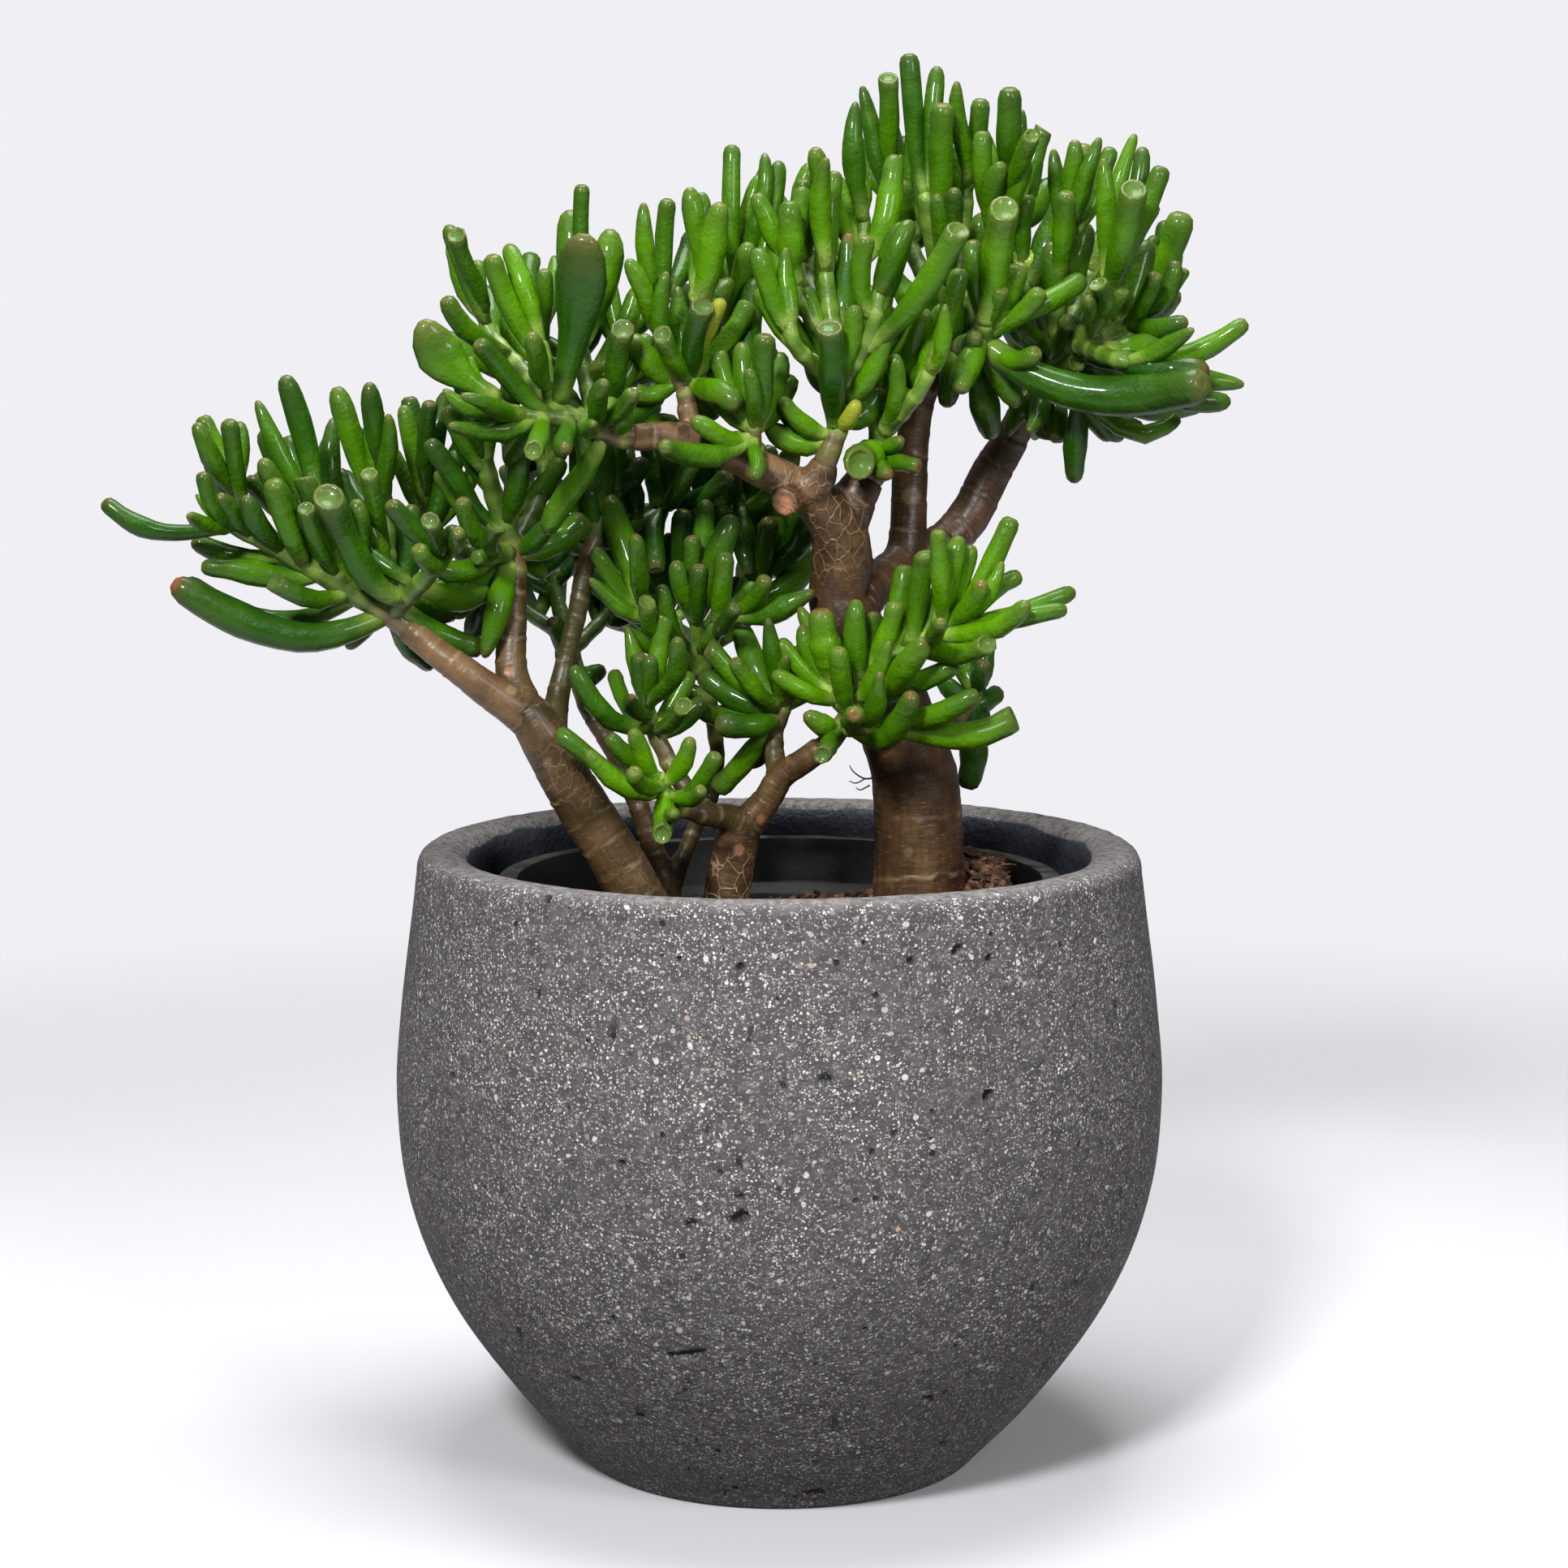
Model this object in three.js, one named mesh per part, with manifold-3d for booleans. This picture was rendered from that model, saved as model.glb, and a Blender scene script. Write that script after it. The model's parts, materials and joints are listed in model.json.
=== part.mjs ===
// A trumpet jade (finger-leaved Crassula) grown as a small tree with four stems, in a black nursery
// pot that stands inside a round cast-stone planter. Millimetres, +Z up, origin at the centre of the
// planter's base.

import * as THREE from 'three';
import { mergeVertices } from 'three/addons/utils/BufferGeometryUtils.js';
import Module from 'manifold-3d';

const wasm = await Module();
wasm.setup();

// ---------------------------------------------------------------------------------------------
// Driving dimensions
// ---------------------------------------------------------------------------------------------

// The planter's outline as [radius, height]. The rim closes it from outside to inside.
const planterSegments = 32;
const planterBaseRadius = 87;
const planterOutside = [[91.5, 4], [117.5, 32], [148, 76], [165.3, 120], [170.6, 165], [168.3, 205],
  [162.8, 250], [159.6, 266]];
const planterRim = [[157.5, 271.5], [151, 275], [146, 274.6], [141.5, 271.5]];
const planterInside = [[139.8, 265], [142.5, 245], [148, 205], [149.6, 165], [145, 120], [128, 80],
  [106, 49], [94, 38.5]];
const planterFloor = { radius: 89, height: 36 };
const outsideSteps = 9;
const insideSteps = 5;

// The nursery pot stands on the planter's floor. Its upper band is wider than its tapered body.
const nurserySegments = 22;
const nursery = {
  baseRadius: 84, stepRadius: 112, bandRadius: 117, bandTopRadius: 118.5, flangeRadius: 125,
  flangeInner: 116.5, stepOutside: 234, stepInside: 236, bandOutside: 239, bandInside: 241,
  flangeFoot: 258, top: 262, wall: 2.4, floor: 3,
};
const drainHoles = { count: 6, radius: 6, ring: 58, sides: 6, drillLength: 20 };

// The potting mix fills the nursery pot to just under its step and is heaped on the right.
const soil = { edgeHeight: 234, segments: 22, rings: 4 };
const heap = { x: 84, y: 4, height: 19, spread: 27 };
const crumbs = { amplitude: 1.6, wave: 17 };
const chips = { count: 5, length: [9, 17], width: [5, 9], thickness: [3, 4.4], seed: 41 };
const chipPatch = { x: 91, y: 2, reach: 24 };
const chipMaxRadius = 101;
const chipRise = 0.4;
const chipToStem = 11;

// Pieces that touch in the real object are kept this far apart. A stem's hole is wider than the stem
// by this much more, since its flat sides come nearer than its corners.
const gap = 0.35;
const holeEase = 1.3;

// The plant is drawn on the upright plane through the planter's axis, seen from this eye point, so
// each point is [across, up] on that plane and [depth] behind it.
const eye = { distance: 1452, height: 484 };

// Finger leaves: usual lengths, and how close a leaf may come to a piece of another head. Stems,
// twigs and leaves are followed by balls along their centre lines, and a leaf is free of its
// neighbours on the same head from a part of its length on. Few sides stand for a round section, so
// its corners lie a little outside the circle.
const leafSides = 4;
const roundness = 1.12;
const leafLength = [41, 57];
const headClearance = 2;
const leafOverlap = -1;
const ballSpacing = 4;
const freeFrom = 0.34;
const rootSink = 0.45;
const rootMargin = 8;
const spoonWidth = 12.5;
const spoonThickness = 9;
const longLeaf = 60;

// A leaf goes outwards and then bends up: its curve's middle as parts of the way across and up
const leafBend = { across: 0.56, up: 0.4 };

// The depths tried for a leaf's tip: parts of its first lean, and then steps from it. A leaf that
// has no typed lean comes towards the eye by a part of what its usual length allows.
const usualLean = -0.7;
const leanParts = [1, 0.5, -0.6, 1.4, 0];
const leanSteps = [-12, 12, -24, 24, 38];

// A twig's first span, square to the limb's cut end, and a section's way when it points at the eye
const twigStart = { length: 4, taper: 0.97 };
const endOnLimit = 0.2;

// ---------------------------------------------------------------------------------------------
// Stems: every limb is a chain of [across, up, depth, radius] from its foot to its end
// ---------------------------------------------------------------------------------------------

const boleSteps = 2;
const limbSides = 5;
const buriedPoints = 3;
const stems = {
  trunk_main: {
    sides: 10,
    limbs: {
      bole: [[62, 186, 14, 21], [61, 240, 14, 20], [60, 300, 14, 19], [55, 322, 13, 18.2],
        [44, 350, 10, 16.6], [29, 376, 7, 14.6], [25, 386, 7, 13], [28, 404, 6, 14], [24, 418, 0, 12],
        [14, 430, -7, 9.5]],
      mid_limb: [[20, 422, -4, 8.5], [8, 434, -10, 8.2], [-6, 441, -17, 7.2], [-26, 450, -22, 6.2],
        [-47, 456, -27, 5.6], [-64, 456, -28, 5.2]],
      cut_stub: [[10, 433, -8, 7], [2, 427, -24, 6.2]],
      mid_twig: [[-36, 453, -24, 5], [-39, 461, -21, 4.6], [-40.5, 471, -20, 4.5]],
      knot_twig: [[-6, 440, -17, 6], [-9, 447, -22, 4.6], [-10, 453, -25, 4.2]],
      crown_stub: [[8, 432, -11, 7.5], [16, 438, -14, 6.6], [20, 445, -15, 5.8]],
      crown_limb: [[28, 410, 4, 10.5], [35, 427, 6, 9], [40, 438, 6, 7.6]],
      back_limb: [[34, 384, 11, 12], [46, 395, 31, 8.6], [55, 405, 42, 8.8], [57, 430, 48, 8.3],
        [58, 452, 49, 7.6], [62, 474, 48, 7], [70, 487, 45, 6.8]],
      right_limb: [[54, 402, 42, 8.4], [70, 408, 53, 8], [84, 420, 60, 7.9], [95, 440, 63, 7.4],
        [103, 455, 62, 7], [107, 468, 59, 6.8]],
      rear_shoot: [[62, 314, 20, 8], [70, 322, 36, 5.4], [77, 330, 49, 4.6]],
    },
  },
  trunk_left: {
    sides: 8,
    limbs: {
      bole: [[-50, 210, -11, 12.6], [-57, 240, -13, 12.2], [-70, 264, -15, 12], [-92, 300, -18, 11.6],
        [-103, 321, -20, 11], [-112, 336, -20, 9.6]],
      arm: [[-108, 330, -20, 9.5], [-124, 341, -22, 8], [-140, 353, -24, 7], [-155, 364, -22, 6.4],
        [-164, 372, -21, 6]],
      inner_stub: [[-111, 332, -18, 9], [-118, 350, -14, 7.2], [-118, 372, -8, 6.6], [-117, 394, -4, 6]],
      dark_twig: [[-102, 322, -11, 8], [-98, 342, 1, 5.2], [-94, 360, 6, 4.6], [-89, 380, 8, 4.5],
        [-86, 396, 11, 4.3]],
    },
  },
  trunk_centre: {
    sides: 8,
    limbs: {
      bole: [[-22, 206, -18, 11.2], [-25, 240, -15, 10.8], [-22, 262, -14, 10], [-19, 278, -14, 9.8],
        [-16, 290, -14, 8]],
      right_arm: [[-17, 282, -14, 8], [-6, 295, -15, 6.6], [1, 306, -17, 6], [11, 313, -20, 5.6],
        [19, 319, -22, 5.2]],
      small_twig: [[0, 303, -17, 5.2], [-2, 315, -11, 4.4], [-2, 323, -7, 4.2]],
      left_arm: [[-16, 284, -15, 7.6], [-24, 288, -21, 6], [-33, 289, -28, 5.2], [-40, 291, -32, 4.7]],
      low_twig: [[-31, 289, -27, 5], [-41, 300, -20, 4.5], [-47, 309, -15, 4.3]],
    },
  },
  trunk_slim: {
    sides: 6,
    limbs: {
      bole: [[-44, 206, 25, 6.2], [-47, 242, 25, 6], [-55, 270, 27, 5.6], [-63, 294, 28, 5],
        [-72, 315, 31, 4.7], [-83, 333, 34, 4.5]],
      fork: [[-49, 254, 25, 5], [-44, 268, 28, 4.2], [-37, 284, 31, 3.8], [-30, 298, 32, 3.6],
        [-28, 310, 34, 3.6]],
    },
  },
};

// ---------------------------------------------------------------------------------------------
// Heads: green twigs that go on from the end of a limb, and the leaves whose tips shape the head.
// A leaf is [tip across, tip up, root across, root up, width], then lean (depth of the tip from
// its root, minus is towards the eye) and sag (how far its middle hangs under a plain curve).
// ---------------------------------------------------------------------------------------------

const heads = {
  foliage_left: {
    from: ['trunk_left', 'arm'],
    twigs: [
      [[-178, 382, -25, 5.5], [-192, 390, -28, 5.2], [-212, 402, -34, 4.6], [-228, 411, -38, 4.2],
        [-243, 418, -42, 3.5]],
      [[-192, 390, -28, 5], [-203, 420, -34, 3.8], [-204, 434, -35, 3.2]],
      [[-172, 378, -22, 5.2], [-173, 412, -3, 4], [-173, 432, 3, 3.3]],
      [[-176, 381, -24, 5], [-196, 408, 17, 4], [-202, 428, 31, 3.4]],
      [[-172, 378, -22, 5], [-152, 398, -45, 4], [-144, 408, -48, 3.3]],
      [[-172, 378, -22, 5], [-158, 410, 25, 4], [-152, 430, 36, 3.4]],
      [[-228, 411, -38, 4.2], [-235, 424, -31, 3.6], [-238, 438, -25, 3.2]],
    ],
    leaves: [
      [-296, 428, -240, 415, 8, -6, 5], [-254, 438, -238, 416, 7], [-255, 461, -240, 428, 8],
      [-247, 442, -212, 402, 9], [-225, 459, -202, 408, 9], [-215, 482, -204, 428, 10],
      [-227, 446, -203, 404, 9], [-198, 431, -162, 386, 13, -22, 9], [-197, 463, -190, 410, 10],
      [-194, 477, -175, 426, 10], [-179, 479, -173, 430, 9], [-171, 465, -170, 425, 8],
      [-165, 469, -158, 425, 8], [-154, 471, -152, 428, 8], [-180, 439, -173, 405, 8, -28],
      [-171, 427, -146, 404, 9, -12], [-140, 416, -146, 404, 8, -30], [-187, 413, -160, 390, 8, -14],
      [-267, 391, -178, 380, 12, -20, 13], [-254, 392, -194, 388, 8, -8, 5],
      [-190, 364, -176, 380, 7, 12],
    ],
  },
  foliage_left_inner: {
    from: ['trunk_left', 'inner_stub'],
    twigs: [
      [[-118, 408, -4, 5.6], [-122, 420, -7, 5], [-127, 436, -10, 4.4], [-130, 452, -11, 3.5]],
      [[-118, 404, -4, 5.4], [-105, 430, 20, 4], [-103, 446, 28, 3.4]],
      [[-118, 406, -4, 5], [-126, 404, -17, 4.4], [-134, 403, -28, 3.6]],
      [[-119, 408, -4, 5], [-117, 438, 36, 4], [-118, 455, 45, 3.4]],
    ],
    leaves: [
      [-155, 453, -124, 412, 9, -16], [-159, 405, -124, 402, 10, -14, 9],
      [-125, 416, -124, 404, 8, -32], [-146, 468, -129, 438, 8, -8], [-139, 480, -130, 446, 8],
      [-112, 448, -122, 418, 9, -22],
    ],
  },
  foliage_mid_left: {
    from: ['trunk_main', 'mid_limb'],
    twigs: [
      [[-76, 458, -29, 4.8], [-88, 463, -31, 4.6], [-98, 470, -32, 4.4], [-102, 484, -34, 4],
        [-104, 498, -34, 3.3]],
      [[-88, 463, -31, 4.4], [-118, 467, -42, 3.6], [-128, 476, -45, 3.2]],
      [[-80, 460, -29, 4.4], [-87, 492, -11, 3.6], [-88, 508, -6, 3.2]],
      [[-98, 470, -32, 4.2], [-124, 498, -11, 3.4], [-130, 510, -7, 3]],
      [[-84, 461, -31, 4.4], [-100, 486, 17, 3.6], [-105, 504, 31, 3.2]],
      [[-78, 459, -29, 4.4], [-70, 484, 6, 3.6], [-68, 498, 17, 3.2]],
    ],
    leaves: [
      [-154, 503, -122, 474, 17, -12], [-145, 516, -125, 484, 9], [-140, 543, -127, 506, 8],
      [-126, 534, -104, 486, 9, -10], [-117, 539, -103, 494, 9, -8], [-87, 564, -88, 508, 7],
      [-83, 533, -92, 484, 20, -16], [-91, 549, -90, 500, 13, 8], [-73, 545, -84, 496, 12, -4],
      [-70, 503, -76, 468, 10, -22], [-131, 498, -100, 466, 9, -18], [-146, 477, -118, 467, 8, -14],
      [-144, 461, -104, 461, 9, -22, 6], [-82, 462, -84, 463, 9, -40], [-107, 451, -102, 462, 9, -36],
      [-65, 476, -80, 460, 8, -28], [-104, 415, -76, 456, 10, 4],
    ],
  },
  foliage_mid: {
    from: ['trunk_main', 'mid_twig'],
    twigs: [
      [[-42, 478, -20, 4.2], [-48, 490, -21, 3.8], [-55, 508, -22, 3.2]],
      [[-42, 478, -20, 4.2], [-36, 506, -25, 3.4], [-37, 520, -25, 3]],
      [[-42, 478, -20, 4.2], [-24, 502, 11, 3.5], [-16, 520, 20, 3.1]],
      [[-42, 478, -20, 4.2], [-52, 504, 14, 3.4], [-50, 520, 22, 3]],
    ],
    leaves: [
      [-60, 555, -54, 506, 8], [-66, 532, -53, 500, 8], [-49, 558, -50, 514, 8],
      [-37, 563, -37, 516, 9], [-26, 557, -37, 514, 11, -8], [-34, 512, -37, 488, 9, -34],
      [-26, 513, -36, 486, 8, -24], [-21, 581, -17, 520, 8], [-4, 577, -18, 518, 8],
      [-14, 540, -24, 502, 9, -8],
    ],
  },
  foliage_knot: {
    from: ['trunk_main', 'knot_twig'],
    twigs: [
      [[-11, 460, -28, 3.9], [-11, 469, -31, 3.2]],
    ],
    leaves: [
      [-5, 493, -11, 464, 8, -4], [-37, 464, -11, 462, 9, -12, 8], [-53, 453, -11, 460, 9, -22, 6],
      [-12, 484, -11, 468, 7, -18],
    ],
  },
  foliage_crown: {
    from: ['trunk_main', 'crown_stub'],
    twigs: [
      [[23, 452, -15, 5.2], [26, 462, -15, 4.9], [27, 476, -15, 4.8], [25, 492, -13, 4.6],
        [22, 512, -8, 4.2], [20, 530, -6, 3.4]],
      [[27, 474, -15, 4.6], [40, 502, -27, 3.8], [44, 520, -28, 3.2]],
      [[25, 490, -13, 4.4], [8, 518, -6, 3.6], [6, 532, -4, 3.1]],
      [[25, 492, -13, 4.4], [35, 530, 17, 3.8], [37, 552, 22, 3.2]],
      [[24, 498, -11, 4.4], [10, 530, 28, 3.6], [8, 548, 34, 3.1]],
      [[27, 478, -15, 4.6], [8, 494, -36, 3.6], [4, 506, -39, 3.1]],
    ],
    leaves: [
      [19, 576, 20, 528, 9], [32, 599, 36, 548, 9], [4, 557, 8, 520, 11, -10],
      [-9, 537, 6, 500, 9, -6], [36, 542, 40, 504, 9, -8], [56, 549, 43, 516, 9, -4],
      [40, 521, 30, 482, 9, -20], [19, 546, 21, 508, 9, -14], [77, 545, 36, 492, 11, -24],
      [22, 503, 27, 474, 11, -36], [50, 577, 42, 530, 11, 6], [1, 472, 22, 450, 8, -8],
      [34, 471, 25, 458, 8, -10],
    ],
  },
  foliage_crown_low: {
    from: ['trunk_main', 'crown_limb'],
    twigs: [
      [[43, 449, 4, 6], [44, 458, 0, 5.2], [42, 470, 3, 4.6], [42, 484, 6, 3.9], [46, 498, 8, 3.3]],
      [[44, 457, 1, 5], [60, 474, -18, 3.6], [67, 487, -21, 3.2]],
    ],
    leaves: [
      [64, 511, 44, 466, 10, -20], [56, 476, 44, 460, 9, -16], [53, 454, 44, 452, 7, -18],
      [61, 443, 44, 450, 8, -22], [34, 444, 43, 450, 14, -24], [47, 439, 43, 448, 9, -24],
      [79, 528, 64, 484, 9, 2], [60, 520, 46, 490, 9, 8], [48, 530, 44, 488, 8, 8],
    ],
  },
  foliage_crown_right: {
    from: ['trunk_main', 'back_limb'],
    twigs: [
      [[75, 494, 42, 6], [74, 508, 39, 5.4], [70, 526, 34, 5], [66, 546, 28, 4.4], [63, 562, 25, 3.6]],
      [[75, 496, 42, 5.6], [84, 512, 36, 5], [92, 532, 28, 4.4], [97, 552, 22, 3.8], [99, 566, 20, 3.2]],
      [[75, 494, 42, 5.6], [87, 498, 6, 4.4], [90, 506, -6, 3.8]],
      [[74, 508, 39, 5], [80, 548, 42, 4.2], [81, 566, 42, 3.4]],
      [[74, 506, 39, 5], [56, 540, 62, 4], [52, 560, 64, 3.4]],
      [[84, 512, 36, 5], [101, 545, 64, 4], [104, 560, 70, 3.3]],
    ],
    leaves: [
      [36, 606, 53, 560, 8], [47, 610, 54, 556, 9, -10], [56, 620, 62, 562, 9],
      [69, 614, 64, 562, 8, 8], [76, 608, 79, 562, 8], [71, 599, 66, 550, 9, -14],
      [87, 601, 81, 558, 9, -6], [101, 606, 98, 564, 8], [107, 595, 98, 560, 8, 6],
      [114, 588, 103, 555, 8, 6], [81, 589, 80, 548, 9, -20], [62, 584, 66, 546, 10, -16],
      [95, 574, 94, 538, 9, -22], [106, 576, 97, 548, 9, -16], [76, 563, 72, 520, 9, -26],
      [97, 555, 89, 503, 12, -22], [114, 520, 88, 500, 9, -14], [132, 525, 90, 505, 10, -14],
      [88, 500, 82, 494, 10, -34], [110, 492, 84, 496, 9, -24], [84, 540, 88, 504, 9, -12],
    ],
  },
  foliage_right: {
    from: ['trunk_main', 'right_limb'],
    twigs: [
      [[112, 478, 53, 6], [120, 488, 42, 5.4], [129, 497, 28, 5], [137, 505, 14, 4.6],
        [142, 515, 6, 3.8], [143, 526, 3, 3.2]],
      [[126, 494, 32, 5], [154, 506, 28, 4], [163, 516, 28, 3.3]],
      [[120, 488, 42, 5], [121, 504, 34, 4.6], [122, 522, 25, 4.2], [124, 540, 20, 3.8],
        [126, 552, 17, 3.2]],
      [[129, 497, 28, 4.8], [146, 490, -6, 3.8], [154, 488, -11, 3.2]],
      [[112, 478, 53, 5.4], [128, 508, 84, 4.2], [136, 528, 92, 3.4]],
      [[120, 488, 42, 5], [150, 500, 76, 4], [162, 514, 84, 3.3]],
      [[120, 496, 39, 4.8], [108, 520, 35, 3.9], [105, 532, 36, 3.4]],
      [[116, 483, 48, 5], [130, 474, 11, 3.6], [134, 472, 0, 3.2]],
    ],
    leaves: [
      [134, 581, 106, 528, 11, -8], [125, 562, 120, 522, 10, -14], [119, 579, 125, 540, 8, 6],
      [138, 584, 126, 544, 8], [144, 580, 126, 540, 8, 8], [142, 575, 143, 524, 9, -8],
      [153, 586, 138, 528, 8, 4], [159, 580, 143, 526, 8, 10], [166, 572, 143, 524, 9, -6],
      [152, 565, 142, 516, 10, -20], [174, 553, 160, 512, 13, -6], [173, 531, 154, 506, 9, -12],
      [164, 526, 150, 504, 8, -24], [173, 518, 156, 507, 8, -26], [141, 523, 140, 508, 9, -36],
      [177, 506, 150, 504, 9, -20], [203, 507, 158, 490, 9, -6], [180, 502, 150, 489, 8, -16],
      [152, 494, 132, 496, 13, -34], [183, 484, 146, 490, 14, -20], [201, 480, 154, 488, 9, 4],
      [182, 477, 126, 486, 14, -40, 10], [110, 458, 118, 480, 10, -26],
      [172, 462, 133, 473, 8, -14, 4], [126, 441, 122, 480, 8, -14],
    ],
  },
  foliage_low_front: {
    from: ['trunk_centre', 'left_arm'],
    twigs: [
      [[-46, 294, -36, 4.4], [-51, 299, -41, 4], [-54, 307, -45, 3.2]],
    ],
    leaves: [
      [-85, 317, -52, 300, 8, -14, 5], [-76, 323, -53, 303, 8, -6], [-98, 326, -52, 300, 8, -20],
      [-65, 326, -54, 305, 8, -14], [-40, 323, -52, 302, 8, -10], [-28, 316, -50, 298, 8, -14, 8],
      [-36, 301, -50, 298, 7, -26], [-52, 282, -51, 299, 9, -26], [-66, 306, -53, 302, 8, -34],
    ],
  },
  foliage_low_left: {
    from: ['trunk_centre', 'low_twig'],
    twigs: [
      [[-51, 317, -13, 4.2], [-56, 327, -11, 3.8], [-59, 340, -10, 3.2]],
    ],
    leaves: [
      [-90, 356, -57, 328, 9, -6, 6], [-66, 342, -58, 332, 8, -34], [-57, 358, -58, 336, 8, -14],
      [-68, 371, -59, 338, 8, 6], [-45, 367, -58, 336, 8], [-43, 337, -55, 326, 8, -30],
    ],
  },
  foliage_low_middle: {
    from: ['trunk_slim', 'fork'],
    twigs: [
      [[-29, 328, 31, 3.7], [-32, 346, 25, 3.8], [-35, 362, 20, 3.8], [-37, 376, 14, 3.4],
        [-38, 388, 11, 3]],
      [[-33, 350, 24, 3.8], [-56, 372, 6, 3.3], [-62, 384, 3, 3]],
      [[-35, 362, 20, 3.8], [-28, 372, 6, 3.4], [-20, 380, -3, 3]],
      [[-33, 352, 24, 3.8], [-28, 364, 39, 3.4], [-22, 380, 50, 3]],
      [[-34, 356, 22, 3.8], [-44, 370, 39, 3.4], [-52, 386, 48, 3]],
    ],
    leaves: [
      [-81, 407, -60, 380, 8, 4], [-83, 393, -58, 374, 8, -8], [-62, 411, -61, 382, 8],
      [-59, 382, -50, 364, 8, -26], [-49, 413, -50, 382, 8, 10], [-38, 412, -38, 384, 8, -6],
      [-28, 414, -37, 382, 8, 6], [-21, 421, -34, 376, 11, -8], [-9, 401, -24, 378, 8, 4],
      [-6, 394, -22, 378, 8, -14], [-11, 391, -28, 372, 8, -26], [-21, 382, -30, 370, 8, -34],
    ],
  },
  foliage_low_small: {
    from: ['trunk_centre', 'small_twig'],
    twigs: [
      [[0, 331, -7, 4], [3, 340, -8, 3.4]],
    ],
    leaves: [
      [-30, 364, 1, 336, 9, 4], [-20, 358, 2, 338, 8, -16], [-22, 350, 0, 334, 8, -24],
      [-26, 330, 0, 332, 11, -14], [-5, 375, 3, 340, 8], [11, 364, 3, 339, 9, 8],
    ],
  },
  foliage_low_right: {
    from: ['trunk_centre', 'right_arm'],
    twigs: [
      [[26, 326, -25, 4.9], [32, 336, -28, 4.5], [38, 348, -31, 4], [46, 356, -34, 3.8],
        [56, 362, -36, 3.6], [66, 368, -38, 3.5], [75, 376, -38, 3.2]],
      [[27, 328, -25, 4.6], [38, 328, -36, 4], [48, 330, -42, 3.4]],
      [[31, 334, -28, 4.4], [24, 344, -20, 3.9], [21, 356, -14, 3.3]],
    ],
    leaves: [
      [18, 380, 23, 346, 13, -10], [34, 384, 36, 344, 9, -6], [51, 383, 40, 350, 9, -8],
      [56, 399, 42, 353, 10, -6], [66, 366, 36, 343, 11, -28], [91, 366, 58, 362, 9, -22],
      [56, 346, 36, 340, 9, -28], [34, 335, 30, 333, 9, -36], [61, 341, 30, 326, 11, -30, 7],
      [87, 343, 46, 330, 9, -14], [103, 333, 46, 329, 12, -22, 3], [20, 316, 28, 328, 8, -26],
      [70, 414, 72, 374, 8], [79, 412, 70, 372, 10, -14], [102, 420, 75, 376, 9],
      [98, 400, 74, 375, 8, -12], [104, 397, 75, 375, 8, -22], [129, 389, 75, 376, 8, -6],
      [125, 383, 74, 374, 8, -18, 4], [109, 383, 68, 368, 9, -26],
    ],
  },
  foliage_low_back: {
    from: ['trunk_main', 'rear_shoot'],
    twigs: [
      [[83, 337, 56, 4.2], [88, 347, 59, 3.6]],
    ],
    leaves: [
      [96, 372, 88, 346, 9, 4], [79, 302, 86, 343, 12, -6], [104, 350, 87, 345, 9, 12],
    ],
  },
  foliage_shade: {
    from: ['trunk_left', 'dark_twig'],
    twigs: [
      [[-83, 408, 14, 4.1], [-78, 420, 20, 3.7], [-72, 432, 28, 3.2]],
      [[-84, 405, 13, 4.1], [-93, 410, 22, 3.6], [-98, 418, 31, 3.2]],
      [[-82, 410, 15, 3.9], [-58, 420, 42, 3.3], [-46, 428, 50, 3]],
    ],
    leaves: [
      [-60, 446, -72, 428, 9, 10], [-38, 446, -50, 426, 9], [-22, 440, -48, 427, 9],
    ],
  },
  foliage_back_left: {
    from: ['trunk_slim', 'bole'],
    twigs: [
      [[-88, 346, 42, 4.2], [-92, 362, 56, 3.9], [-98, 384, 70, 3.7], [-102, 402, 78, 3.2]],
      [[-92, 362, 56, 3.8], [-78, 376, 70, 3.5], [-66, 392, 78, 3.1]],
      [[-94, 368, 60, 3.8], [-112, 380, 70, 3.4], [-126, 396, 76, 3]],
    ],
    leaves: [],
  },
};

// The crossed pair of leaves that a rule sets near the end of a twig with few leaves yet
const pairs = {
  seed: 20, fullTwig: 2, lean: 0.42, leanSpread: 0.3, shortening: 0.7, lift: 0.26,
  width: [7.6, 9.6],
};

// ---------------------------------------------------------------------------------------------
// Colours
// ---------------------------------------------------------------------------------------------

const colours = {
  stone: { color: 0x57555a, roughness: 0.9, metalness: 0 },
  plastic: { color: 0x1b1d22, roughness: 0.5, metalness: 0 },
  soil: { color: 0x3a2a1e, roughness: 1, metalness: 0 },
  bark: { color: 0x77604b, roughness: 0.7, metalness: 0 },
  leaf: { color: 0x35791a, roughness: 0.35, metalness: 0 },
};

// ---------------------------------------------------------------------------------------------
// Helpers
// ---------------------------------------------------------------------------------------------

function seededRandom(seed) {
  let state = seed;
  return () => {
    state = (Math.imul(state, 1664525) + 1013904223) >>> 0;
    return state / 4294967296;
  };
}

const between = (draw, [low, high]) => low + (high - low) * draw();

// A point drawn on the upright plane and moved along the eye's sight line to its depth.
function place(across, up, depth) {
  const scale = (eye.distance + depth) / eye.distance;
  return new THREE.Vector3(across * scale, depth, eye.height + (up - eye.height) * scale);
}

function toSolid(geometry) {
  const bare = geometry.clone();
  bare.deleteAttribute('normal');
  bare.deleteAttribute('uv');
  const merged = mergeVertices(bare, 1e-4);
  return new wasm.Manifold(new wasm.Mesh({
    numProp: 3,
    vertProperties: new Float32Array(merged.attributes.position.array),
    triVerts: new Uint32Array(merged.index.array),
  }));
}

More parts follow.
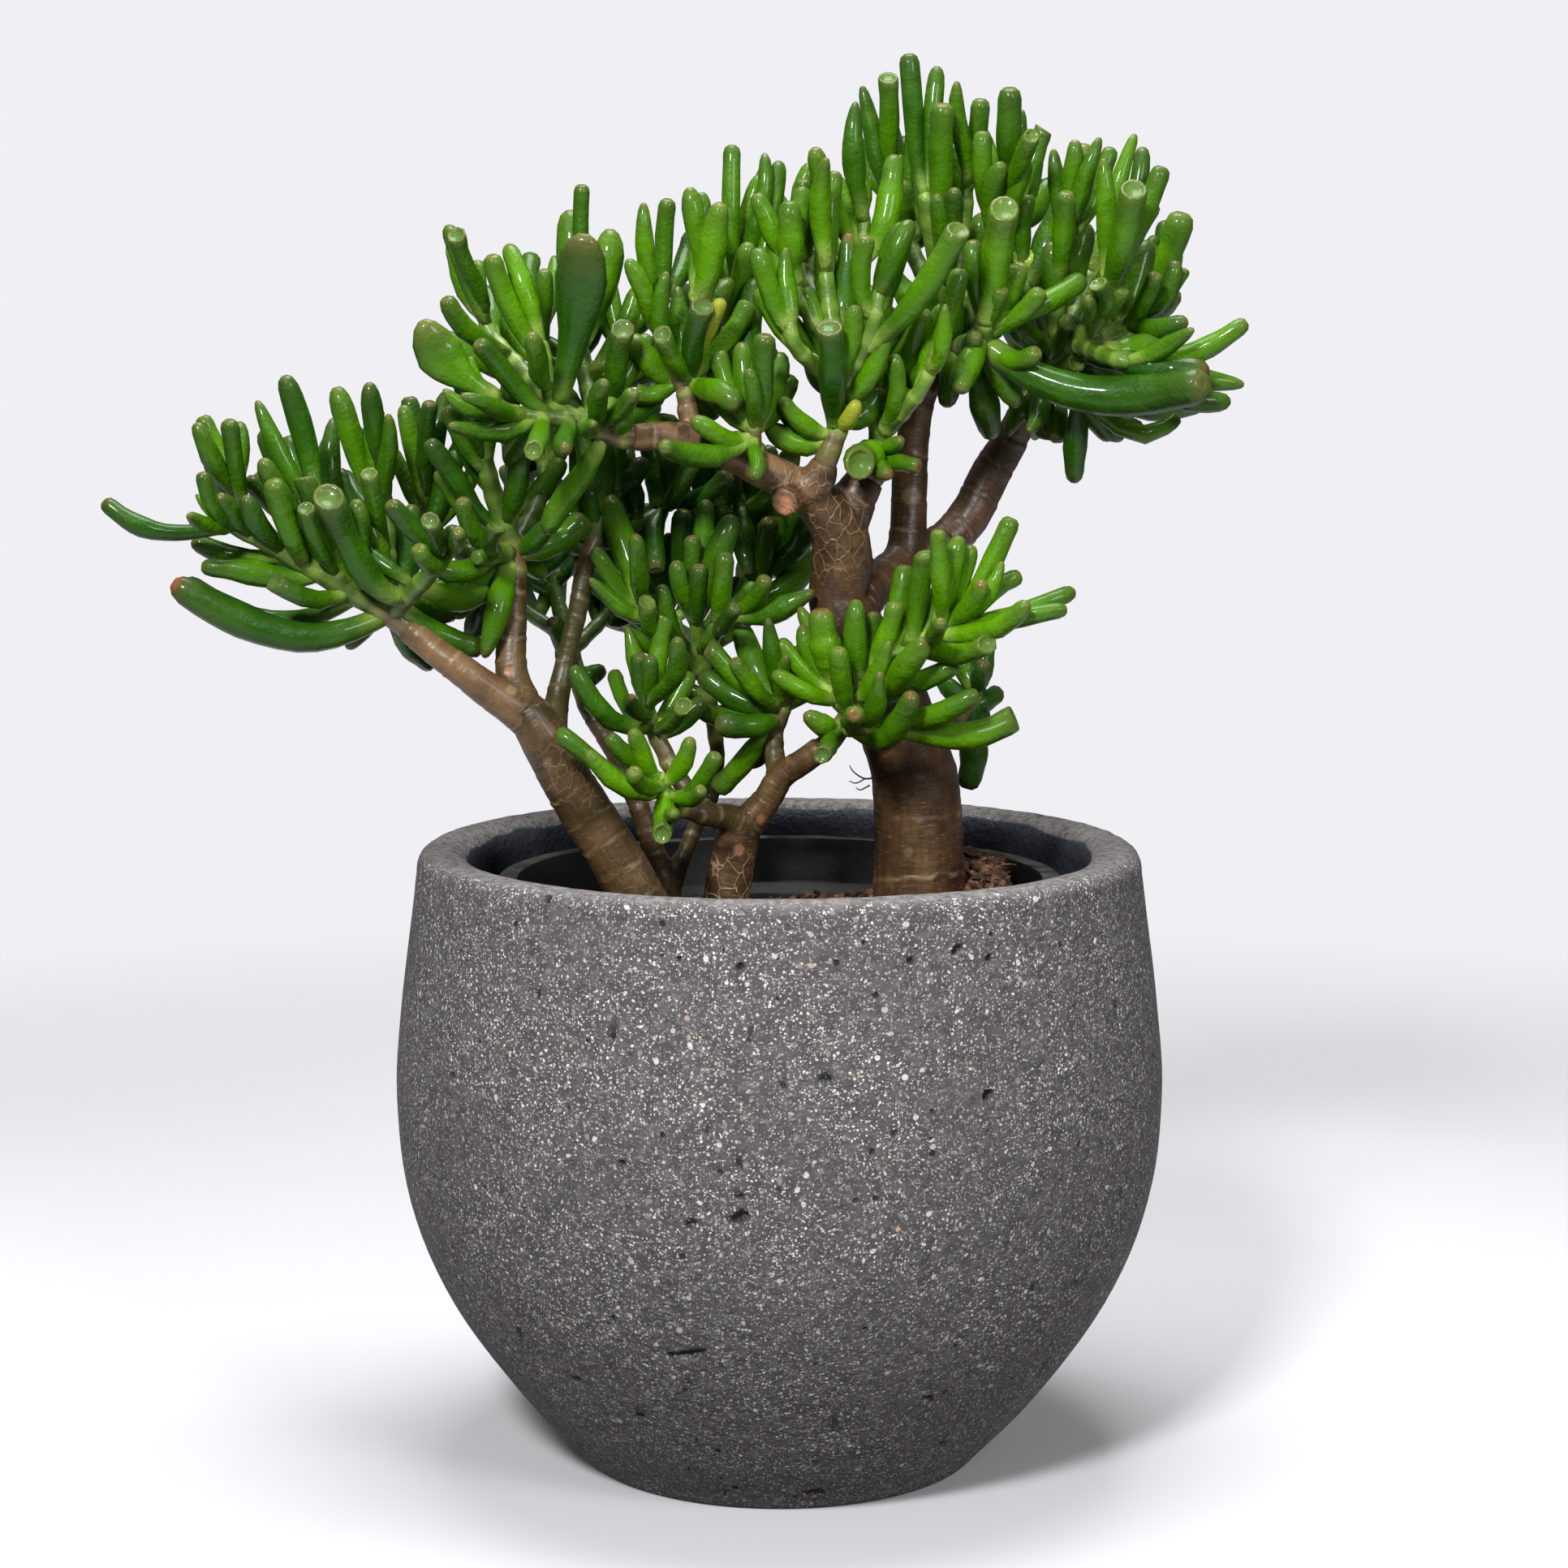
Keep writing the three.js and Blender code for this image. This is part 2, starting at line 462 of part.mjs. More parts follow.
function toGeometry(solid) {
  const mesh = solid.getMesh();
  const geometry = new THREE.BufferGeometry();
  geometry.setAttribute('position', new THREE.BufferAttribute(mesh.vertProperties, 3));
  geometry.setIndex(new THREE.BufferAttribute(mesh.triVerts, 1));
  geometry.computeVertexNormals();
  return geometry;
}

const joined = (geometries) => geometries.map(toSolid).reduce((whole, piece) => whole.add(piece));

function namedMesh(name, geometry, finish) {
  const mesh = new THREE.Mesh(geometry, new THREE.MeshStandardMaterial(finish));
  mesh.name = name;
  return mesh;
}

const vectors = (pairsOfNumbers) => pairsOfNumbers.map(([x, y]) => new THREE.Vector2(x, y));

// A lathe turned round the upright axis from an outline of [radius, height] points.
function turned(outline, segments) {
  return new THREE.LatheGeometry(vectors(outline), segments).rotateX(Math.PI / 2);
}

function smoothed(points, steps) {
  return new THREE.SplineCurve(vectors(points)).getPoints(steps).map(({ x, y }) => [x, y]);
}

// ---------------------------------------------------------------------------------------------
// Swept shapes: stations of { point, radius } along a stem or a leaf
// ---------------------------------------------------------------------------------------------

// A closed tube through the stations. Its section may be flatter one way than the other.
function sweep(stations, sides, flatness = 1) {
  const last = stations.length - 1;
  const corners = [];
  let side = null;
  stations.forEach(({ point, radius }, i) => {
    const before = stations[Math.max(i - 1, 0)].point;
    const after = stations[Math.min(i + 1, last)].point;
    const along = after.clone().sub(before).normalize();
    side ??= sectionSide(along);
    side.addScaledVector(along, -side.dot(along)).normalize();
    const front = side.clone().cross(along);
    for (let k = 0; k < sides; k += 1) {
      const angle = (k / sides) * 2 * Math.PI;
      corners.push(point.clone()
        .addScaledVector(side, Math.sin(angle) * radius)
        .addScaledVector(front, Math.cos(angle) * radius * flatness));
    }
  });
  const index = [];
  for (let ring = 0; ring < last; ring += 1) {
    for (let k = 0; k < sides; k += 1) {
      const [a, b] = [ring * sides + k, ring * sides + (k + 1) % sides];
      index.push(a, b, a + sides, b, b + sides, a + sides);
    }
  }
  for (let k = 1; k < sides - 1; k += 1) {
    const end = last * sides;
    index.push(0, k + 1, k, end, end + k, end + k + 1);
  }
  return new THREE.BufferGeometry().setFromPoints(corners).setIndex(index);
}

// The wide way of a section: level, and across the eye's view unless the stem points at the eye.
function sectionSide(along) {
  const side = along.clone().cross(new THREE.Vector3(0, 1, 0));
  return side.length() < endOnLimit ? new THREE.Vector3(1, 0, 0) : side.normalize();
}

// Stations along a smooth curve through typed points, with a few steps in each span.
function limbStations(points, stepsInSpan) {
  const curve = new THREE.CatmullRomCurve3(points.map(({ point }) => point), false, 'catmullrom', 0.5);
  const spans = points.length - 1;
  const stations = [];
  for (let i = 0; i <= spans * stepsInSpan; i += 1) {
    const span = Math.min(Math.floor(i / stepsInSpan), spans - 1);
    const part = i / stepsInSpan - span;
    const radius = THREE.MathUtils.lerp(points[span].radius, points[span + 1].radius, part);
    stations.push({ point: curve.getPoint(i / (spans * stepsInSpan)), radius });
  }
  return stations;
}

const typedPoints = (rows) => rows.map(([across, up, depth, radius]) => (
  { point: place(across, up, depth), radius }));

// The end of a limb and the direction it points in.
function limbEnd(limb) {
  const [before, last] = typedPoints(limb).slice(-2);
  return { point: last.point, radius: last.radius, along: last.point.clone().sub(before.point).normalize() };
}

// A green twig that goes on from a limb's end, with its cut face square to the limb.
function goingOn(limb, rows) {
  const { point, radius, along } = limbEnd(limb);
  const start = point.clone().addScaledVector(along, gap);
  const next = start.clone().addScaledVector(along, twigStart.length);
  return [{ point: start, radius }, { point: next, radius: radius * twigStart.taper },
    ...typedPoints(rows)];
}

// ---------------------------------------------------------------------------------------------
// Room between pieces: stems, twigs and leaves are followed by balls along their centre lines
// ---------------------------------------------------------------------------------------------

const balls = [];

function ballsAlong(stations) {
  const found = [];
  let total = 0;
  for (let i = 1; i < stations.length; i += 1) {
    total += stations[i].point.distanceTo(stations[i - 1].point);
  }
  let run = 0;
  for (let i = 1; i < stations.length; i += 1) {
    const [from, to] = [stations[i - 1], stations[i]];
    const span = to.point.distanceTo(from.point);
    const count = Math.max(1, Math.ceil(span / ballSpacing));
    for (let k = i === 1 ? 0 : 1; k <= count; k += 1) {
      const part = k / count;
      found.push({
        point: from.point.clone().lerp(to.point, part),
        radius: THREE.MathUtils.lerp(from.radius, to.radius, part),
        free: (run + span * part) / total > freeFrom,
      });
    }
    run += span;
  }
  return found;
}

function keep(node, stations, isLeaf) {
  for (const ball of ballsAlong(stations)) {
    balls.push({ ...ball, node, isLeaf });
  }
}

// The least room from a leaf to other nodes, and to the free parts of leaves on its own head.
function roomFor(node, stations) {
  let others = Infinity;
  let own = Infinity;
  for (const ball of ballsAlong(stations)) {
    for (const kept of balls) {
      const reach = ball.radius + kept.radius;
      const room = ball.point.distanceTo(kept.point) - reach;
      if (kept.node !== node) others = Math.min(others, room);
      else if (kept.isLeaf && kept.free && ball.free) own = Math.min(own, room);
    }
  }
  return { others, own };
}

// ---------------------------------------------------------------------------------------------
// Leaves
// ---------------------------------------------------------------------------------------------

// Sections along a leaf as [part of its length, part of its radius]: a plain finger, a long one
// with one more bend, and a spoon that is narrow at its root and wide near its tip.
const leafForms = {
  finger: [[0, 0.4], [0.55, 1], [1, 0.8]],
  long: [[0, 0.4], [0.4, 0.92], [0.8, 1], [1, 0.8]],
  spoon: [[0, 0.34], [0.4, 0.56], [0.78, 1], [1, 0.7]],
};

function leafForm(root, tip, width) {
  if (width > spoonWidth) return 'spoon';
  return root.distanceTo(tip) > longLeaf ? 'long' : 'finger';
}

// A leaf starts well inside its twig, goes outwards and then bends up.
function makeLeaf({ point: root, radius }, tip, width, sag = 0) {
  const form = leafForm(root, tip, width);
  const middle = new THREE.Vector3(
    THREE.MathUtils.lerp(root.x, tip.x, leafBend.across),
    THREE.MathUtils.lerp(root.y, tip.y, leafBend.across),
    THREE.MathUtils.lerp(root.z, tip.z, leafBend.up) - sag,
  );
  const start = root.clone().addScaledVector(middle.clone().sub(root).normalize(), radius * rootSink);
  const curve = new THREE.QuadraticBezierCurve3(start, middle, tip);
  const stations = leafForms[form].map(([part, wide]) => ({
    point: curve.getPoint(part), radius: wide * width / 2,
  }));
  return { stations, flatness: form === 'spoon' ? spoonThickness / width : 1 };
}

// The place on a head's twigs that is nearest to a point, clear of the limb that carries them.
function nearestRoot(head, across, up) {
  let best = null;
  for (const rootPlace of head.rootPlaces) {
    const { x, y, z } = rootPlace.point;
    const scale = (eye.distance + y) / eye.distance;
    const away = Math.hypot(x / scale - across, (z - eye.height) / scale + eye.height - up);
    if (best === null || away < best.away) best = { rootPlace, away };
  }
  return best.rootPlace;
}

// The depths that a leaf's tip may take, in the order in which they are tried.
function leanChoices(lean, root, [tipAcross, tipUp], draw) {
  const flat = place(tipAcross, tipUp, root.y).distanceTo(root);
  const full = Math.sqrt(Math.max(0, between(draw, leafLength) ** 2 - flat ** 2));
  const first = lean ?? usualLean * full;
  return [...leanParts.map((part) => first * part), ...leanSteps.map((step) => first + step)];
}

function typedLeaf(head, row, draw) {
  const [tipAcross, tipUp, rootAcross, rootUp, width, lean, sag = 0] = row;
  const root = nearestRoot(head, rootAcross, rootUp);
  let best = null;
  for (const choice of leanChoices(lean, root.point, row, draw)) {
    const leaf = makeLeaf(root, place(tipAcross, tipUp, root.point.y + choice), width, sag);
    const { others, own } = roomFor(head.name, leaf.stations);
    if (others < headClearance) continue;
    if (best === null || own > best.own) best = { leaf, own };
    if (own > leafOverlap) break;
  }
  if (best === null) return;
  head.leaves.push(best.leaf);
  root.twig.count += 1;
  keep(head.name, best.leaf.stations, true);
}

// Two leaves across each other close to a twig's end.
function crossedPair(head, twig, root, along, draw) {
  const turn = draw() * Math.PI;
  const side = new THREE.Vector3(Math.cos(turn), Math.sin(turn), 0);
  side.addScaledVector(along, -side.dot(along)).normalize();
  for (const sign of [1, -1]) {
    const lean = pairs.lean + (draw() - 0.5) * pairs.leanSpread;
    const length = between(draw, leafLength) * pairs.shortening;
    const width = between(draw, pairs.width);
    const way = along.clone().multiplyScalar(Math.cos(lean)).addScaledVector(side, sign * Math.sin(lean));
    way.z += pairs.lift;
    const tip = root.point.clone().addScaledVector(way.normalize(), length);
    const leaf = makeLeaf(root, tip, width);
    const { others, own } = roomFor(head.name, leaf.stations);
    if (others < headClearance || own < leafOverlap) continue;
    head.leaves.push(leaf);
    twig.count += 1;
    keep(head.name, leaf.stations, true);
  }
}

// A pair on every twig that has few leaves yet
function growPair(head, twig, draw) {
  if (twig.count >= pairs.fullTwig) return;
  const [, root, below] = ballsAlong(twig.stations).reverse();
  crossedPair(head, twig, root, root.point.clone().sub(below.point).normalize(), draw);
}

// ---------------------------------------------------------------------------------------------
// The plant
// ---------------------------------------------------------------------------------------------

function buildStem(name) {
  const { sides, limbs } = stems[name];
  const tubes = Object.entries(limbs).map(([limbName, rows]) => {
    const isBole = limbName === 'bole';
    const stations = limbStations(typedPoints(rows), isBole ? boleSteps : 1);
    keep(name, stations, false);
    return sweep(stations, isBole ? sides : limbSides);
  });
  return namedMesh(name, toGeometry(joined(tubes)), colours.bark);
}

function growTwigs(name) {
  const { from: [stem, limb], twigs } = heads[name];
  const head = { name, twigs: [], leaves: [], rootPlaces: [] };
  const start = limbEnd(stems[stem].limbs[limb]).point;
  twigs.forEach((rows, index) => {
    const points = index === 0 ? goingOn(stems[stem].limbs[limb], rows) : typedPoints(rows);
    const twig = { stations: limbStations(points, 1), count: 0 };
    head.twigs.push(twig);
    keep(name, twig.stations, false);
    for (const { point, radius } of ballsAlong(twig.stations).slice(0, -1)) {
      if (point.distanceTo(start) > rootMargin) head.rootPlaces.push({ point, radius, twig });
    }
  });
  return head;
}

function buildHead(head) {
  const twigs = head.twigs.map(({ stations }) => sweep(stations, leafSides));
  const leaves = head.leaves.map(({ stations, flatness }) => {
    const rounded = stations.map(({ point, radius }) => ({ point, radius: radius * roundness }));
    return sweep(rounded, leafSides, flatness);
  });
  return namedMesh(head.name, toGeometry(joined([...twigs, ...leaves])), colours.leaf);
}

const stemMeshes = Object.keys(stems).map(buildStem);
const grown = Object.keys(heads).map(growTwigs);
const drawLeaf = seededRandom(pairs.seed);
for (const head of grown) {
  for (const row of heads[head.name].leaves) typedLeaf(head, row, drawLeaf);
}
for (const head of grown) {
  for (const twig of head.twigs) growPair(head, twig, drawLeaf);
}

// ---------------------------------------------------------------------------------------------
// The pots and the potting mix
// ---------------------------------------------------------------------------------------------

function buildPlanter() {
  const outline = [
    [0, 0], [planterBaseRadius, 0],
    ...smoothed(planterOutside, outsideSteps),
    ...planterRim,
    ...smoothed(planterInside, insideSteps),
    [planterFloor.radius, planterFloor.height], [0, planterFloor.height],
  ];
  return namedMesh('planter', toGeometry(toSolid(turned(outline, planterSegments))), colours.stone);
}

const nurseryFoot = planterFloor.height + gap;

function buildNurseryPot() {
  const n = nursery;
  const outline = [
    [0, nurseryFoot], [n.baseRadius, nurseryFoot], [n.stepRadius, n.stepOutside],
    [n.bandRadius, n.bandOutside], [n.bandTopRadius, n.flangeFoot], [n.flangeRadius, n.flangeFoot],
    [n.flangeRadius, n.top], [n.flangeInner, n.top], [n.bandRadius - n.wall, n.bandInside],
    [n.stepRadius - n.wall, n.stepInside], [n.baseRadius - n.wall, nurseryFoot + n.floor],
    [0, nurseryFoot + n.floor],
  ];
  let pot = toSolid(turned(outline, nurserySegments));
  for (let k = 0; k < drainHoles.count; k += 1) {
    const angle = (k / drainHoles.count) * 2 * Math.PI;
    const { radius, drillLength, sides } = drainHoles;
    const drill = new THREE.CylinderGeometry(radius, radius, drillLength, sides)
      .rotateX(Math.PI / 2)
      .translate(drainHoles.ring * Math.cos(angle), drainHoles.ring * Math.sin(angle), nurseryFoot);
    pot = pot.subtract(toSolid(drill));
  }
  return namedMesh('nursery_pot', toGeometry(pot), colours.plastic);
}

function surfaceHeight(x, y) {
  const rise = heap.height * Math.exp(-((x - heap.x) ** 2 + (y - heap.y) ** 2) / (2 * heap.spread ** 2));
  return soil.edgeHeight + rise + crumbs.amplitude * Math.sin(x / crumbs.wave) * Math.cos(y / crumbs.wave);
}

function chipGeometries(holes) {
  const draw = seededRandom(chips.seed);
  const made = [];
  while (made.length < chips.count) {
    const onPatch = made.length % 3 !== 0;
    const angle = draw() * 2 * Math.PI;
    const reach = Math.sqrt(draw()) * (onPatch ? chipPatch.reach : chipMaxRadius);
    const x = (onPatch ? chipPatch.x : 0) + reach * Math.cos(angle);
    const y = (onPatch ? chipPatch.y : 0) + reach * Math.sin(angle);
    const size = [chips.length, chips.width, chips.thickness].map((range) => between(draw, range));
    const turns = [draw() - 0.5, draw() - 0.5, draw() * Math.PI];
    const clear = holes.every(({ point, radius }) => (
      Math.hypot(x - point.x, y - point.y) > radius + chipToStem));
    if (Math.hypot(x, y) > chipMaxRadius || !clear) continue;
    made.push(new THREE.BoxGeometry(...size)
      .rotateX(turns[0]).rotateY(turns[1]).rotateZ(turns[2])
      .translate(x, y, surfaceHeight(x, y) + chipRise));
  }
  return made;
}

// A stem's hole follows its buried end, a gap wider and a gap deeper.
function holeStations(rows) {
  const stations = limbStations(typedPoints(rows.slice(0, buriedPoints)), boleSteps)
    .map(({ point, radius }) => ({ point, radius: radius + gap * holeEase }));
  const down = stations[0].point.clone().sub(stations[1].point).normalize();
  stations[0].point.addScaledVector(down, gap);
  return stations;
}

function buildPottingMix() {
  const inner = (height) => THREE.MathUtils.mapLinear(
    height, nurseryFoot + nursery.floor, nursery.stepInside,
    nursery.baseRadius - nursery.wall, nursery.stepRadius - nursery.wall,
  ) - 2 * gap;
  const foot = nurseryFoot + nursery.floor + gap;
  const outline = [[0, foot], [inner(foot), foot], [inner(soil.edgeHeight), soil.edgeHeight]];
  for (let k = soil.rings - 1; k >= 0; k -= 1) {
    outline.push([inner(soil.edgeHeight) * k / soil.rings, soil.edgeHeight]);
  }
  const body = turned(outline, soil.segments);
  const position = body.attributes.position;
  for (let i = 0; i < position.count; i += 1) {
    if (position.getZ(i) > foot + gap) {
      position.setZ(i, surfaceHeight(position.getX(i), position.getY(i)));
    }
  }
  const holes = Object.values(stems).map(({ sides, limbs: { bole } }) => {
    const stations = holeStations(bole);
    return { drill: sweep(stations, sides), point: stations[boleSteps].point, radius: stations[0].radius };
  });
  let mix = joined([body, ...chipGeometries(holes)]);
  for (const { drill } of holes) mix = mix.subtract(toSolid(drill));
  return namedMesh('potting_mix', toGeometry(mix), colours.soil);
}

// ---------------------------------------------------------------------------------------------

const trumpetJade = new THREE.Group();
trumpetJade.add(buildPlanter(), buildNurseryPot(), buildPottingMix());
trumpetJade.add(...stemMeshes);
trumpetJade.add(...grown.map(buildHead));

export default trumpetJade;
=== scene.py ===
"""Finished look of a potted trumpet jade: planter, nursery pot, potting mix, stems and leaves.

The plant is drawn in millimetres on the upright plane through the planter's axis, as seen from an eye
point in front of it, with a depth behind that plane. The finished meshes are in metres.
"""

from __future__ import annotations

import json
import logging
import math
from collections.abc import Callable, Iterable, Iterator, Sequence
from contextlib import contextmanager
from dataclasses import dataclass, field
from enum import Enum

import bpy
import numpy as np
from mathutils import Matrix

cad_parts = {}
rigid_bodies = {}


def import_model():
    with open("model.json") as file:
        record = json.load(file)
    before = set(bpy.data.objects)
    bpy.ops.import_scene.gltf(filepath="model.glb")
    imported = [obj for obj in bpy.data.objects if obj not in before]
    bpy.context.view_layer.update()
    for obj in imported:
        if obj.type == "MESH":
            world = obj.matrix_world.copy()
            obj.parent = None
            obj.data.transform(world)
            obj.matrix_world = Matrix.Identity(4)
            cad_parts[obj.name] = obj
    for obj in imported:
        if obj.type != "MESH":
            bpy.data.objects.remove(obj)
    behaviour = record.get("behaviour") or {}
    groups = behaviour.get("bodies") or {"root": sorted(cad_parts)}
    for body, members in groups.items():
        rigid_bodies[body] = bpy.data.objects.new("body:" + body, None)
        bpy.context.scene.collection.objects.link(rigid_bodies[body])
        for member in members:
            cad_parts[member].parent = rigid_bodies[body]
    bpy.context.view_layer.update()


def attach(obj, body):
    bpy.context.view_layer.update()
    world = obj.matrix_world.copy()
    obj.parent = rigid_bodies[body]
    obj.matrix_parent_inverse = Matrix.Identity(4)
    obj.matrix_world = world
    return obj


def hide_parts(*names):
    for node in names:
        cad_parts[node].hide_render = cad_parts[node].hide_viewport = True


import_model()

LOG = logging.getLogger("trumpet_jade")
MM = 0.001
TINY = 1e-9
BODY = "root"

Array = np.ndarray
Object = bpy.types.Object
Socket = bpy.types.NodeSocket
Row = tuple[float, ...]
Rows = tuple[Row, ...]
Paint = Row


# The plant: stems, twigs and leaves


@dataclass(frozen=True)
class Eye:
    """The point from which the plant's tables are drawn, in millimetres."""

    distance: float = 1452.0
    height: float = 484.0


EYE = Eye()


@dataclass(frozen=True)
class HeadPlan:
    """One head of leaves: the limb that it goes on from, its twigs and its typed leaves.

    A twig's row is (across, up, depth, radius). A leaf's row is (tip across, tip up, root across,
    root up, width), then its lean (depth of the tip from the root, minus is towards the eye) and its
    sag. The late leaves find their room after all the others. The tone is how light the head is
    painted: partly its leaves' own green, partly painted light and shade, lowest for the heads that
    lie in shadow behind the others.
    """

    name: str
    stem: str
    limb: str
    tone: float
    twigs: tuple[Rows, ...]
    leaves: Rows
    late_leaves: Rows = ()


# Every limb is a chain of (across, up, depth, radius) from its foot to its end.
STEMS: dict[str, dict[str, Rows]] = {
    "trunk_main": {
        "bole": (
            (62, 186, 14, 21), (62, 240, 14, 21), (61, 300, 14, 19.8), (55, 322, 13, 18.2),
            (44, 350, 10, 16.6), (29, 376, 7, 14.6), (25, 386, 7, 13), (28, 404, 6, 14), (24, 418, 0, 12),
            (14, 430, -7, 9.5),
        ),
        "mid_limb": (
            (20, 422, -4, 8.5), (8, 434, -10, 8.4), (-6, 441, -17, 7.8), (-26, 450, -22, 7),
            (-47, 456, -27, 6.4), (-64, 456, -28, 5.8),
        ),
        "cut_stub": ((10, 433, -8, 7), (2, 427, -24, 6.2)),
        "mid_twig": ((-36, 453, -24, 5), (-39, 461, -21, 4.6), (-40.5, 471, -20, 4.5)),
        "knot_twig": ((-6, 438, -17, 6), (-9, 443, -22, 4.6), (-10, 447, -25, 4.2)),
        "crown_stub": ((9, 432, -11, 8.8), (17, 438, -13, 7.8), (20, 445, -15, 5.8)),
        "crown_limb": ((26, 410, 4, 11), (31, 426, 5, 11), (38, 438, 6, 8.4)),
        "back_limb": (
            (34, 384, 11, 12), (46, 395, 31, 8.6), (55, 405, 42, 8.8), (57, 430, 48, 8.3),
            (58, 452, 49, 7.6), (62, 474, 48, 7), (70, 487, 45, 6.8),
        ),
        "right_limb": (
            (54, 402, 42, 9.4), (70, 408, 53, 9.6), (83, 421, 60, 9.7), (93, 441, 63, 9.4),
            (102, 456, 62, 8.2), (107, 468, 59, 7),
        ),
        "rear_shoot": ((62, 314, 20, 8), (70, 322, 36, 5.4), (77, 330, 49, 4.6)),
    },
    "trunk_left": {
        "bole": (
            (-50, 210, -11, 12.6), (-57, 240, -13, 12.2), (-70, 264, -15, 12), (-92, 300, -18, 11.6),
            (-103, 321, -20, 11), (-112, 336, -20, 9.6),
        ),
        "arm": (
            (-108, 330, -20, 9.5), (-124, 341, -22, 8), (-140, 353, -24, 7), (-155, 364, -22, 6.4),
            (-164, 372, -21, 6),
        ),
        "inner_stub": (
            (-111, 332, -18, 9), (-118, 350, -14, 7.2), (-118, 372, -8, 6.6), (-117, 394, -4, 6),
        ),
        "dark_twig": (
            (-102, 322, -11, 8), (-98, 342, 1, 5.2), (-94, 360, 6, 4.6), (-89, 380, 8, 4.5),
            (-86, 396, 11, 4.3),
        ),
    },
    "trunk_centre": {
        "bole": (
            (-22, 206, -18, 11.2), (-25, 240, -15, 10.8), (-22, 262, -14, 10), (-19, 278, -14, 9.8),
            (-16, 290, -14, 8),
        ),
        "right_arm": (
            (-17, 282, -14, 8), (-6, 295, -15, 6.6), (1, 306, -17, 6), (11, 313, -20, 5.6),
            (19, 319, -22, 5.2),
        ),
        "small_twig": ((0, 303, -17, 5.2), (-2, 315, -11, 4.4), (-2, 323, -7, 4.2)),
        "left_arm": ((-16, 284, -15, 7.6), (-24, 288, -21, 6), (-33, 289, -28, 5.2), (-40, 291, -32, 4.7)),
        "low_twig": ((-31, 289, -27, 5), (-41, 300, -20, 4.5), (-47, 309, -15, 4.3)),
    },
    "trunk_slim": {
        "bole": (
            (-44, 206, 25, 6.2), (-47, 242, 25, 6), (-55, 270, 27, 5.6), (-63, 294, 28, 5),
            (-72, 315, 31, 4.7), (-83, 333, 34, 4.5),
        ),
        "fork": (
            (-49, 254, 25, 5), (-44, 268, 28, 4.2), (-37, 284, 31, 3.8), (-30, 298, 32, 3.6),
            (-28, 310, 34, 3.6),
        ),
    },
}
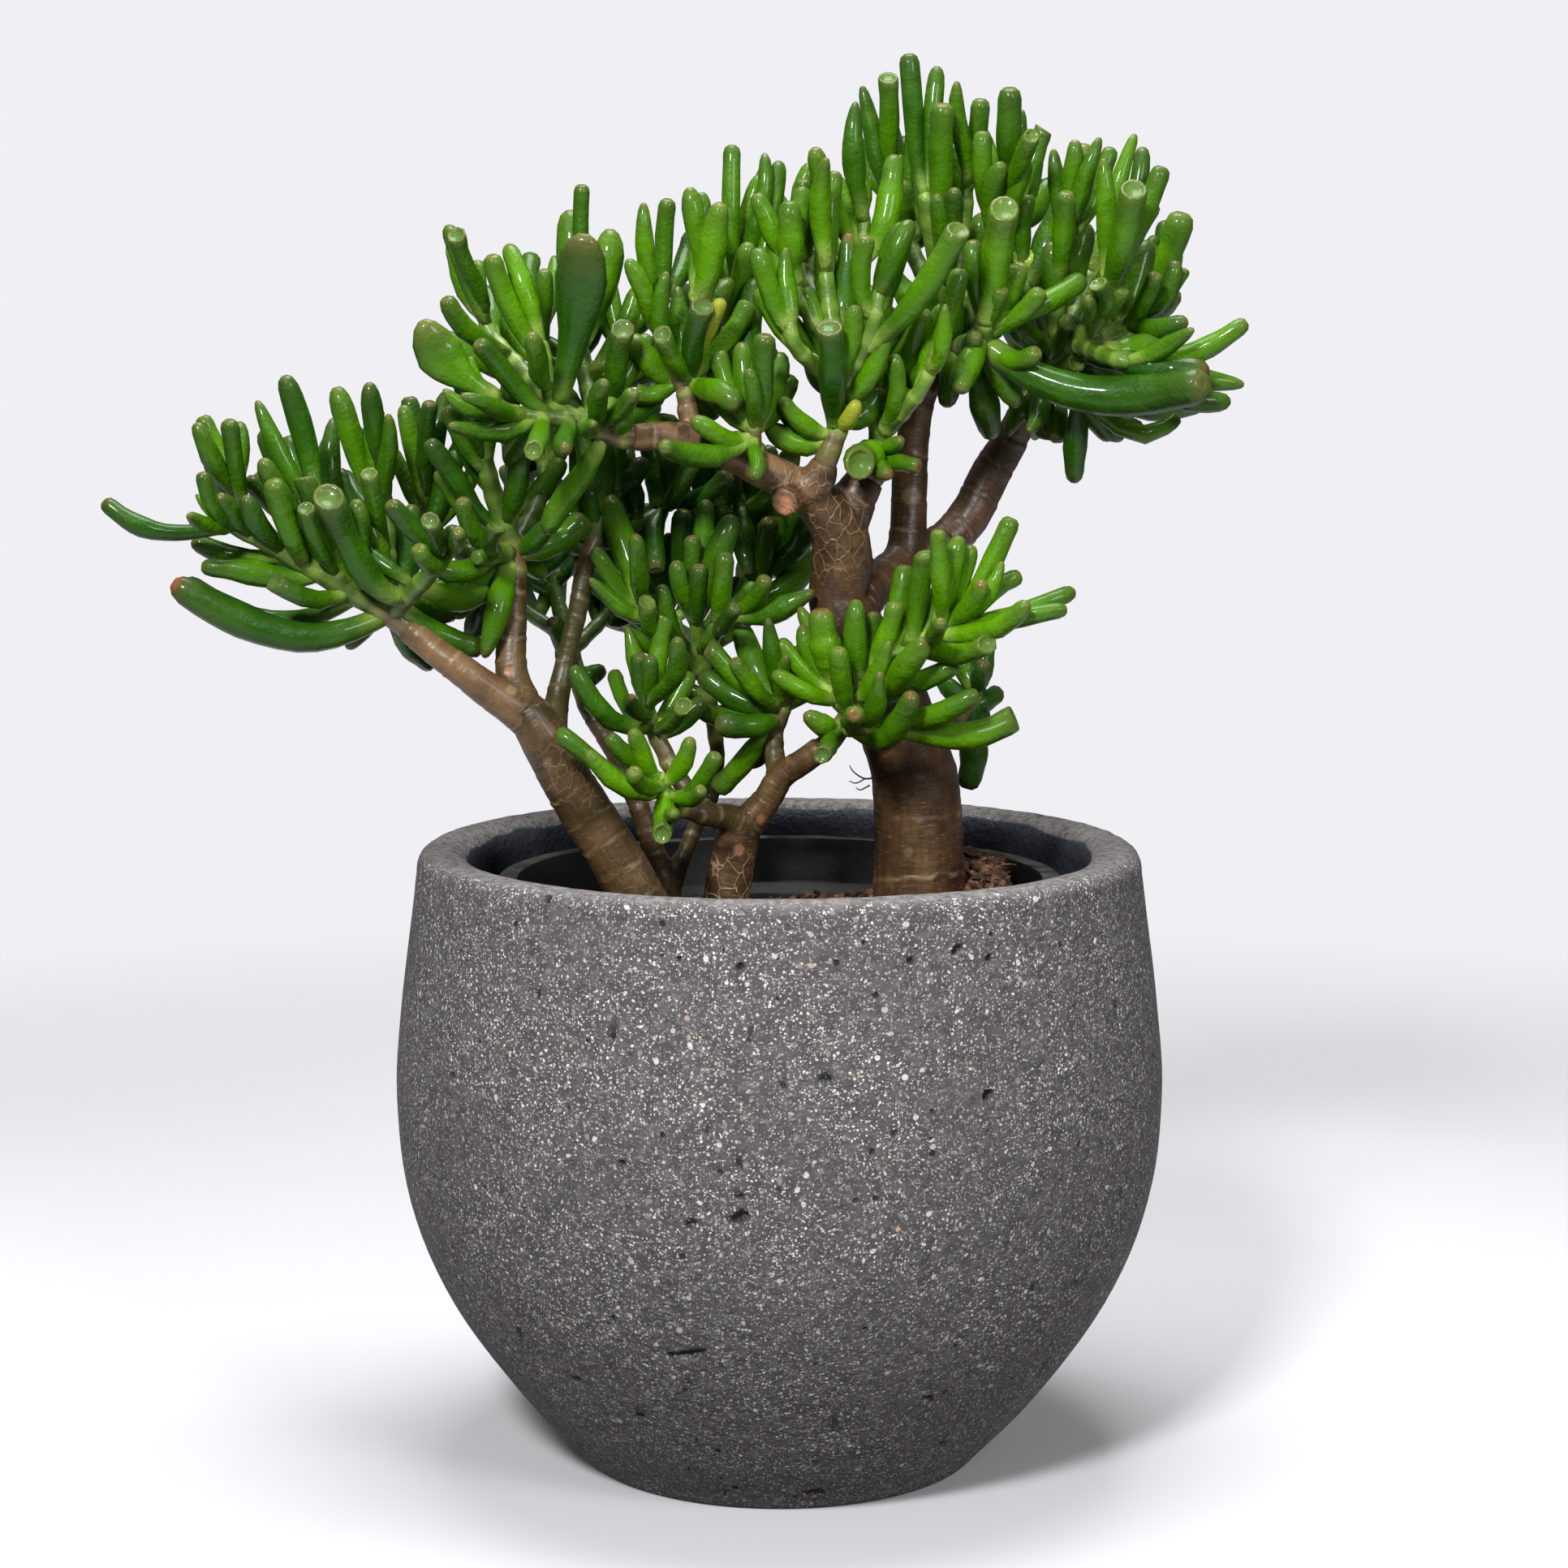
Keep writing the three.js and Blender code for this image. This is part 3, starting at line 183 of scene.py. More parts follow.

# Tones: partly the heads' own green, partly painted light and shade; the heads behind in shadow
# (foliage_shade, foliage_back_left, foliage_low_back) are painted darkest.
HEADS: tuple[HeadPlan, ...] = (
    HeadPlan("foliage_left", "trunk_left", "arm", tone=0.34, twigs=(
        ((-178, 382, -25, 5.5), (-192, 390, -28, 5.2), (-212, 402, -34, 4.6), (-228, 411, -38, 4.2),
         (-243, 418, -42, 3.5)),
        ((-192, 390, -28, 5), (-203, 420, -34, 3.8), (-204, 434, -35, 3.2)),
        ((-172, 378, -22, 5.2), (-173, 412, -3, 4), (-173, 432, 3, 3.3)),
        ((-176, 381, -24, 5), (-196, 408, 17, 4), (-202, 428, 31, 3.4)),
        ((-172, 378, -22, 5), (-152, 398, -45, 4), (-144, 408, -48, 3.3)),
        ((-172, 378, -22, 5), (-158, 410, 25, 4), (-152, 430, 36, 3.4)),
        ((-228, 411, -38, 4.2), (-235, 424, -31, 3.6), (-238, 438, -25, 3.2)),
    ), leaves=(
        (-296, 428, -240, 415, 8, -6, 5), (-254, 438, -238, 416, 7), (-255, 461, -240, 428, 8),
        (-247, 442, -212, 402, 9), (-225, 459, -202, 408, 9), (-215, 482, -204, 428, 10),
        (-227, 446, -203, 404, 9), (-198, 431, -160, 381, 13, -22, 16), (-197, 463, -190, 410, 10),
        (-194, 477, -175, 426, 10), (-179, 479, -173, 430, 9), (-171, 465, -170, 425, 8),
        (-165, 469, -158, 425, 8), (-154, 471, -152, 428, 8), (-180, 439, -173, 405, 8, -28),
        (-171, 427, -146, 404, 9, -12), (-140, 416, -146, 404, 8, -30), (-187, 413, -160, 390, 8, -14),
        (-267, 391, -170, 376, 14, -20, 13), (-254, 397, -194, 396, 10, -8, 3),
        (-190, 364, -176, 380, 7, 12),
    ), late_leaves=(
        (-260, 422, -242, 417, 7), (-241, 463, -233, 424, 8), (-228, 471, -216, 424, 8),
        (-208, 424, -192, 396, 8, -22), (-154, 419, -148, 402, 8, -30), (-262, 394, -184, 386, 10, -10, 15),
        (-155, 353, -174, 374, 10, 10), (-257, 410, -218, 402, 9, 8), (-208, 438, -196, 396, 10, -24),
        (-222, 436, -207, 400, 10, -22), (-233, 430, -220, 405, 9, -20), (-186, 428, -184, 388, 10, -26),
        (-246, 430, -232, 412, 8, -18), (-222, 392, -186, 389, 9, -22, 5), (-140, 366, -172, 380, 11, 22),
        (-133, 362, -168, 380, 11, 30), (-144, 380, -168, 382, 11, 30), (-129, 388, -162, 392, 11, 26),
        (-138, 396, -170, 384, 11, 26), (-159, 406, -126, 390, 10, -20, 8), (-165, 396, -186, 413, 9, -20),
        (-186, 412, -200, 400, 9, -26), (-210, 412, -176, 392, 10, -22), (-218, 430, -196, 398, 10, -20),
        (-180, 420, -172, 392, 10, -22), (-162, 426, -166, 390, 11, 10),
    )),
    HeadPlan("foliage_left_inner", "trunk_left", "inner_stub", tone=0.3, twigs=(
        ((-118, 408, -4, 5.6), (-122, 420, -7, 5), (-127, 436, -10, 4.4), (-130, 452, -11, 3.5)),
        ((-118, 404, -4, 5.4), (-105, 430, 20, 4), (-103, 446, 28, 3.4)),
        ((-118, 406, -4, 5), (-126, 404, -17, 4.4), (-134, 403, -28, 3.6)),
        ((-119, 408, -4, 5), (-117, 438, 36, 4), (-118, 455, 45, 3.4)),
    ), leaves=(
        (-155, 453, -124, 412, 9, -16), (-159, 405, -124, 402, 10, -14, 9), (-125, 416, -124, 404, 8, -32),
        (-146, 468, -129, 438, 8, -8), (-139, 480, -130, 446, 8), (-112, 448, -122, 418, 9, -22),
    ), late_leaves=(
        (-128, 474, -128, 444, 8, -14), (-85, 420, -112, 373, 12, 8), (-100, 420, -116, 404, 9, -22),
        (-140, 428, -122, 406, 9, -22), (-150, 440, -122, 412, 9, 6), (-132, 386, -119, 404, 10, 22),
        (-104, 396, -117, 404, 10, 20), (-96, 446, -116, 420, 10, 16), (-110, 466, -120, 430, 10, 12),
        (-136, 368, -119, 404, 12, 20), (-130, 360, -118, 402, 11, 28), (-144, 378, -119, 404, 11, 24),
        (-126, 372, -118, 402, 12, 14),
    )),
    HeadPlan("foliage_mid_left", "trunk_main", "mid_limb", tone=0.5, twigs=(
        ((-76, 458, -29, 4.8), (-88, 463, -31, 4.6), (-98, 470, -32, 4.4), (-102, 484, -34, 4),
         (-104, 498, -34, 3.3)),
        ((-88, 463, -31, 4.4), (-118, 467, -42, 3.6), (-128, 476, -45, 3.2)),
        ((-80, 460, -29, 4.4), (-87, 492, -11, 3.6), (-88, 508, -6, 3.2)),
        ((-98, 470, -32, 4.2), (-124, 498, -11, 3.4), (-130, 510, -7, 3)),
        ((-84, 461, -31, 4.4), (-100, 486, 17, 3.6), (-105, 504, 31, 3.2)),
        ((-78, 459, -29, 4.4), (-70, 484, 6, 3.6), (-68, 498, 17, 3.2)),
    ), leaves=(
        (-155, 506, -122, 474, 18, -12), (-145, 516, -125, 484, 9), (-140, 543, -127, 506, 8),
        (-126, 534, -104, 486, 9, -10), (-117, 539, -103, 494, 9, -8), (-87, 564, -88, 508, 7),
        (-90, 553, -92, 498, 13, 4), (-73, 545, -84, 496, 12, -4), (-70, 503, -76, 468, 10, -22),
        (-131, 498, -100, 466, 9, -18), (-146, 477, -118, 467, 8, -14), (-144, 461, -104, 461, 9, -22, 6),
        (-82, 462, -84, 463, 9, -40), (-107, 451, -102, 462, 9, -36), (-65, 476, -80, 460, 8, -28),
        (-104, 415, -76, 456, 10, 4),
    ), late_leaves=(
        (-85, 543, -96, 470, 21, -26), (-138, 474, -112, 464, 8, -30), (-102, 528, -102, 492, 8, -16),
        (-95, 450, -92, 463, 9, -36), (-66, 474, -72, 448, 10, -10), (-78, 480, -84, 460, 9, -30),
        (-52, 478, -84, 462, 12, 24), (-46, 464, -84, 462, 12, 34), (-56, 470, -80, 460, 11, 30),
        (-58, 500, -80, 464, 9, 14), (-110, 500, -100, 478, 9, -30), (-90, 500, -96, 478, 9, -30),
        (-84, 440, -90, 462, 9, 16), (-118, 444, -104, 462, 9, 14), (-62, 520, -80, 480, 9, 16),
    )),
    HeadPlan("foliage_mid", "trunk_main", "mid_twig", tone=0.5, twigs=(
        ((-42, 478, -20, 4.2), (-48, 490, -21, 3.8), (-55, 508, -22, 3.2)),
        ((-42, 478, -20, 4.2), (-36, 506, -25, 3.4), (-37, 520, -25, 3)),
        ((-42, 478, -20, 4.2), (-24, 502, 11, 3.5), (-16, 520, 20, 3.1)),
        ((-42, 478, -20, 4.2), (-52, 504, 14, 3.4), (-50, 520, 22, 3)),
    ), leaves=(
        (-60, 555, -54, 506, 8), (-66, 532, -53, 500, 8), (-49, 558, -50, 514, 8), (-37, 563, -37, 516, 9),
        (-26, 557, -37, 514, 11, -8), (-34, 512, -40, 480, 10, -22), (-21, 581, -17, 520, 8),
        (-4, 577, -18, 518, 8), (-14, 540, -24, 502, 9, -8),
    ), late_leaves=(
        (-27, 516, -34, 470, 6.6, -18), (-51, 526, -48, 490, 8, -16), (2, 574, -16, 516, 8, 6),
        (-65, 499, -38, 474, 11, 6, 4), (-62, 474, -42, 462, 8, 8), (-14, 512, -34, 474, 9, 2),
        (-50, 500, -40, 474, 9, -22), (-24, 480, -40, 474, 12, 22), (-30, 466, -41, 474, 12, 30),
        (-18, 470, -40, 472, 11, 34), (-14, 500, -34, 474, 10, 16), (-22, 524, -38, 484, 10, 14),
        (-44, 520, -42, 484, 10, 16),
    )),
    HeadPlan("foliage_knot", "trunk_main", "knot_twig", tone=0.55, twigs=(
        ((-11, 453, -28, 3.8), (-11, 462, -31, 3.2)),
    ), leaves=(
        (-5, 495, -10, 458, 8, -6), (-37, 465, -13, 457, 9, -14, 6), (-52, 453, -13, 456, 10, -17, 11),
        (-12, 484, -11, 458, 7, -18),
    ), late_leaves=(
        (-10, 438, -11, 457, 7, -16), (-9, 524, -11, 459, 11, 30), (-21, 482, -11, 456, 9, 16),
        (-16, 496, -11, 458, 10, 20), (0, 493, -10, 458, 10, 18), (-26, 490, -12, 460, 9, 22),
        (-6, 500, -11, 462, 10, 28), (6, 482, -10, 458, 10, 20), (-30, 476, -12, 458, 9, 14),
    )),
    HeadPlan("foliage_crown", "trunk_main", "crown_stub", tone=0.52, twigs=(
        ((23, 452, -15, 5.2), (26, 462, -15, 4.9), (27, 476, -15, 4.8), (25, 492, -13, 4.6),
         (22, 512, -8, 4.2), (20, 530, -6, 3.4)),
        ((27, 474, -15, 4.6), (40, 502, -27, 3.8), (44, 520, -28, 3.2)),
        ((25, 490, -13, 4.4), (8, 518, -6, 3.6), (6, 532, -4, 3.1)),
        ((25, 492, -13, 4.4), (35, 530, 17, 3.8), (37, 552, 22, 3.2)),
        ((24, 498, -11, 4.4), (10, 530, 28, 3.6), (8, 548, 34, 3.1)),
        ((27, 478, -15, 4.6), (8, 494, -36, 3.6), (4, 506, -39, 3.1)),
    ), leaves=(
        (19, 576, 20, 528, 9), (32, 599, 36, 548, 9), (4, 557, 8, 520, 11, -10), (-9, 537, 6, 500, 9, -6),
        (36, 542, 40, 504, 9, -8), (56, 549, 43, 516, 9, -4), (40, 521, 30, 482, 9, -20),
        (19, 546, 21, 508, 9, -14), (77, 545, 36, 492, 11, -24), (22, 503, 24, 460, 12, -24),
        (50, 577, 42, 530, 11, 6), (1, 472, 22, 450, 8, -8), (34, 471, 25, 458, 8, -10),
    ), late_leaves=(
        (24, 570, 24, 522, 9, 10), (12, 566, 8, 530, 8), (-4, 540, 8, 508, 8, 4),
        (-2, 473, 20, 446, 10, -13, 3), (-5, 460, 20, 446, 10, 3, 5), (0, 512, 26, 484, 10, 12),
        (14, 500, 26, 474, 12, 26), (44, 476, 27, 462, 11, 22), (12, 520, 26, 480, 10, 10),
        (-8, 520, 8, 494, 10, 12), (32, 512, 27, 476, 9, -18), (48, 500, 28, 470, 9, -12),
        (30, 543, 26, 497, 12, 12), (54, 548, 42, 509, 12, 8),
    )),
    HeadPlan("foliage_crown_low", "trunk_main", "crown_limb", tone=0.62, twigs=(
        ((43, 449, 4, 6), (44, 458, 0, 5.2), (42, 470, 3, 4.6), (42, 484, 6, 3.9), (46, 498, 8, 3.3)),
        ((44, 457, 1, 5), (60, 474, -18, 3.6), (67, 487, -21, 3.2)),
    ), leaves=(
        (64, 511, 44, 466, 10, -20), (56, 476, 44, 460, 9, -16), (53, 454, 44, 452, 7, -18),
        (61, 443, 44, 450, 8, -22), (34, 444, 43, 450, 14, -24), (47, 439, 43, 448, 9, -24),
        (79, 528, 64, 484, 9, 2), (60, 520, 46, 490, 9, 8), (48, 530, 44, 488, 8, 8),
    ), late_leaves=(
        (34, 445, 43, 451, 14, -26), (64, 506, 46, 470, 12, -16), (30, 480, 43, 462, 10, 10),
        (66, 496, 46, 462, 9, -6), (58, 502, 44, 464, 10, 6), (42, 508, 44, 470, 10, -8),
        (72, 512, 60, 474, 9, 6), (52, 490, 44, 458, 8, -22), (36, 488, 44, 462, 9, 6),
    )),
    HeadPlan("foliage_crown_right", "trunk_main", "back_limb", tone=0.46, twigs=(
        ((75, 494, 42, 6), (74, 508, 39, 5.4), (70, 526, 34, 5), (66, 546, 28, 4.4), (63, 562, 25, 3.6)),
        ((75, 496, 42, 5.6), (84, 512, 36, 5), (92, 532, 28, 4.4), (97, 552, 22, 3.8), (99, 566, 20, 3.2)),
        ((75, 494, 42, 5.6), (87, 498, 6, 4.4), (90, 506, -6, 3.8)),
        ((74, 508, 39, 5), (80, 548, 42, 4.2), (81, 566, 42, 3.4)),
        ((74, 506, 39, 5), (56, 540, 62, 4), (52, 560, 64, 3.4)),
        ((84, 512, 36, 5), (101, 545, 64, 4), (104, 560, 70, 3.3)),
    ), leaves=(
        (36, 606, 53, 560, 8), (47, 610, 54, 556, 9, -10), (56, 620, 62, 562, 9), (69, 614, 64, 562, 8, 8),
        (76, 608, 79, 562, 8), (72, 599, 66, 550, 11, -14), (87, 601, 81, 558, 9, -6),
        (100, 606, 98, 564, 11), (107, 595, 98, 560, 8, 6), (114, 588, 103, 555, 8, 6),
        (81, 589, 80, 548, 9, -20), (62, 584, 66, 546, 10, -16), (95, 574, 94, 538, 9, -22),
        (106, 576, 97, 548, 9, -16), (76, 563, 72, 520, 9, -26), (98, 554, 89, 503, 13, -22),
        (114, 520, 88, 500, 9, -14), (132, 525, 90, 505, 10, -14), (88, 500, 82, 494, 10, -34),
        (113, 492, 88, 495, 9, -18, 6), (84, 540, 88, 504, 9, -12),
    ), late_leaves=(
        (107, 586, 98, 558, 8, -28), (69, 560, 68, 528, 7, -22), (88, 587, 94, 542, 9, -14),
        (187, 481, 89, 496, 17.5, -38, 25), (79, 476, 90, 500, 11, -20), (104, 470, 88, 497, 11, 8),
        (72, 470, 80, 494, 11, 12), (74, 493, 80, 528, 12, -6), (104, 548, 92, 512, 13, 10),
        (52, 566, 56, 542, 12, -6), (118, 566, 104, 548, 12, 20), (112, 576, 101, 550, 10, 20),
        (64, 572, 66, 540, 12, 14), (90, 501, 80, 482, 12, -12), (93, 456, 84, 494, 12, 16),
        (98, 520, 86, 498, 9, -24), (76, 520, 76, 494, 9, -20), (62, 530, 74, 500, 9, -12),
        (88, 552, 84, 512, 11, 4), (96, 540, 88, 506, 11, 6), (104, 530, 88, 504, 11, 4),
        (70, 520, 76, 496, 10, 8), (60, 512, 74, 500, 10, 10), (82, 530, 80, 506, 10, 10),
        (100, 512, 84, 498, 10, 6), (47, 530, 71, 502, 12, 8),
    )),
    HeadPlan("foliage_right", "trunk_main", "right_limb", tone=0.46, twigs=(
        ((112, 478, 53, 6), (120, 488, 42, 5.4), (129, 497, 28, 5), (137, 505, 14, 4.6), (142, 515, 6, 3.8),
         (143, 526, 3, 3.2)),
        ((126, 494, 32, 5), (154, 506, 28, 4), (163, 516, 28, 3.3)),
        ((120, 488, 42, 5), (121, 504, 34, 4.6), (122, 522, 25, 4.2), (124, 540, 20, 3.8),
         (126, 552, 17, 3.2)),
        ((129, 497, 28, 4.8), (146, 490, -6, 3.8), (154, 488, -11, 3.2)),
        ((112, 478, 53, 5.4), (128, 508, 84, 4.2), (136, 528, 92, 3.4)),
        ((120, 488, 42, 5), (150, 500, 76, 4), (162, 514, 84, 3.3)),
        ((120, 496, 39, 4.8), (108, 520, 35, 3.9), (105, 532, 36, 3.4)),
        ((116, 483, 48, 5), (130, 474, 11, 3.6), (134, 472, 0, 3.2)),
    ), leaves=(
        (134, 581, 106, 528, 12.4, -8), (125, 562, 120, 522, 10, -14), (119, 579, 125, 540, 8, 6),
        (138, 584, 126, 544, 8), (144, 580, 126, 540, 8, 8), (142, 575, 143, 524, 9, -8),
        (153, 586, 138, 528, 8, 4), (159, 580, 143, 526, 8, 10), (166, 572, 143, 524, 9, -6),
        (154, 564, 142, 516, 12, -20), (174, 553, 160, 512, 13, -6), (173, 531, 154, 506, 9, -12),
        (164, 526, 150, 504, 8, -24), (173, 518, 156, 507, 8, -26), (141, 523, 140, 508, 9, -36),
        (177, 506, 150, 504, 9, -20), (203, 507, 158, 490, 9, -6), (180, 502, 150, 489, 8, -16),
        (157, 494, 128, 493, 13, -16), (187, 483, 146, 490, 15, -22), (201, 480, 154, 488, 10, 4),
        (110, 458, 118, 480, 10, -26), (174, 464, 133, 473, 8, 8, 14), (131, 436, 124, 466, 10, 12),
    ), late_leaves=(
        (129, 583, 126, 546, 8), (135, 516, 138, 506, 8, -36), (158, 462, 126, 478, 9, 20, 4),
        (186, 472, 122, 482, 12, 20, 8), (98, 512, 118, 494, 11, -30), (197, 472, 150, 472, 10, 4, 8),
        (126, 560, 105, 520, 15, -22), (96, 512, 114, 484, 10, -4), (120, 459, 100, 482, 12, -16, 10),
        (148, 534, 132, 500, 13, 4), (134, 548, 124, 512, 13, 8), (160, 540, 146, 508, 12, 10),
        (118, 540, 120, 506, 13, 14), (168, 500, 140, 494, 13, 10), (150, 482, 128, 490, 13, 12),
        (122, 500, 118, 484, 13, 18), (104, 528, 116, 488, 10, 8), (112, 524, 118, 492, 10, -12),
        (130, 490, 116, 482, 9, -20), (123, 459, 108, 484, 11, -22, 6), (150, 456, 118, 474, 9, 16, 6),
        (99, 458, 112, 478, 11, 4), (112, 456, 114, 480, 11, 14), (122, 454, 118, 478, 10, 10),
        (144, 454, 130, 474, 9, 10), (164, 470, 134, 474, 9, 16), (140, 500, 124, 486, 9, -24),
        (126, 506, 118, 484, 9, -22), (112, 506, 116, 482, 10, -8), (150, 520, 134, 500, 9, -22),
        (120, 466, 116, 482, 9, -14),
    )),
    HeadPlan("foliage_low_front", "trunk_centre", "left_arm", tone=0.66, twigs=(
        ((-46, 294, -36, 4.4), (-51, 299, -41, 4), (-54, 307, -45, 3.2)),
    ), leaves=(
        (-85, 317, -52, 300, 8, -14, 5), (-76, 323, -53, 303, 8, -6), (-98, 326, -52, 300, 8, -20),
        (-65, 326, -54, 305, 8, -14), (-40, 323, -52, 302, 8, -10), (-28, 316, -50, 298, 8, -14, 8),
        (-36, 301, -50, 298, 7, -26), (-52, 282, -51, 299, 9, -26), (-66, 306, -53, 302, 8, -34),
    ), late_leaves=(
        (-47, 289, -50, 298, 7, -34),
    )),
    HeadPlan("foliage_low_left", "trunk_centre", "low_twig", tone=0.42, twigs=(
        ((-51, 317, -13, 4.2), (-56, 327, -11, 3.8), (-59, 340, -10, 3.2)),
    ), leaves=(
        (-90, 356, -57, 328, 9, -6, 6), (-66, 342, -58, 332, 8, -34), (-57, 358, -58, 336, 8, -14),
        (-68, 371, -59, 338, 8, 6), (-45, 367, -58, 336, 8), (-43, 337, -55, 326, 8, -30),
    ), late_leaves=(
        (-40, 352, -56, 328, 9, 10), (-50, 376, -58, 336, 9, 14), (-34, 340, -54, 322, 9, 8),
        (-62, 360, -58, 334, 9, -10),
    )),
    HeadPlan("foliage_low_middle", "trunk_slim", "fork", tone=0.38, twigs=(
        ((-29, 328, 31, 3.7), (-32, 346, 25, 3.8), (-35, 362, 20, 3.8), (-37, 376, 14, 3.4),
         (-38, 388, 11, 3)),
        ((-33, 350, 24, 3.8), (-56, 372, 6, 3.3), (-62, 384, 3, 3)),
        ((-35, 362, 20, 3.8), (-28, 372, 6, 3.4), (-20, 380, -3, 3)),
        ((-33, 352, 24, 3.8), (-28, 364, 39, 3.4), (-22, 380, 50, 3), (-12, 390, 56, 3), (-2, 398, 60, 3)),
        ((-34, 356, 22, 3.8), (-44, 370, 39, 3.4), (-52, 386, 48, 3)),
    ), leaves=(
        (-81, 407, -60, 380, 8, 4), (-83, 393, -58, 374, 8, -8), (-62, 411, -61, 382, 8),
        (-59, 382, -50, 364, 8, -26), (-49, 413, -50, 382, 8, 10), (-38, 412, -38, 384, 8, -6),
        (-28, 414, -37, 382, 8, 6), (-21, 421, -34, 376, 11, -8), (-9, 401, -24, 378, 8, 4),
        (-6, 394, -22, 378, 8, -14), (-11, 391, -28, 372, 8, -26), (-21, 382, -30, 370, 8, -34),
    ), late_leaves=(
        (-52, 390, -44, 360, 8, -28), (-28, 372, -34, 362, 8, -38), (6, 436, -2, 398, 11, 12),
        (14, 424, -2, 398, 11), (-8, 440, -8, 394, 11, 10), (18, 406, -6, 372, 12, 8),
        (14, 388, -8, 372, 11, 12), (-18, 436, -14, 390, 11, 12), (0, 430, -6, 396, 11, -4),
        (8, 384, -12, 376, 11, 4), (-4, 420, -12, 388, 10, -8), (-74, 431, -62, 386, 12, 14),
        (-60, 426, -56, 384, 10, 16), (-44, 424, -46, 384, 10, 16), (-32, 428, -36, 384, 10, 14),
        (-6, 394, -22, 362, 8, -10), (-50, 352, -34, 344, 9, 8), (-16, 352, -31, 344, 9, 8),
        (-68, 372, -44, 362, 9, -10), (-72, 396, -50, 372, 9, 12), (-36, 398, -37, 372, 9, -18),
        (-46, 400, -40, 372, 9, -16), (-24, 404, -32, 374, 9, -16),
    )),
    HeadPlan("foliage_low_small", "trunk_centre", "small_twig", tone=0.4, twigs=(
        ((0, 331, -7, 4), (3, 340, -8, 3.4)),
    ), leaves=(
        (-30, 364, 1, 336, 9, 4), (-20, 358, 2, 338, 8, -16), (-22, 350, 0, 334, 8, -24),
        (-5, 375, 3, 340, 8), (11, 364, 3, 339, 9, 8),
    ), late_leaves=(
        (-27, 330, 0, 332, 11, -16), (-28, 300, 0, 330, 10, 10, 3), (-18, 374, 1, 336, 11, 14),
        (-34, 352, 0, 335, 11, 16), (-36, 336, 0, 333, 10, 12), (17, 354, 2, 338, 10, 10),
        (-12, 348, 2, 336, 9, 16), (-14, 312, 0, 331, 10, 14), (2, 360, 2, 338, 9, -16),
    )),
    HeadPlan("foliage_low_right", "trunk_centre", "right_arm", tone=0.66, twigs=(
        ((26, 326, -25, 4.9), (32, 336, -28, 4.5), (38, 348, -31, 4), (46, 356, -34, 3.8),
         (56, 362, -36, 3.6), (66, 368, -38, 3.5), (75, 376, -38, 3.2)),
        ((27, 328, -25, 4.6), (38, 328, -36, 4), (48, 330, -42, 3.4)),
        ((31, 334, -28, 4.4), (24, 344, -20, 3.9), (21, 356, -14, 3.3)),
    ), leaves=(
        (18, 380, 23, 346, 13, -10), (34, 384, 36, 344, 9, -6), (51, 383, 40, 350, 9, -8),
        (56, 399, 42, 353, 10, -6), (66, 366, 36, 343, 11, -28), (91, 366, 58, 362, 9, -22),
        (56, 346, 36, 340, 9, -28), (34, 335, 30, 333, 9, -36), (61, 341, 30, 326, 11, -30, 7),
        (87, 343, 46, 330, 9, -14), (103, 333, 46, 329, 12, -22, 3), (20, 316, 28, 328, 8, -26),
        (70, 414, 72, 374, 8), (79, 412, 70, 372, 10, -14), (102, 420, 75, 376, 9),
        (98, 400, 74, 375, 8, -12), (104, 397, 75, 375, 8, -22), (129, 389, 75, 376, 8, -6),
        (125, 383, 74, 374, 8, -18, 4), (109, 383, 68, 368, 9, -26),
    ), late_leaves=(
        (74, 375, 66, 368, 8, -36), (84, 408, 75, 376, 8, 2), (9, 372, 24, 344, 9, 4),
        (42, 378, 36, 346, 9, 6), (62, 388, 46, 356, 9, 4), (76, 398, 62, 366, 9, 6),
        (64, 404, 56, 362, 9, 8), (90, 392, 72, 374, 9, -14), (48, 366, 34, 340, 9, -18),
        (26, 362, 28, 334, 9, -22), (-2, 352, 24, 336, 8, -8), (0, 366, 24, 340, 8, 2),
        (78, 356, 46, 342, 9, -14), (12, 334, 27, 330, 10, -10), (44, 352, 38, 330, 9, -20),
    )),
    HeadPlan("foliage_low_back", "trunk_main", "rear_shoot", tone=0.12, twigs=(
        ((83, 337, 56, 4.2), (88, 347, 59, 3.6)),
    ), leaves=(
        (92, 366, 88, 346, 9, 4), (83, 301, 90, 342, 12, -6), (91, 357, 87, 345, 9, 12),
    ), late_leaves=(
        (88, 351, 84, 340, 9, 14), (97, 344, 86, 330, 10, 12), (90, 320, 86, 342, 12, 14),
        (78, 370, 84, 344, 10, 14), (68, 352, 84, 340, 10, 14),
    )),
    HeadPlan("foliage_shade", "trunk_left", "dark_twig", tone=0.06, twigs=(
        ((-83, 408, 14, 4.1), (-78, 420, 20, 3.7), (-72, 432, 28, 3.2)),
        ((-84, 405, 13, 4.1), (-93, 410, 22, 3.6), (-98, 418, 31, 3.2)),
        ((-82, 410, 15, 3.9), (-58, 420, 42, 3.3), (-46, 428, 50, 3), (-28, 427, 56, 3),
         (-10, 424, 60, 2.8)),
    ), leaves=(
        (-60, 446, -72, 428, 9, 10), (-38, 446, -50, 426, 9), (-22, 440, -48, 427, 9),
    ), late_leaves=(
        (-5, 452, -14, 425, 11, 6), (5, 446, -10, 424, 11), (-2, 400, -12, 424, 11, 4),
        (-76, 458, -76, 418, 12, 12), (-18, 458, -20, 426, 10, 6), (-30, 398, -24, 426, 11, 4),
        (-34, 456, -34, 427, 10, 4), (-14, 396, -16, 425, 11, -4), (-45, 402, -40, 427, 10, 2),
        (-50, 456, -48, 427, 10, 6), (-68, 448, -66, 424, 10, 4), (-56, 398, -50, 426, 10),
        (-74, 398, -70, 418, 11, 4), (-20, 442, -20, 426, 9, -16), (-96, 432, -84, 410, 10, 8),
        (-90, 396, -84, 406, 10, 10), (-104, 412, -88, 408, 9, 4), (-108, 396, -90, 408, 10, 8),
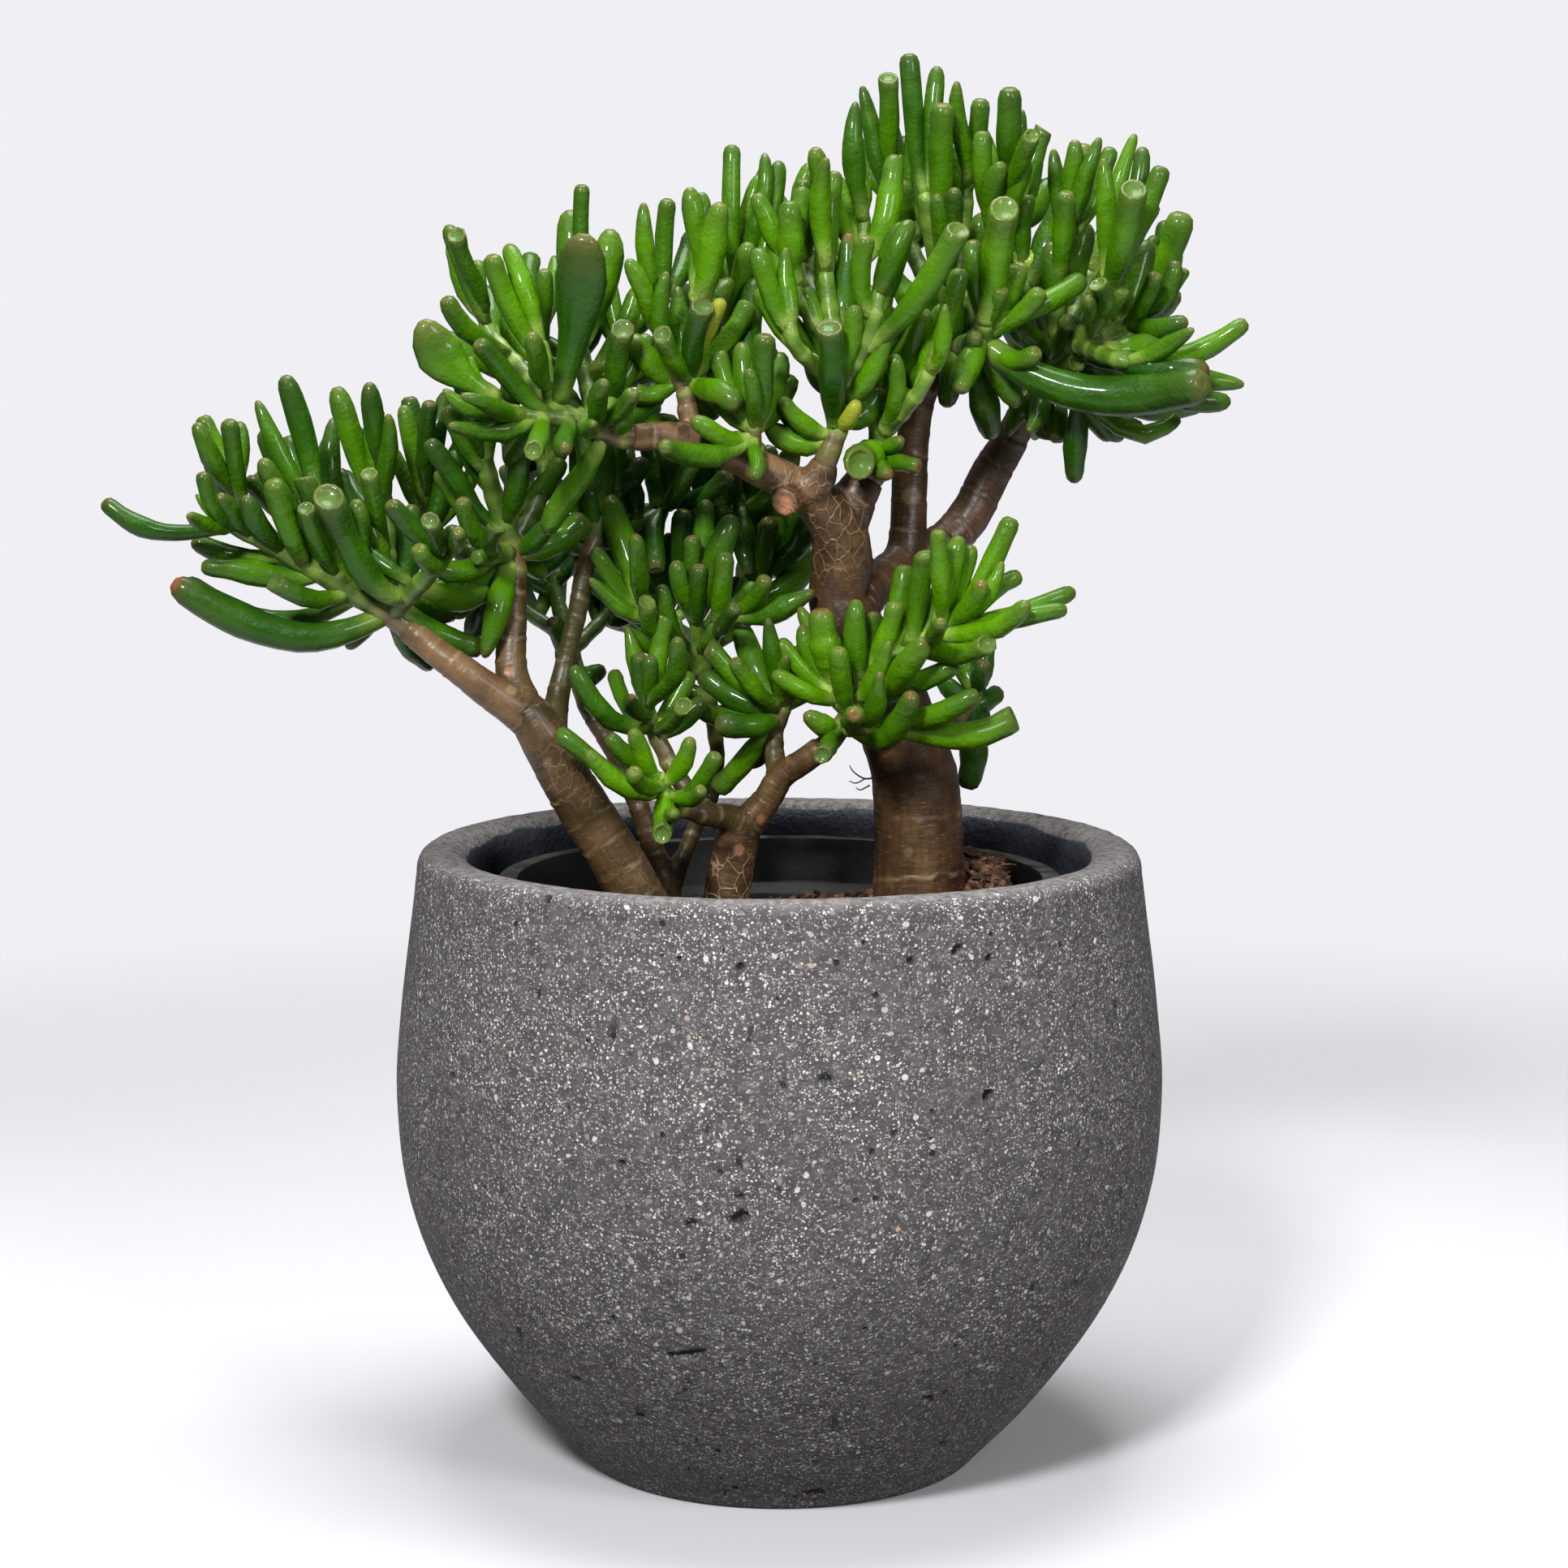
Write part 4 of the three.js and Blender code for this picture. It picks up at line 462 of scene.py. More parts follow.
        (-62, 410, -76, 414, 9, 6), (-84, 436, -80, 414, 9, 2), (-70, 456, -64, 420, 13, 10),
        (-58, 458, -54, 424, 13, 14), (-44, 458, -42, 427, 13, 8), (-30, 456, -30, 427, 13, 12),
        (-12, 452, -18, 426, 13, 12), (-24, 452, -26, 427, 12, 2),
    )),
    HeadPlan("foliage_back_left", "trunk_slim", "bole", tone=0.1, twigs=(
        ((-88, 346, 42, 4.2), (-92, 362, 56, 3.9), (-98, 384, 70, 3.7), (-102, 402, 78, 3.2)),
        ((-92, 362, 56, 3.8), (-78, 376, 70, 3.5), (-66, 392, 78, 3.1)),
        ((-94, 368, 60, 3.8), (-112, 380, 70, 3.4), (-126, 396, 76, 3)),
    ), leaves=(), late_leaves=(
        (-96, 364, -90, 352, 10, 12), (-78, 354, -88, 348, 10, 6), (-116, 404, -100, 386, 10, 6),
        (-84, 404, -74, 380, 10, 6), (-58, 414, -70, 386, 10, 6), (-60, 380, -76, 376, 10, 6),
        (-130, 378, -112, 382, 10, 4), (-138, 408, -116, 386, 10, 4), (-100, 376, -90, 352, 9, -10),
    )),
)


@dataclass(frozen=True)
class LeafRule:
    """How leaves find their place, in millimetres and radians. It is the rule of the solids."""

    gap: float = 0.35
    length: tuple[float, float] = (41, 57)
    clearance: float = 2.0
    overlap: float = -1.0
    spacing: float = 4.0
    free_from: float = 0.34
    root_sink: float = 0.45
    root_margin: float = 8.0
    roundness: float = 0.94
    spoon_width: float = 12.5
    spoon_thickness: float = 9.0
    long_leaf: float = 60.0
    long_sag: float = 12.0
    bend_across: float = 0.56
    bend_up: float = 0.4
    usual_lean: float = -0.7
    lean_parts: tuple[float, ...] = (1, 0.5, -0.6, 1.4, 0)
    lean_steps: tuple[float, ...] = (-12, 12, -24, 24, 38)
    twig_start: float = 4.0
    twig_taper: float = 0.97
    end_on_limit: float = 0.2
    seed: int = 20
    full_twig: int = 2
    pair_lean: float = 0.42
    pair_spread: float = 0.3
    pair_shortening: float = 0.7
    pair_lift: float = 0.26
    pair_width: tuple[float, float] = (7.6, 9.6)


@dataclass(frozen=True)
class FillRule:
    """The finer leaves that fill the heads: more pairs down each twig and a rosette at its end."""

    seed: int = 77
    clearance: float = -2.0
    overlap: float = -4.3
    late_clearance: float = -4.0
    pairs: int = 8
    full_twig: int = 24
    low_lean: float = 1.2
    top_lean: float = 0.42
    lean_spread: float = 0.5
    turn_spread: float = 0.5
    lift: float = 0.42
    least_depth: float = -0.72
    sight_steps: int = 8
    own_steps: int = 6
    sight_reach: float = 7.0
    hiding_width: float = 0.3
    cover_share: float = 0.3
    length: tuple[float, float] = (36, 55)
    width: tuple[float, float] = (7, 10.2)
    young_leaves: int = 4
    young_lean: tuple[float, float] = (0.2, 0.62)
    young_length: tuple[float, float] = (13, 27)
    young_width: tuple[float, float] = (3.8, 5.6)
    young_pointed: float = 0.6
    young_tint: tuple[float, float] = (0.75, 1.0)


RULE = LeafRule()
FILL = FillRule()

# Sections along a leaf as (part of its length, part of its half width), for the room that it needs
LEAF_ROOM = {
    "finger": ((0, 0.4), (0.55, 1), (1, 0.8)),
    "long": ((0, 0.4), (0.4, 0.92), (0.8, 1), (1, 0.8)),
    "spoon": ((0, 0.34), (0.4, 0.56), (0.78, 1), (1, 0.7)),
}


class Stream:
    """A seeded stream of numbers from 0 to 1, the same in every run."""

    FACTOR, STEP, ROUND = 1664525, 1013904223, 2**32

    def __init__(self, seed: int) -> None:
        """Starts the stream at a seed."""
        self.state = seed

    def draw(self) -> float:
        """Returns the next number, from 0 up to 1."""
        self.state = (self.state * self.FACTOR + self.STEP) % self.ROUND
        return self.state / self.ROUND

    def between(self, limits: Sequence[float]) -> float:
        """Returns a number between two limits."""
        low, high = limits
        return low + (high - low) * self.draw()

    def about(self, middle: float, spread: float) -> float:
        """Returns a number at most half a spread away from a middle."""
        return middle + (self.draw() - 0.5) * spread

    def either_side(self, reach: float) -> float:
        """Returns a number from -reach to reach."""
        return (2 * self.draw() - 1) * reach

    def angle(self) -> float:
        """Returns an angle anywhere in a full turn."""
        return self.draw() * 2 * math.pi


def unit(vector: Array) -> Array:
    """Returns a vector at length 1, or as it is if it has no length."""
    length = float(np.linalg.norm(vector))
    return vector / length if length > TINY else vector


def place(across: float, up: float, depth: float) -> Array:
    """Returns the point, in millimetres, that the eye sees at a place of the upright plane.

    Args:
        across: millimetres to the right on the plane.
        up: height on the plane.
        depth: how far the point lies behind the plane.

    Returns:
        The point in space.
    """
    scale = (EYE.distance + depth) / EYE.distance
    return np.array((across * scale, depth, EYE.height + (up - EYE.height) * scale))


def seen_at(point: Array) -> tuple[float, float]:
    """Returns where on the upright plane the eye sees a point."""
    scale = (EYE.distance + point[1]) / EYE.distance
    return point[0] / scale, (point[2] - EYE.height) / scale + EYE.height


def bent_line(start: Array, middle: Array, stop: Array, parts: Array) -> Array:
    """Returns points on the curve that a middle point bends.

    Args:
        start: where the curve starts.
        middle: the point towards which it bends.
        stop: where it ends.
        parts: how far along the curve each point lies, from 0 to 1.

    Returns:
        The points, one a row.
    """
    part = parts[:, None]
    return (1 - part) ** 2 * start + 2 * part * (1 - part) * middle + part**2 * stop


@dataclass
class Chain:
    """Points along a centre line with the radius at each, in millimetres."""

    points: Array
    radii: Array

    @classmethod
    def typed(cls, rows: Iterable[Sequence[float]]) -> Chain:
        """Returns the chain of a table's rows."""
        rows = list(rows)
        return cls(np.array([place(*row[:3]) for row in rows]), np.array([row[3] for row in rows], float))

    def joined_to(self, other: Chain) -> Chain:
        """Returns this chain with another one after it."""
        return Chain(np.vstack((self.points, other.points)), np.concatenate((self.radii, other.radii)))

    def end(self) -> tuple[Array, float, Array]:
        """Returns the last point, its radius and the direction that the chain ends in."""
        return self.points[-1], float(self.radii[-1]), unit(self.points[-1] - self.points[-2])

    def smoothed(self, steps: int) -> Chain:
        """Smooths the chain.

        Args:
            steps: steps in each span between two points.

        Returns:
            A smooth curve through the points.
        """
        points = self.points
        ends = np.vstack((2 * points[0] - points[1], points, 2 * points[-1] - points[-2]))
        found, radii = [], []
        for span in range(len(points) - 1):
            before, start, stop, after = ends[span:span + 4]
            leaving, arriving = (stop - before) / 2, (after - start) / 2
            for step in range(steps + (span == len(points) - 2)):
                part = step / steps
                square, cube = part**2, part**3
                found.append(
                    (2 * cube - 3 * square + 1) * start + (cube - 2 * square + part) * leaving
                    + (3 * square - 2 * cube) * stop + (cube - square) * arriving
                )
                radii.append(self.radii[span] * (1 - part) + self.radii[span + 1] * part)
        return Chain(np.array(found), np.array(radii))

    def balls(self) -> tuple[Array, Array, Array]:
        """Fills the chain's room with balls.

        Returns:
            Their centres, their radii, and whether each is free of the chain's root.
        """
        spans = np.linalg.norm(np.diff(self.points, axis=0), axis=1)
        total, run = spans.sum(), 0.0
        centres, radii, free = [], [], []
        for i, span in enumerate(spans):
            count = max(1, math.ceil(span / RULE.spacing))
            for k in range(0 if i == 0 else 1, count + 1):
                part = k / count
                centres.append(self.points[i] * (1 - part) + self.points[i + 1] * part)
                radii.append(self.radii[i] * (1 - part) + self.radii[i + 1] * part)
                free.append((run + span * part) / total > RULE.free_from)
            run += span
        return np.array(centres), np.array(radii), np.array(free)


class Tip(Enum):
    """The five ways in which a leaf ends."""

    CUP = "cup"
    BLUNT = "blunt"
    ROUND = "round"
    POINT = "point"
    SPOON = "spoon"


@dataclass
class Root:
    """A place on a twig where a leaf may root."""

    point: Array
    radius: float
    twig: Twig


@dataclass
class Twig:
    """A green twig of a head, with the number of leaves that count for it."""

    chain: Chain
    first: bool
    count: int = 0

    def joints(self) -> list[tuple[Root, Array]]:
        """Lists the places along the twig where leaves may root.

        Returns:
            Each place with the twig's direction there.
        """
        centres, radii, _ = self.chain.balls()
        return [
            (Root(centres[i], float(radii[i]), self), unit(centres[i] - centres[i - 1]))
            for i in range(1, len(centres))
        ]


@dataclass
class Leaf:
    """One leaf: its curve's start, middle and end, its widths in millimetres and its look."""

    start: Array
    middle: Array
    tip_point: Array
    width: float
    thickness: float
    tip: Tip = Tip.BLUNT
    turn_to_eye: bool = False
    tint: float = 0.5
    blush: float = 0.3
    yellow: float = 0.0
    wobble: float = 0.0
    roll: float = 0.0
    bow: float = 0.0
    hook: float = 0.0
    wave: float = 0.0
    upturn: float = 0.0
    side_depth: float = 0.4
    hook_return: float = 0.4

    def curve(self, steps: int) -> Array:
        """Draws the leaf's centre line with its own bow, wave, hooked tip and upturn.

        Args:
            steps: steps along it.

        Returns:
            Its points.
        """
        part = np.linspace(0, 1, steps + 1)[:, None]
        found = bent_line(self.start, self.middle, self.tip_point, part[:, 0])
        along = self.tip_point - self.start
        side = unit(np.cross(along, (math.cos(self.roll), self.side_depth, math.sin(self.roll))))
        bend = self.bow * np.sin(part * math.pi) + self.wave * np.sin(part * 2 * math.pi)
        bend += self.hook * part**4 - self.hook * self.hook_return * part
        found = found + side * bend * np.linalg.norm(along)
        found[:, 2:] -= self.upturn * math.hypot(along[0], along[1]) * np.sin(part * math.pi)
        return found


@dataclass
class Head:
    """A head as it grows: its plan, twigs, leaves and the places where leaves may root."""

    plan: HeadPlan
    twigs: list[Twig] = field(default_factory=list)
    leaves: list[Leaf] = field(default_factory=list)
    roots: list[Root] = field(default_factory=list)

    def limb_end(self) -> tuple[Array, float, Array]:
        """Returns the end of the limb that the head goes on from: point, radius and direction."""
        return Chain.typed(STEMS[self.plan.stem][self.plan.limb]).end()

    def nearest_root(self, across: float, up: float) -> Root:
        """Finds the place on the head's twigs that is seen nearest to a point.

        Args:
            across: How far the point is to the right.
            up: Its height.

        Returns:
            The place.
        """
        def away(root: Root) -> float:
            """Returns how far from the point a place is seen."""
            seen = seen_at(root.point)
            return math.hypot(seen[0] - across, seen[1] - up)
        return min(self.roots, key=away)


class Room:
    """The room that is taken: balls along every stem, twig and leaf."""

    def __init__(self) -> None:
        """Starts with no ball."""
        self.centres = np.zeros((0, 3))
        self.radii = np.zeros(0)
        self.owners = np.zeros(0, int)
        self.loose = np.zeros(0, bool)
        self.names: list[str] = []

    def owner(self, name: str) -> int:
        """Finds the number that stands for a piece's name.

        Args:
            name: The piece's name.

        Returns:
            Its number.
        """
        if name not in self.names:
            self.names.append(name)
        return self.names.index(name)

    def keep(self, name: str, chain: Chain, is_leaf: bool) -> None:
        """Takes the room of a stem, twig or leaf.

        Args:
            name: the piece that it belongs to.
            chain: its centre line with its radii.
            is_leaf: whether it is a leaf.
        """
        centres, radii, free = chain.balls()
        self.centres = np.vstack((self.centres, centres))
        self.radii = np.concatenate((self.radii, radii))
        self.owners = np.concatenate((self.owners, np.full(len(radii), self.owner(name))))
        self.loose = np.concatenate((self.loose, free & is_leaf))

    def around(self, name: str, chain: Chain) -> tuple[float, float]:
        """Measures the least room of a leaf.

        Args:
            name: the head that the leaf grows on.
            chain: the leaf's centre line with its radii.

        Returns:
            The room to the other pieces, and the room to the free parts of the head's own leaves.
        """
        centres, radii, free = chain.balls()
        away = np.linalg.norm(centres[:, None] - self.centres[None], axis=2)
        away -= radii[:, None] + self.radii[None]
        own = self.owners == self.owner(name)
        others = away[:, ~own].min(initial=np.inf)
        return float(others), float(away[free][:, own & self.loose].min(initial=np.inf))

    def fits(self, name: str, chain: Chain, rule: LeafRule | FillRule) -> bool:
        """Tells whether a leaf of a head has the room that a rule asks for."""
        others, own = self.around(name, chain)
        return others >= rule.clearance and own >= rule.overlap


class Plant:
    """Grows the heads on the stems, by the rule of the solids and then by the finer one."""

    def __init__(self) -> None:
        """Takes the room of the stems."""
        self.room = Room()
        self.heads: list[Head] = []
        self.sight = np.zeros((0, 4))
        for name, limbs in STEMS.items():
            for limb_name, rows in limbs.items():
                steps = 2 if limb_name == "bole" else 1
                self.room.keep(name, Chain.typed(rows).smoothed(steps), False)

    def grow(self) -> list[Head]:
        """Grows twigs and leaves.

        Returns:
            The heads with all their leaves.
        """
        self.heads = [self._grow_twigs(plan) for plan in HEADS]
        stream, fill = Stream(RULE.seed), Stream(FILL.seed)
        for head in self.heads:
            for row in head.plan.leaves:
                self._typed_leaf(head, row, stream, RULE.clearance, RULE.overlap)
        self._each_twig(self._end_pair, stream)
        for head in self.heads:
            for row in head.plan.late_leaves:
                self._typed_leaf(head, row, fill, FILL.late_clearance, FILL.overlap)
        self.sight = np.array([
            (*seen_at(point), point[1], leaf.width / 2)
            for head in self.heads for leaf in head.leaves for point in leaf.curve(FILL.sight_steps)
        ])
        self._each_twig(self._rosette, fill)
        self._each_twig(self._lower_pairs, fill)
        return self.heads

    def _each_twig(self, act: Callable[[Head, Twig, Stream], None], stream: Stream) -> None:
        """Does the same to every twig of every head.

        Args:
            act: What is done to a twig.
            stream: The stream of draws that it takes, if any.
        """
        for head in self.heads:
            for twig in head.twigs:
                act(head, twig, stream)

    def _grow_twigs(self, plan: HeadPlan) -> Head:
        """Grows the twigs of a head, the first of which goes on from its limb's end.

        Args:
            plan: the head's plan.

        Returns:
            The head without leaves.
        """
        head = Head(plan)
        point, radius, along = head.limb_end()
        for index, rows in enumerate(plan.twigs):
            chain = Chain.typed(rows)
            if index == 0:
                start = point + along * RULE.gap
                foot = np.array((start, start + along * RULE.twig_start))
                chain = Chain(foot, np.array((radius, radius * RULE.twig_taper))).joined_to(chain)
            twig = Twig(chain, index == 0)
            head.twigs.append(twig)
            self.room.keep(plan.name, chain, False)
            centres, radii, _ = chain.balls()
            for centre, ball in zip(centres[:-1], radii[:-1]):
                if np.linalg.norm(centre - point) > RULE.root_margin:
                    head.roots.append(Root(centre, float(ball), twig))
        return head

    @staticmethod
    def _leaf(root: Root, tip: Array, width: float, sag: float = 0.0) -> tuple[Leaf, Chain]:
        """Shapes one leaf.

        Args:
            root: where it roots.
            tip: where it ends.
            width: how wide it is.
            sag: how far it hangs in the middle.

        Returns:
            The leaf, and the chain of the room that it needs.
        """
        form = "finger"
        if width > RULE.spoon_width and sag < RULE.long_sag:
            form = "spoon"
        elif np.linalg.norm(tip - root.point) > RULE.long_leaf:
            form = "long"
        across = root.point + (tip - root.point) * RULE.bend_across
        height = root.point[2] + (tip[2] - root.point[2]) * RULE.bend_up - sag
        middle = np.array((across[0], across[1], height))
        start = root.point + unit(middle - root.point) * root.radius * RULE.root_sink
        thickness = RULE.spoon_thickness if form == "spoon" else width * RULE.roundness
        parts, wide = np.array(LEAF_ROOM[form]).T
        room = Chain(bent_line(start, middle, tip, parts), wide * width / 2)
        return Leaf(start, middle, tip, width, thickness), room

    def _typed_leaf(
        self, head: Head, row: Sequence[float], stream: Stream, clearance: float, overlap: float
    ) -> None:
        """Sets a typed leaf at the first depth that leaves it free, or at the freest one.

        Args:
            head: the head that it grows on.
            row: its row of the table.
            stream: what its length is drawn from.
            clearance: the least room to other pieces.
            overlap: the room to the head's own leaves at which the search ends.
        """
        tip_across, tip_up, root_across, root_up, width, *rest = row
        typed_lean = rest[0] if rest else None
        sag = rest[1] if len(rest) > 1 else 0.0
        root = head.nearest_root(root_across, root_up)
        flat = np.linalg.norm(place(tip_across, tip_up, root.point[1]) - root.point)
        full = math.sqrt(max(0.0, stream.between(RULE.length) ** 2 - flat**2))
        first = RULE.usual_lean * full if typed_lean is None else typed_lean
        best: tuple[float, Leaf, Chain] | None = None
        leans = [first * part for part in RULE.lean_parts] + [first + step for step in RULE.lean_steps]
        for lean in leans:
            leaf, chain = self._leaf(root, place(tip_across, tip_up, root.point[1] + lean), width, sag)
            others, own = self.room.around(head.plan.name, chain)
            if others < clearance:
                continue
            if best is None or own > best[0]:
                best = (own, leaf, chain)
            if own > overlap:
                break
        if best is not None:
            self._keep_leaf(head, best[1], best[2])
            root.twig.count += 1

    def _keep_leaf(self, head: Head, leaf: Leaf, chain: Chain) -> None:
        """Adds a leaf to its head and takes its room."""
        head.leaves.append(leaf)
        self.room.keep(head.plan.name, chain, True)

    def _in_sight(self, leaf: Leaf) -> bool:
        """Looks at a filling leaf from the eye.

        Args:
            leaf: the leaf.

        Returns:
            Whether it ends close to the typed leaves and hides few of them.
        """
        points = leaf.curve(FILL.own_steps)
        seen = np.array([seen_at(point) for point in points])
        away = np.linalg.norm(seen[:, None] - self.sight[None, :, :2], axis=2)
        before = points[:, 1:2] < self.sight[None, :, 2]
        hiding = (away < self.sight[:, 3] + leaf.width * FILL.hiding_width) & before
        return bool(away[-1].min() < FILL.sight_reach and hiding.any(axis=1).mean() < FILL.cover_share)

    @staticmethod
    def _way(along: Array, turn: float, lean: float, lift: float) -> Array:
        """Turns a leaf off its twig.

        Args:
            along: the twig's direction.
            turn: the angle round the twig.
            lean: the angle off the twig.
            lift: how far the leaf is lifted.

        Returns:
            The leaf's direction.
        """
        side = np.array((math.cos(turn), math.sin(turn), 0.0))
        side = unit(side - along * side.dot(along))
        way = along * math.cos(lean) + side * math.sin(lean)
        way[2] += lift
        return unit(way)

    def _end_pair(self, head: Head, twig: Twig, stream: Stream) -> None:
        """Sets the crossed pair near the end of a twig that has few leaves yet.

        Args:
            head: the head that it grows on.
            twig: the twig.
            stream: what the pair is drawn from.
        """
        if twig.count >= RULE.full_twig:
            return
        root, along = twig.joints()[-2]
        turn = stream.draw() * math.pi
        for sign in (1, -1):
            lean = stream.about(RULE.pair_lean, RULE.pair_spread)
            length = stream.between(RULE.length) * RULE.pair_shortening
            width = stream.between(RULE.pair_width)
            way = self._way(along, turn, sign * lean, RULE.pair_lift)
            leaf, chain = self._leaf(root, root.point + way * length, width)
            if self.room.fits(head.plan.name, chain, RULE):
                self._keep_leaf(head, leaf, chain)
                twig.count += 1

    def _rosette(self, head: Head, twig: Twig, stream: Stream) -> None:
        """Sets the small young leaves round a twig's end, which don't count for the twig.

        Args:
            head: the head that they grow on.
            twig: the twig.
            stream: what they are drawn from.
        """
        root, along = twig.joints()[-1]
        turn = stream.draw() * math.pi
        for k in range(FILL.young_leaves):
            lean = stream.between(FILL.young_lean)
            length = stream.between(FILL.young_length)
            width = stream.between(FILL.young_width)
            way = self._way(along, turn + k * math.pi / 2, lean, FILL.lift)
            leaf, chain = self._leaf(root, root.point + way * length, width)
            leaf.tip = Tip.POINT if stream.draw() < FILL.young_pointed else Tip.BLUNT
            leaf.tint = stream.between(FILL.young_tint)
            if self.room.fits(head.plan.name, chain, FILL) and self._in_sight(leaf):
                self._keep_leaf(head, leaf, chain)

    def _lower_pairs(self, head: Head, twig: Twig, stream: Stream) -> None:
        """Sets crossed pairs from a twig's end down, flatter and longer the lower they are.

        Args:
            head: the head that they grow on.
            twig: the twig.
            stream: what they are drawn from.
        """
        foot = head.limb_end()[0]
        turn = stream.draw() * math.pi
        for k, (root, along) in enumerate(twig.joints()[-2::-1][:FILL.pairs]):
            if twig.count >= FILL.full_twig or np.linalg.norm(root.point - foot) < RULE.root_margin:
                break
            usual_lean = FILL.low_lean + (FILL.top_lean - FILL.low_lean) * (1 - k / FILL.pairs)
            for sign in (1, -1):
                lean = stream.about(usual_lean, FILL.lean_spread)
                length = stream.between(FILL.length)
                width = stream.between(FILL.width)
                way = self._way(along, turn, sign * lean, FILL.lift)
                leaf, chain = self._leaf(root, root.point + way * length, width)
                if way[1] < FILL.least_depth or not self._in_sight(leaf):
                    continue
                if self.room.fits(head.plan.name, chain, FILL):
                    self._keep_leaf(head, leaf, chain)
                    twig.count += 1
            turn += stream.about(math.pi / 2, FILL.turn_spread)


# The workbench: selecting, editing and shaping meshes


def choose(*pieces: Object) -> None:
    """Selects only these objects, or none, and makes the first one active.

    Args:
        pieces: The objects to select.
    """
    bpy.ops.object.select_all(action="DESELECT")
    for piece in pieces:
        piece.select_set(True)
    if pieces:
        bpy.context.view_layer.objects.active = pieces[0]


@contextmanager
def editing(piece: Object) -> Iterator[None]:
    """Holds a piece in edit mode with everything selected.

    Args:
        piece: The object.

    Returns:
        A context, at whose end the piece is out of edit mode again.
    """
    choose(piece)
    bpy.ops.object.mode_set(mode="EDIT")
    bpy.ops.mesh.select_all(action="SELECT")
    yield
    bpy.ops.object.mode_set(mode="OBJECT")


def apply_modifier(piece: Object, kind: str, **settings: float | str | bool | Object) -> None:
    """Adds a modifier with its settings and applies it.

    Args:
        piece: The object.
        kind: The modifier's type.
        settings: Its settings by name.
    """
    choose(piece)
    bpy.ops.object.modifier_add(type=kind)
    modifier = piece.modifiers[-1]
    for name, value in settings.items():
        setattr(modifier, name, value)
    bpy.ops.object.modifier_apply(modifier=modifier.name)


def shade_by_angle(piece: Object, degrees: float) -> Object:
    """Shades a piece smooth, but for the edges that are sharper than an angle, and returns it.

    Args:
        piece: The object.
        degrees: The angle between two faces above which their edge stays sharp.

    Returns:
        The same object.
    """
    choose(piece)
    bpy.ops.object.shade_smooth_by_angle(angle=math.radians(degrees))
    return piece


def points_of(mesh: bpy.types.Mesh, row: str = "co") -> Array:
    """Reads a mesh's points as rows of three, or with "normal" the normal at each.

    Args:
        mesh: The mesh.
        row: What is read of each point.

    Returns:
        One row a point.
    """
    found = np.empty(len(mesh.vertices) * 3, np.float32)
    mesh.vertices.foreach_get(row, found)
    return found.reshape(-1, 3).astype(float)


def move_points(mesh: bpy.types.Mesh, points: Array) -> None:
    """Puts a mesh's points at new places."""
    mesh.vertices.foreach_set("co", points.astype(np.float32).ravel())
    mesh.update()


def write_attribute(mesh: bpy.types.Mesh, name: str, *columns: Array | float) -> None:
    """Writes three numbers for each point of a mesh, for a finish to read.

    Args:
        mesh: the mesh.
        name: the attribute's name.
        columns: the three numbers, each as one value or as a value a point.
    """
    rows = np.empty((len(mesh.vertices), 3), np.float32)
    for k, column in enumerate(columns):
        rows[:, k] = column
    found = mesh.attributes.get(name) or mesh.attributes.new(name, "FLOAT_VECTOR", "POINT")
    found.data.foreach_set("vector", rows.ravel())


def smooth_step(value: Array, low: float, high: float) -> Array:
    """Returns a soft step from 0 at low to 1 at high."""
    part = np.clip((value - low) / (high - low), 0, 1)
    return part * part * (3 - 2 * part)


@dataclass(frozen=True)
class Noise:
    """Soft noise: the size of its cells, a seed that picks its pattern, and its reach to either side."""

    size: float
    seed: int
    reach: float = 1.0

    SHIFT, FACTORS, SEED_FACTOR, STIR = 17.31, (73856093, 19349663, 83492791), 7919, 1274126177
    LONG, SHORT = 0xFFFFFFFF, 0xFFFF

    def at(self, points: Array) -> Array:
        """Finds the noise at points.

        Args:
            points: rows of three, in the unit of the size.

        Returns:
            A number from -reach to reach for each.
        """
        grid = points / self.size + self.seed * self.SHIFT
        cell = np.floor(grid).astype(np.int64)
        part = grid - cell
        part = part * part * (3 - 2 * part)
        total = np.zeros(len(points))
        for corner in np.ndindex(2, 2, 2):
            key = (cell + corner) @ np.array(self.FACTORS) + self.seed * self.SEED_FACTOR
            key = (key ^ (key >> 13)) * self.STIR & self.LONG
            key = (key ^ (key >> 16)) & self.SHORT
            weight = np.prod(np.where(np.array(corner) == 1, part, 1 - part), axis=1)
            total += weight * (2 * key / self.SHORT - 1)
        return total * self.reach


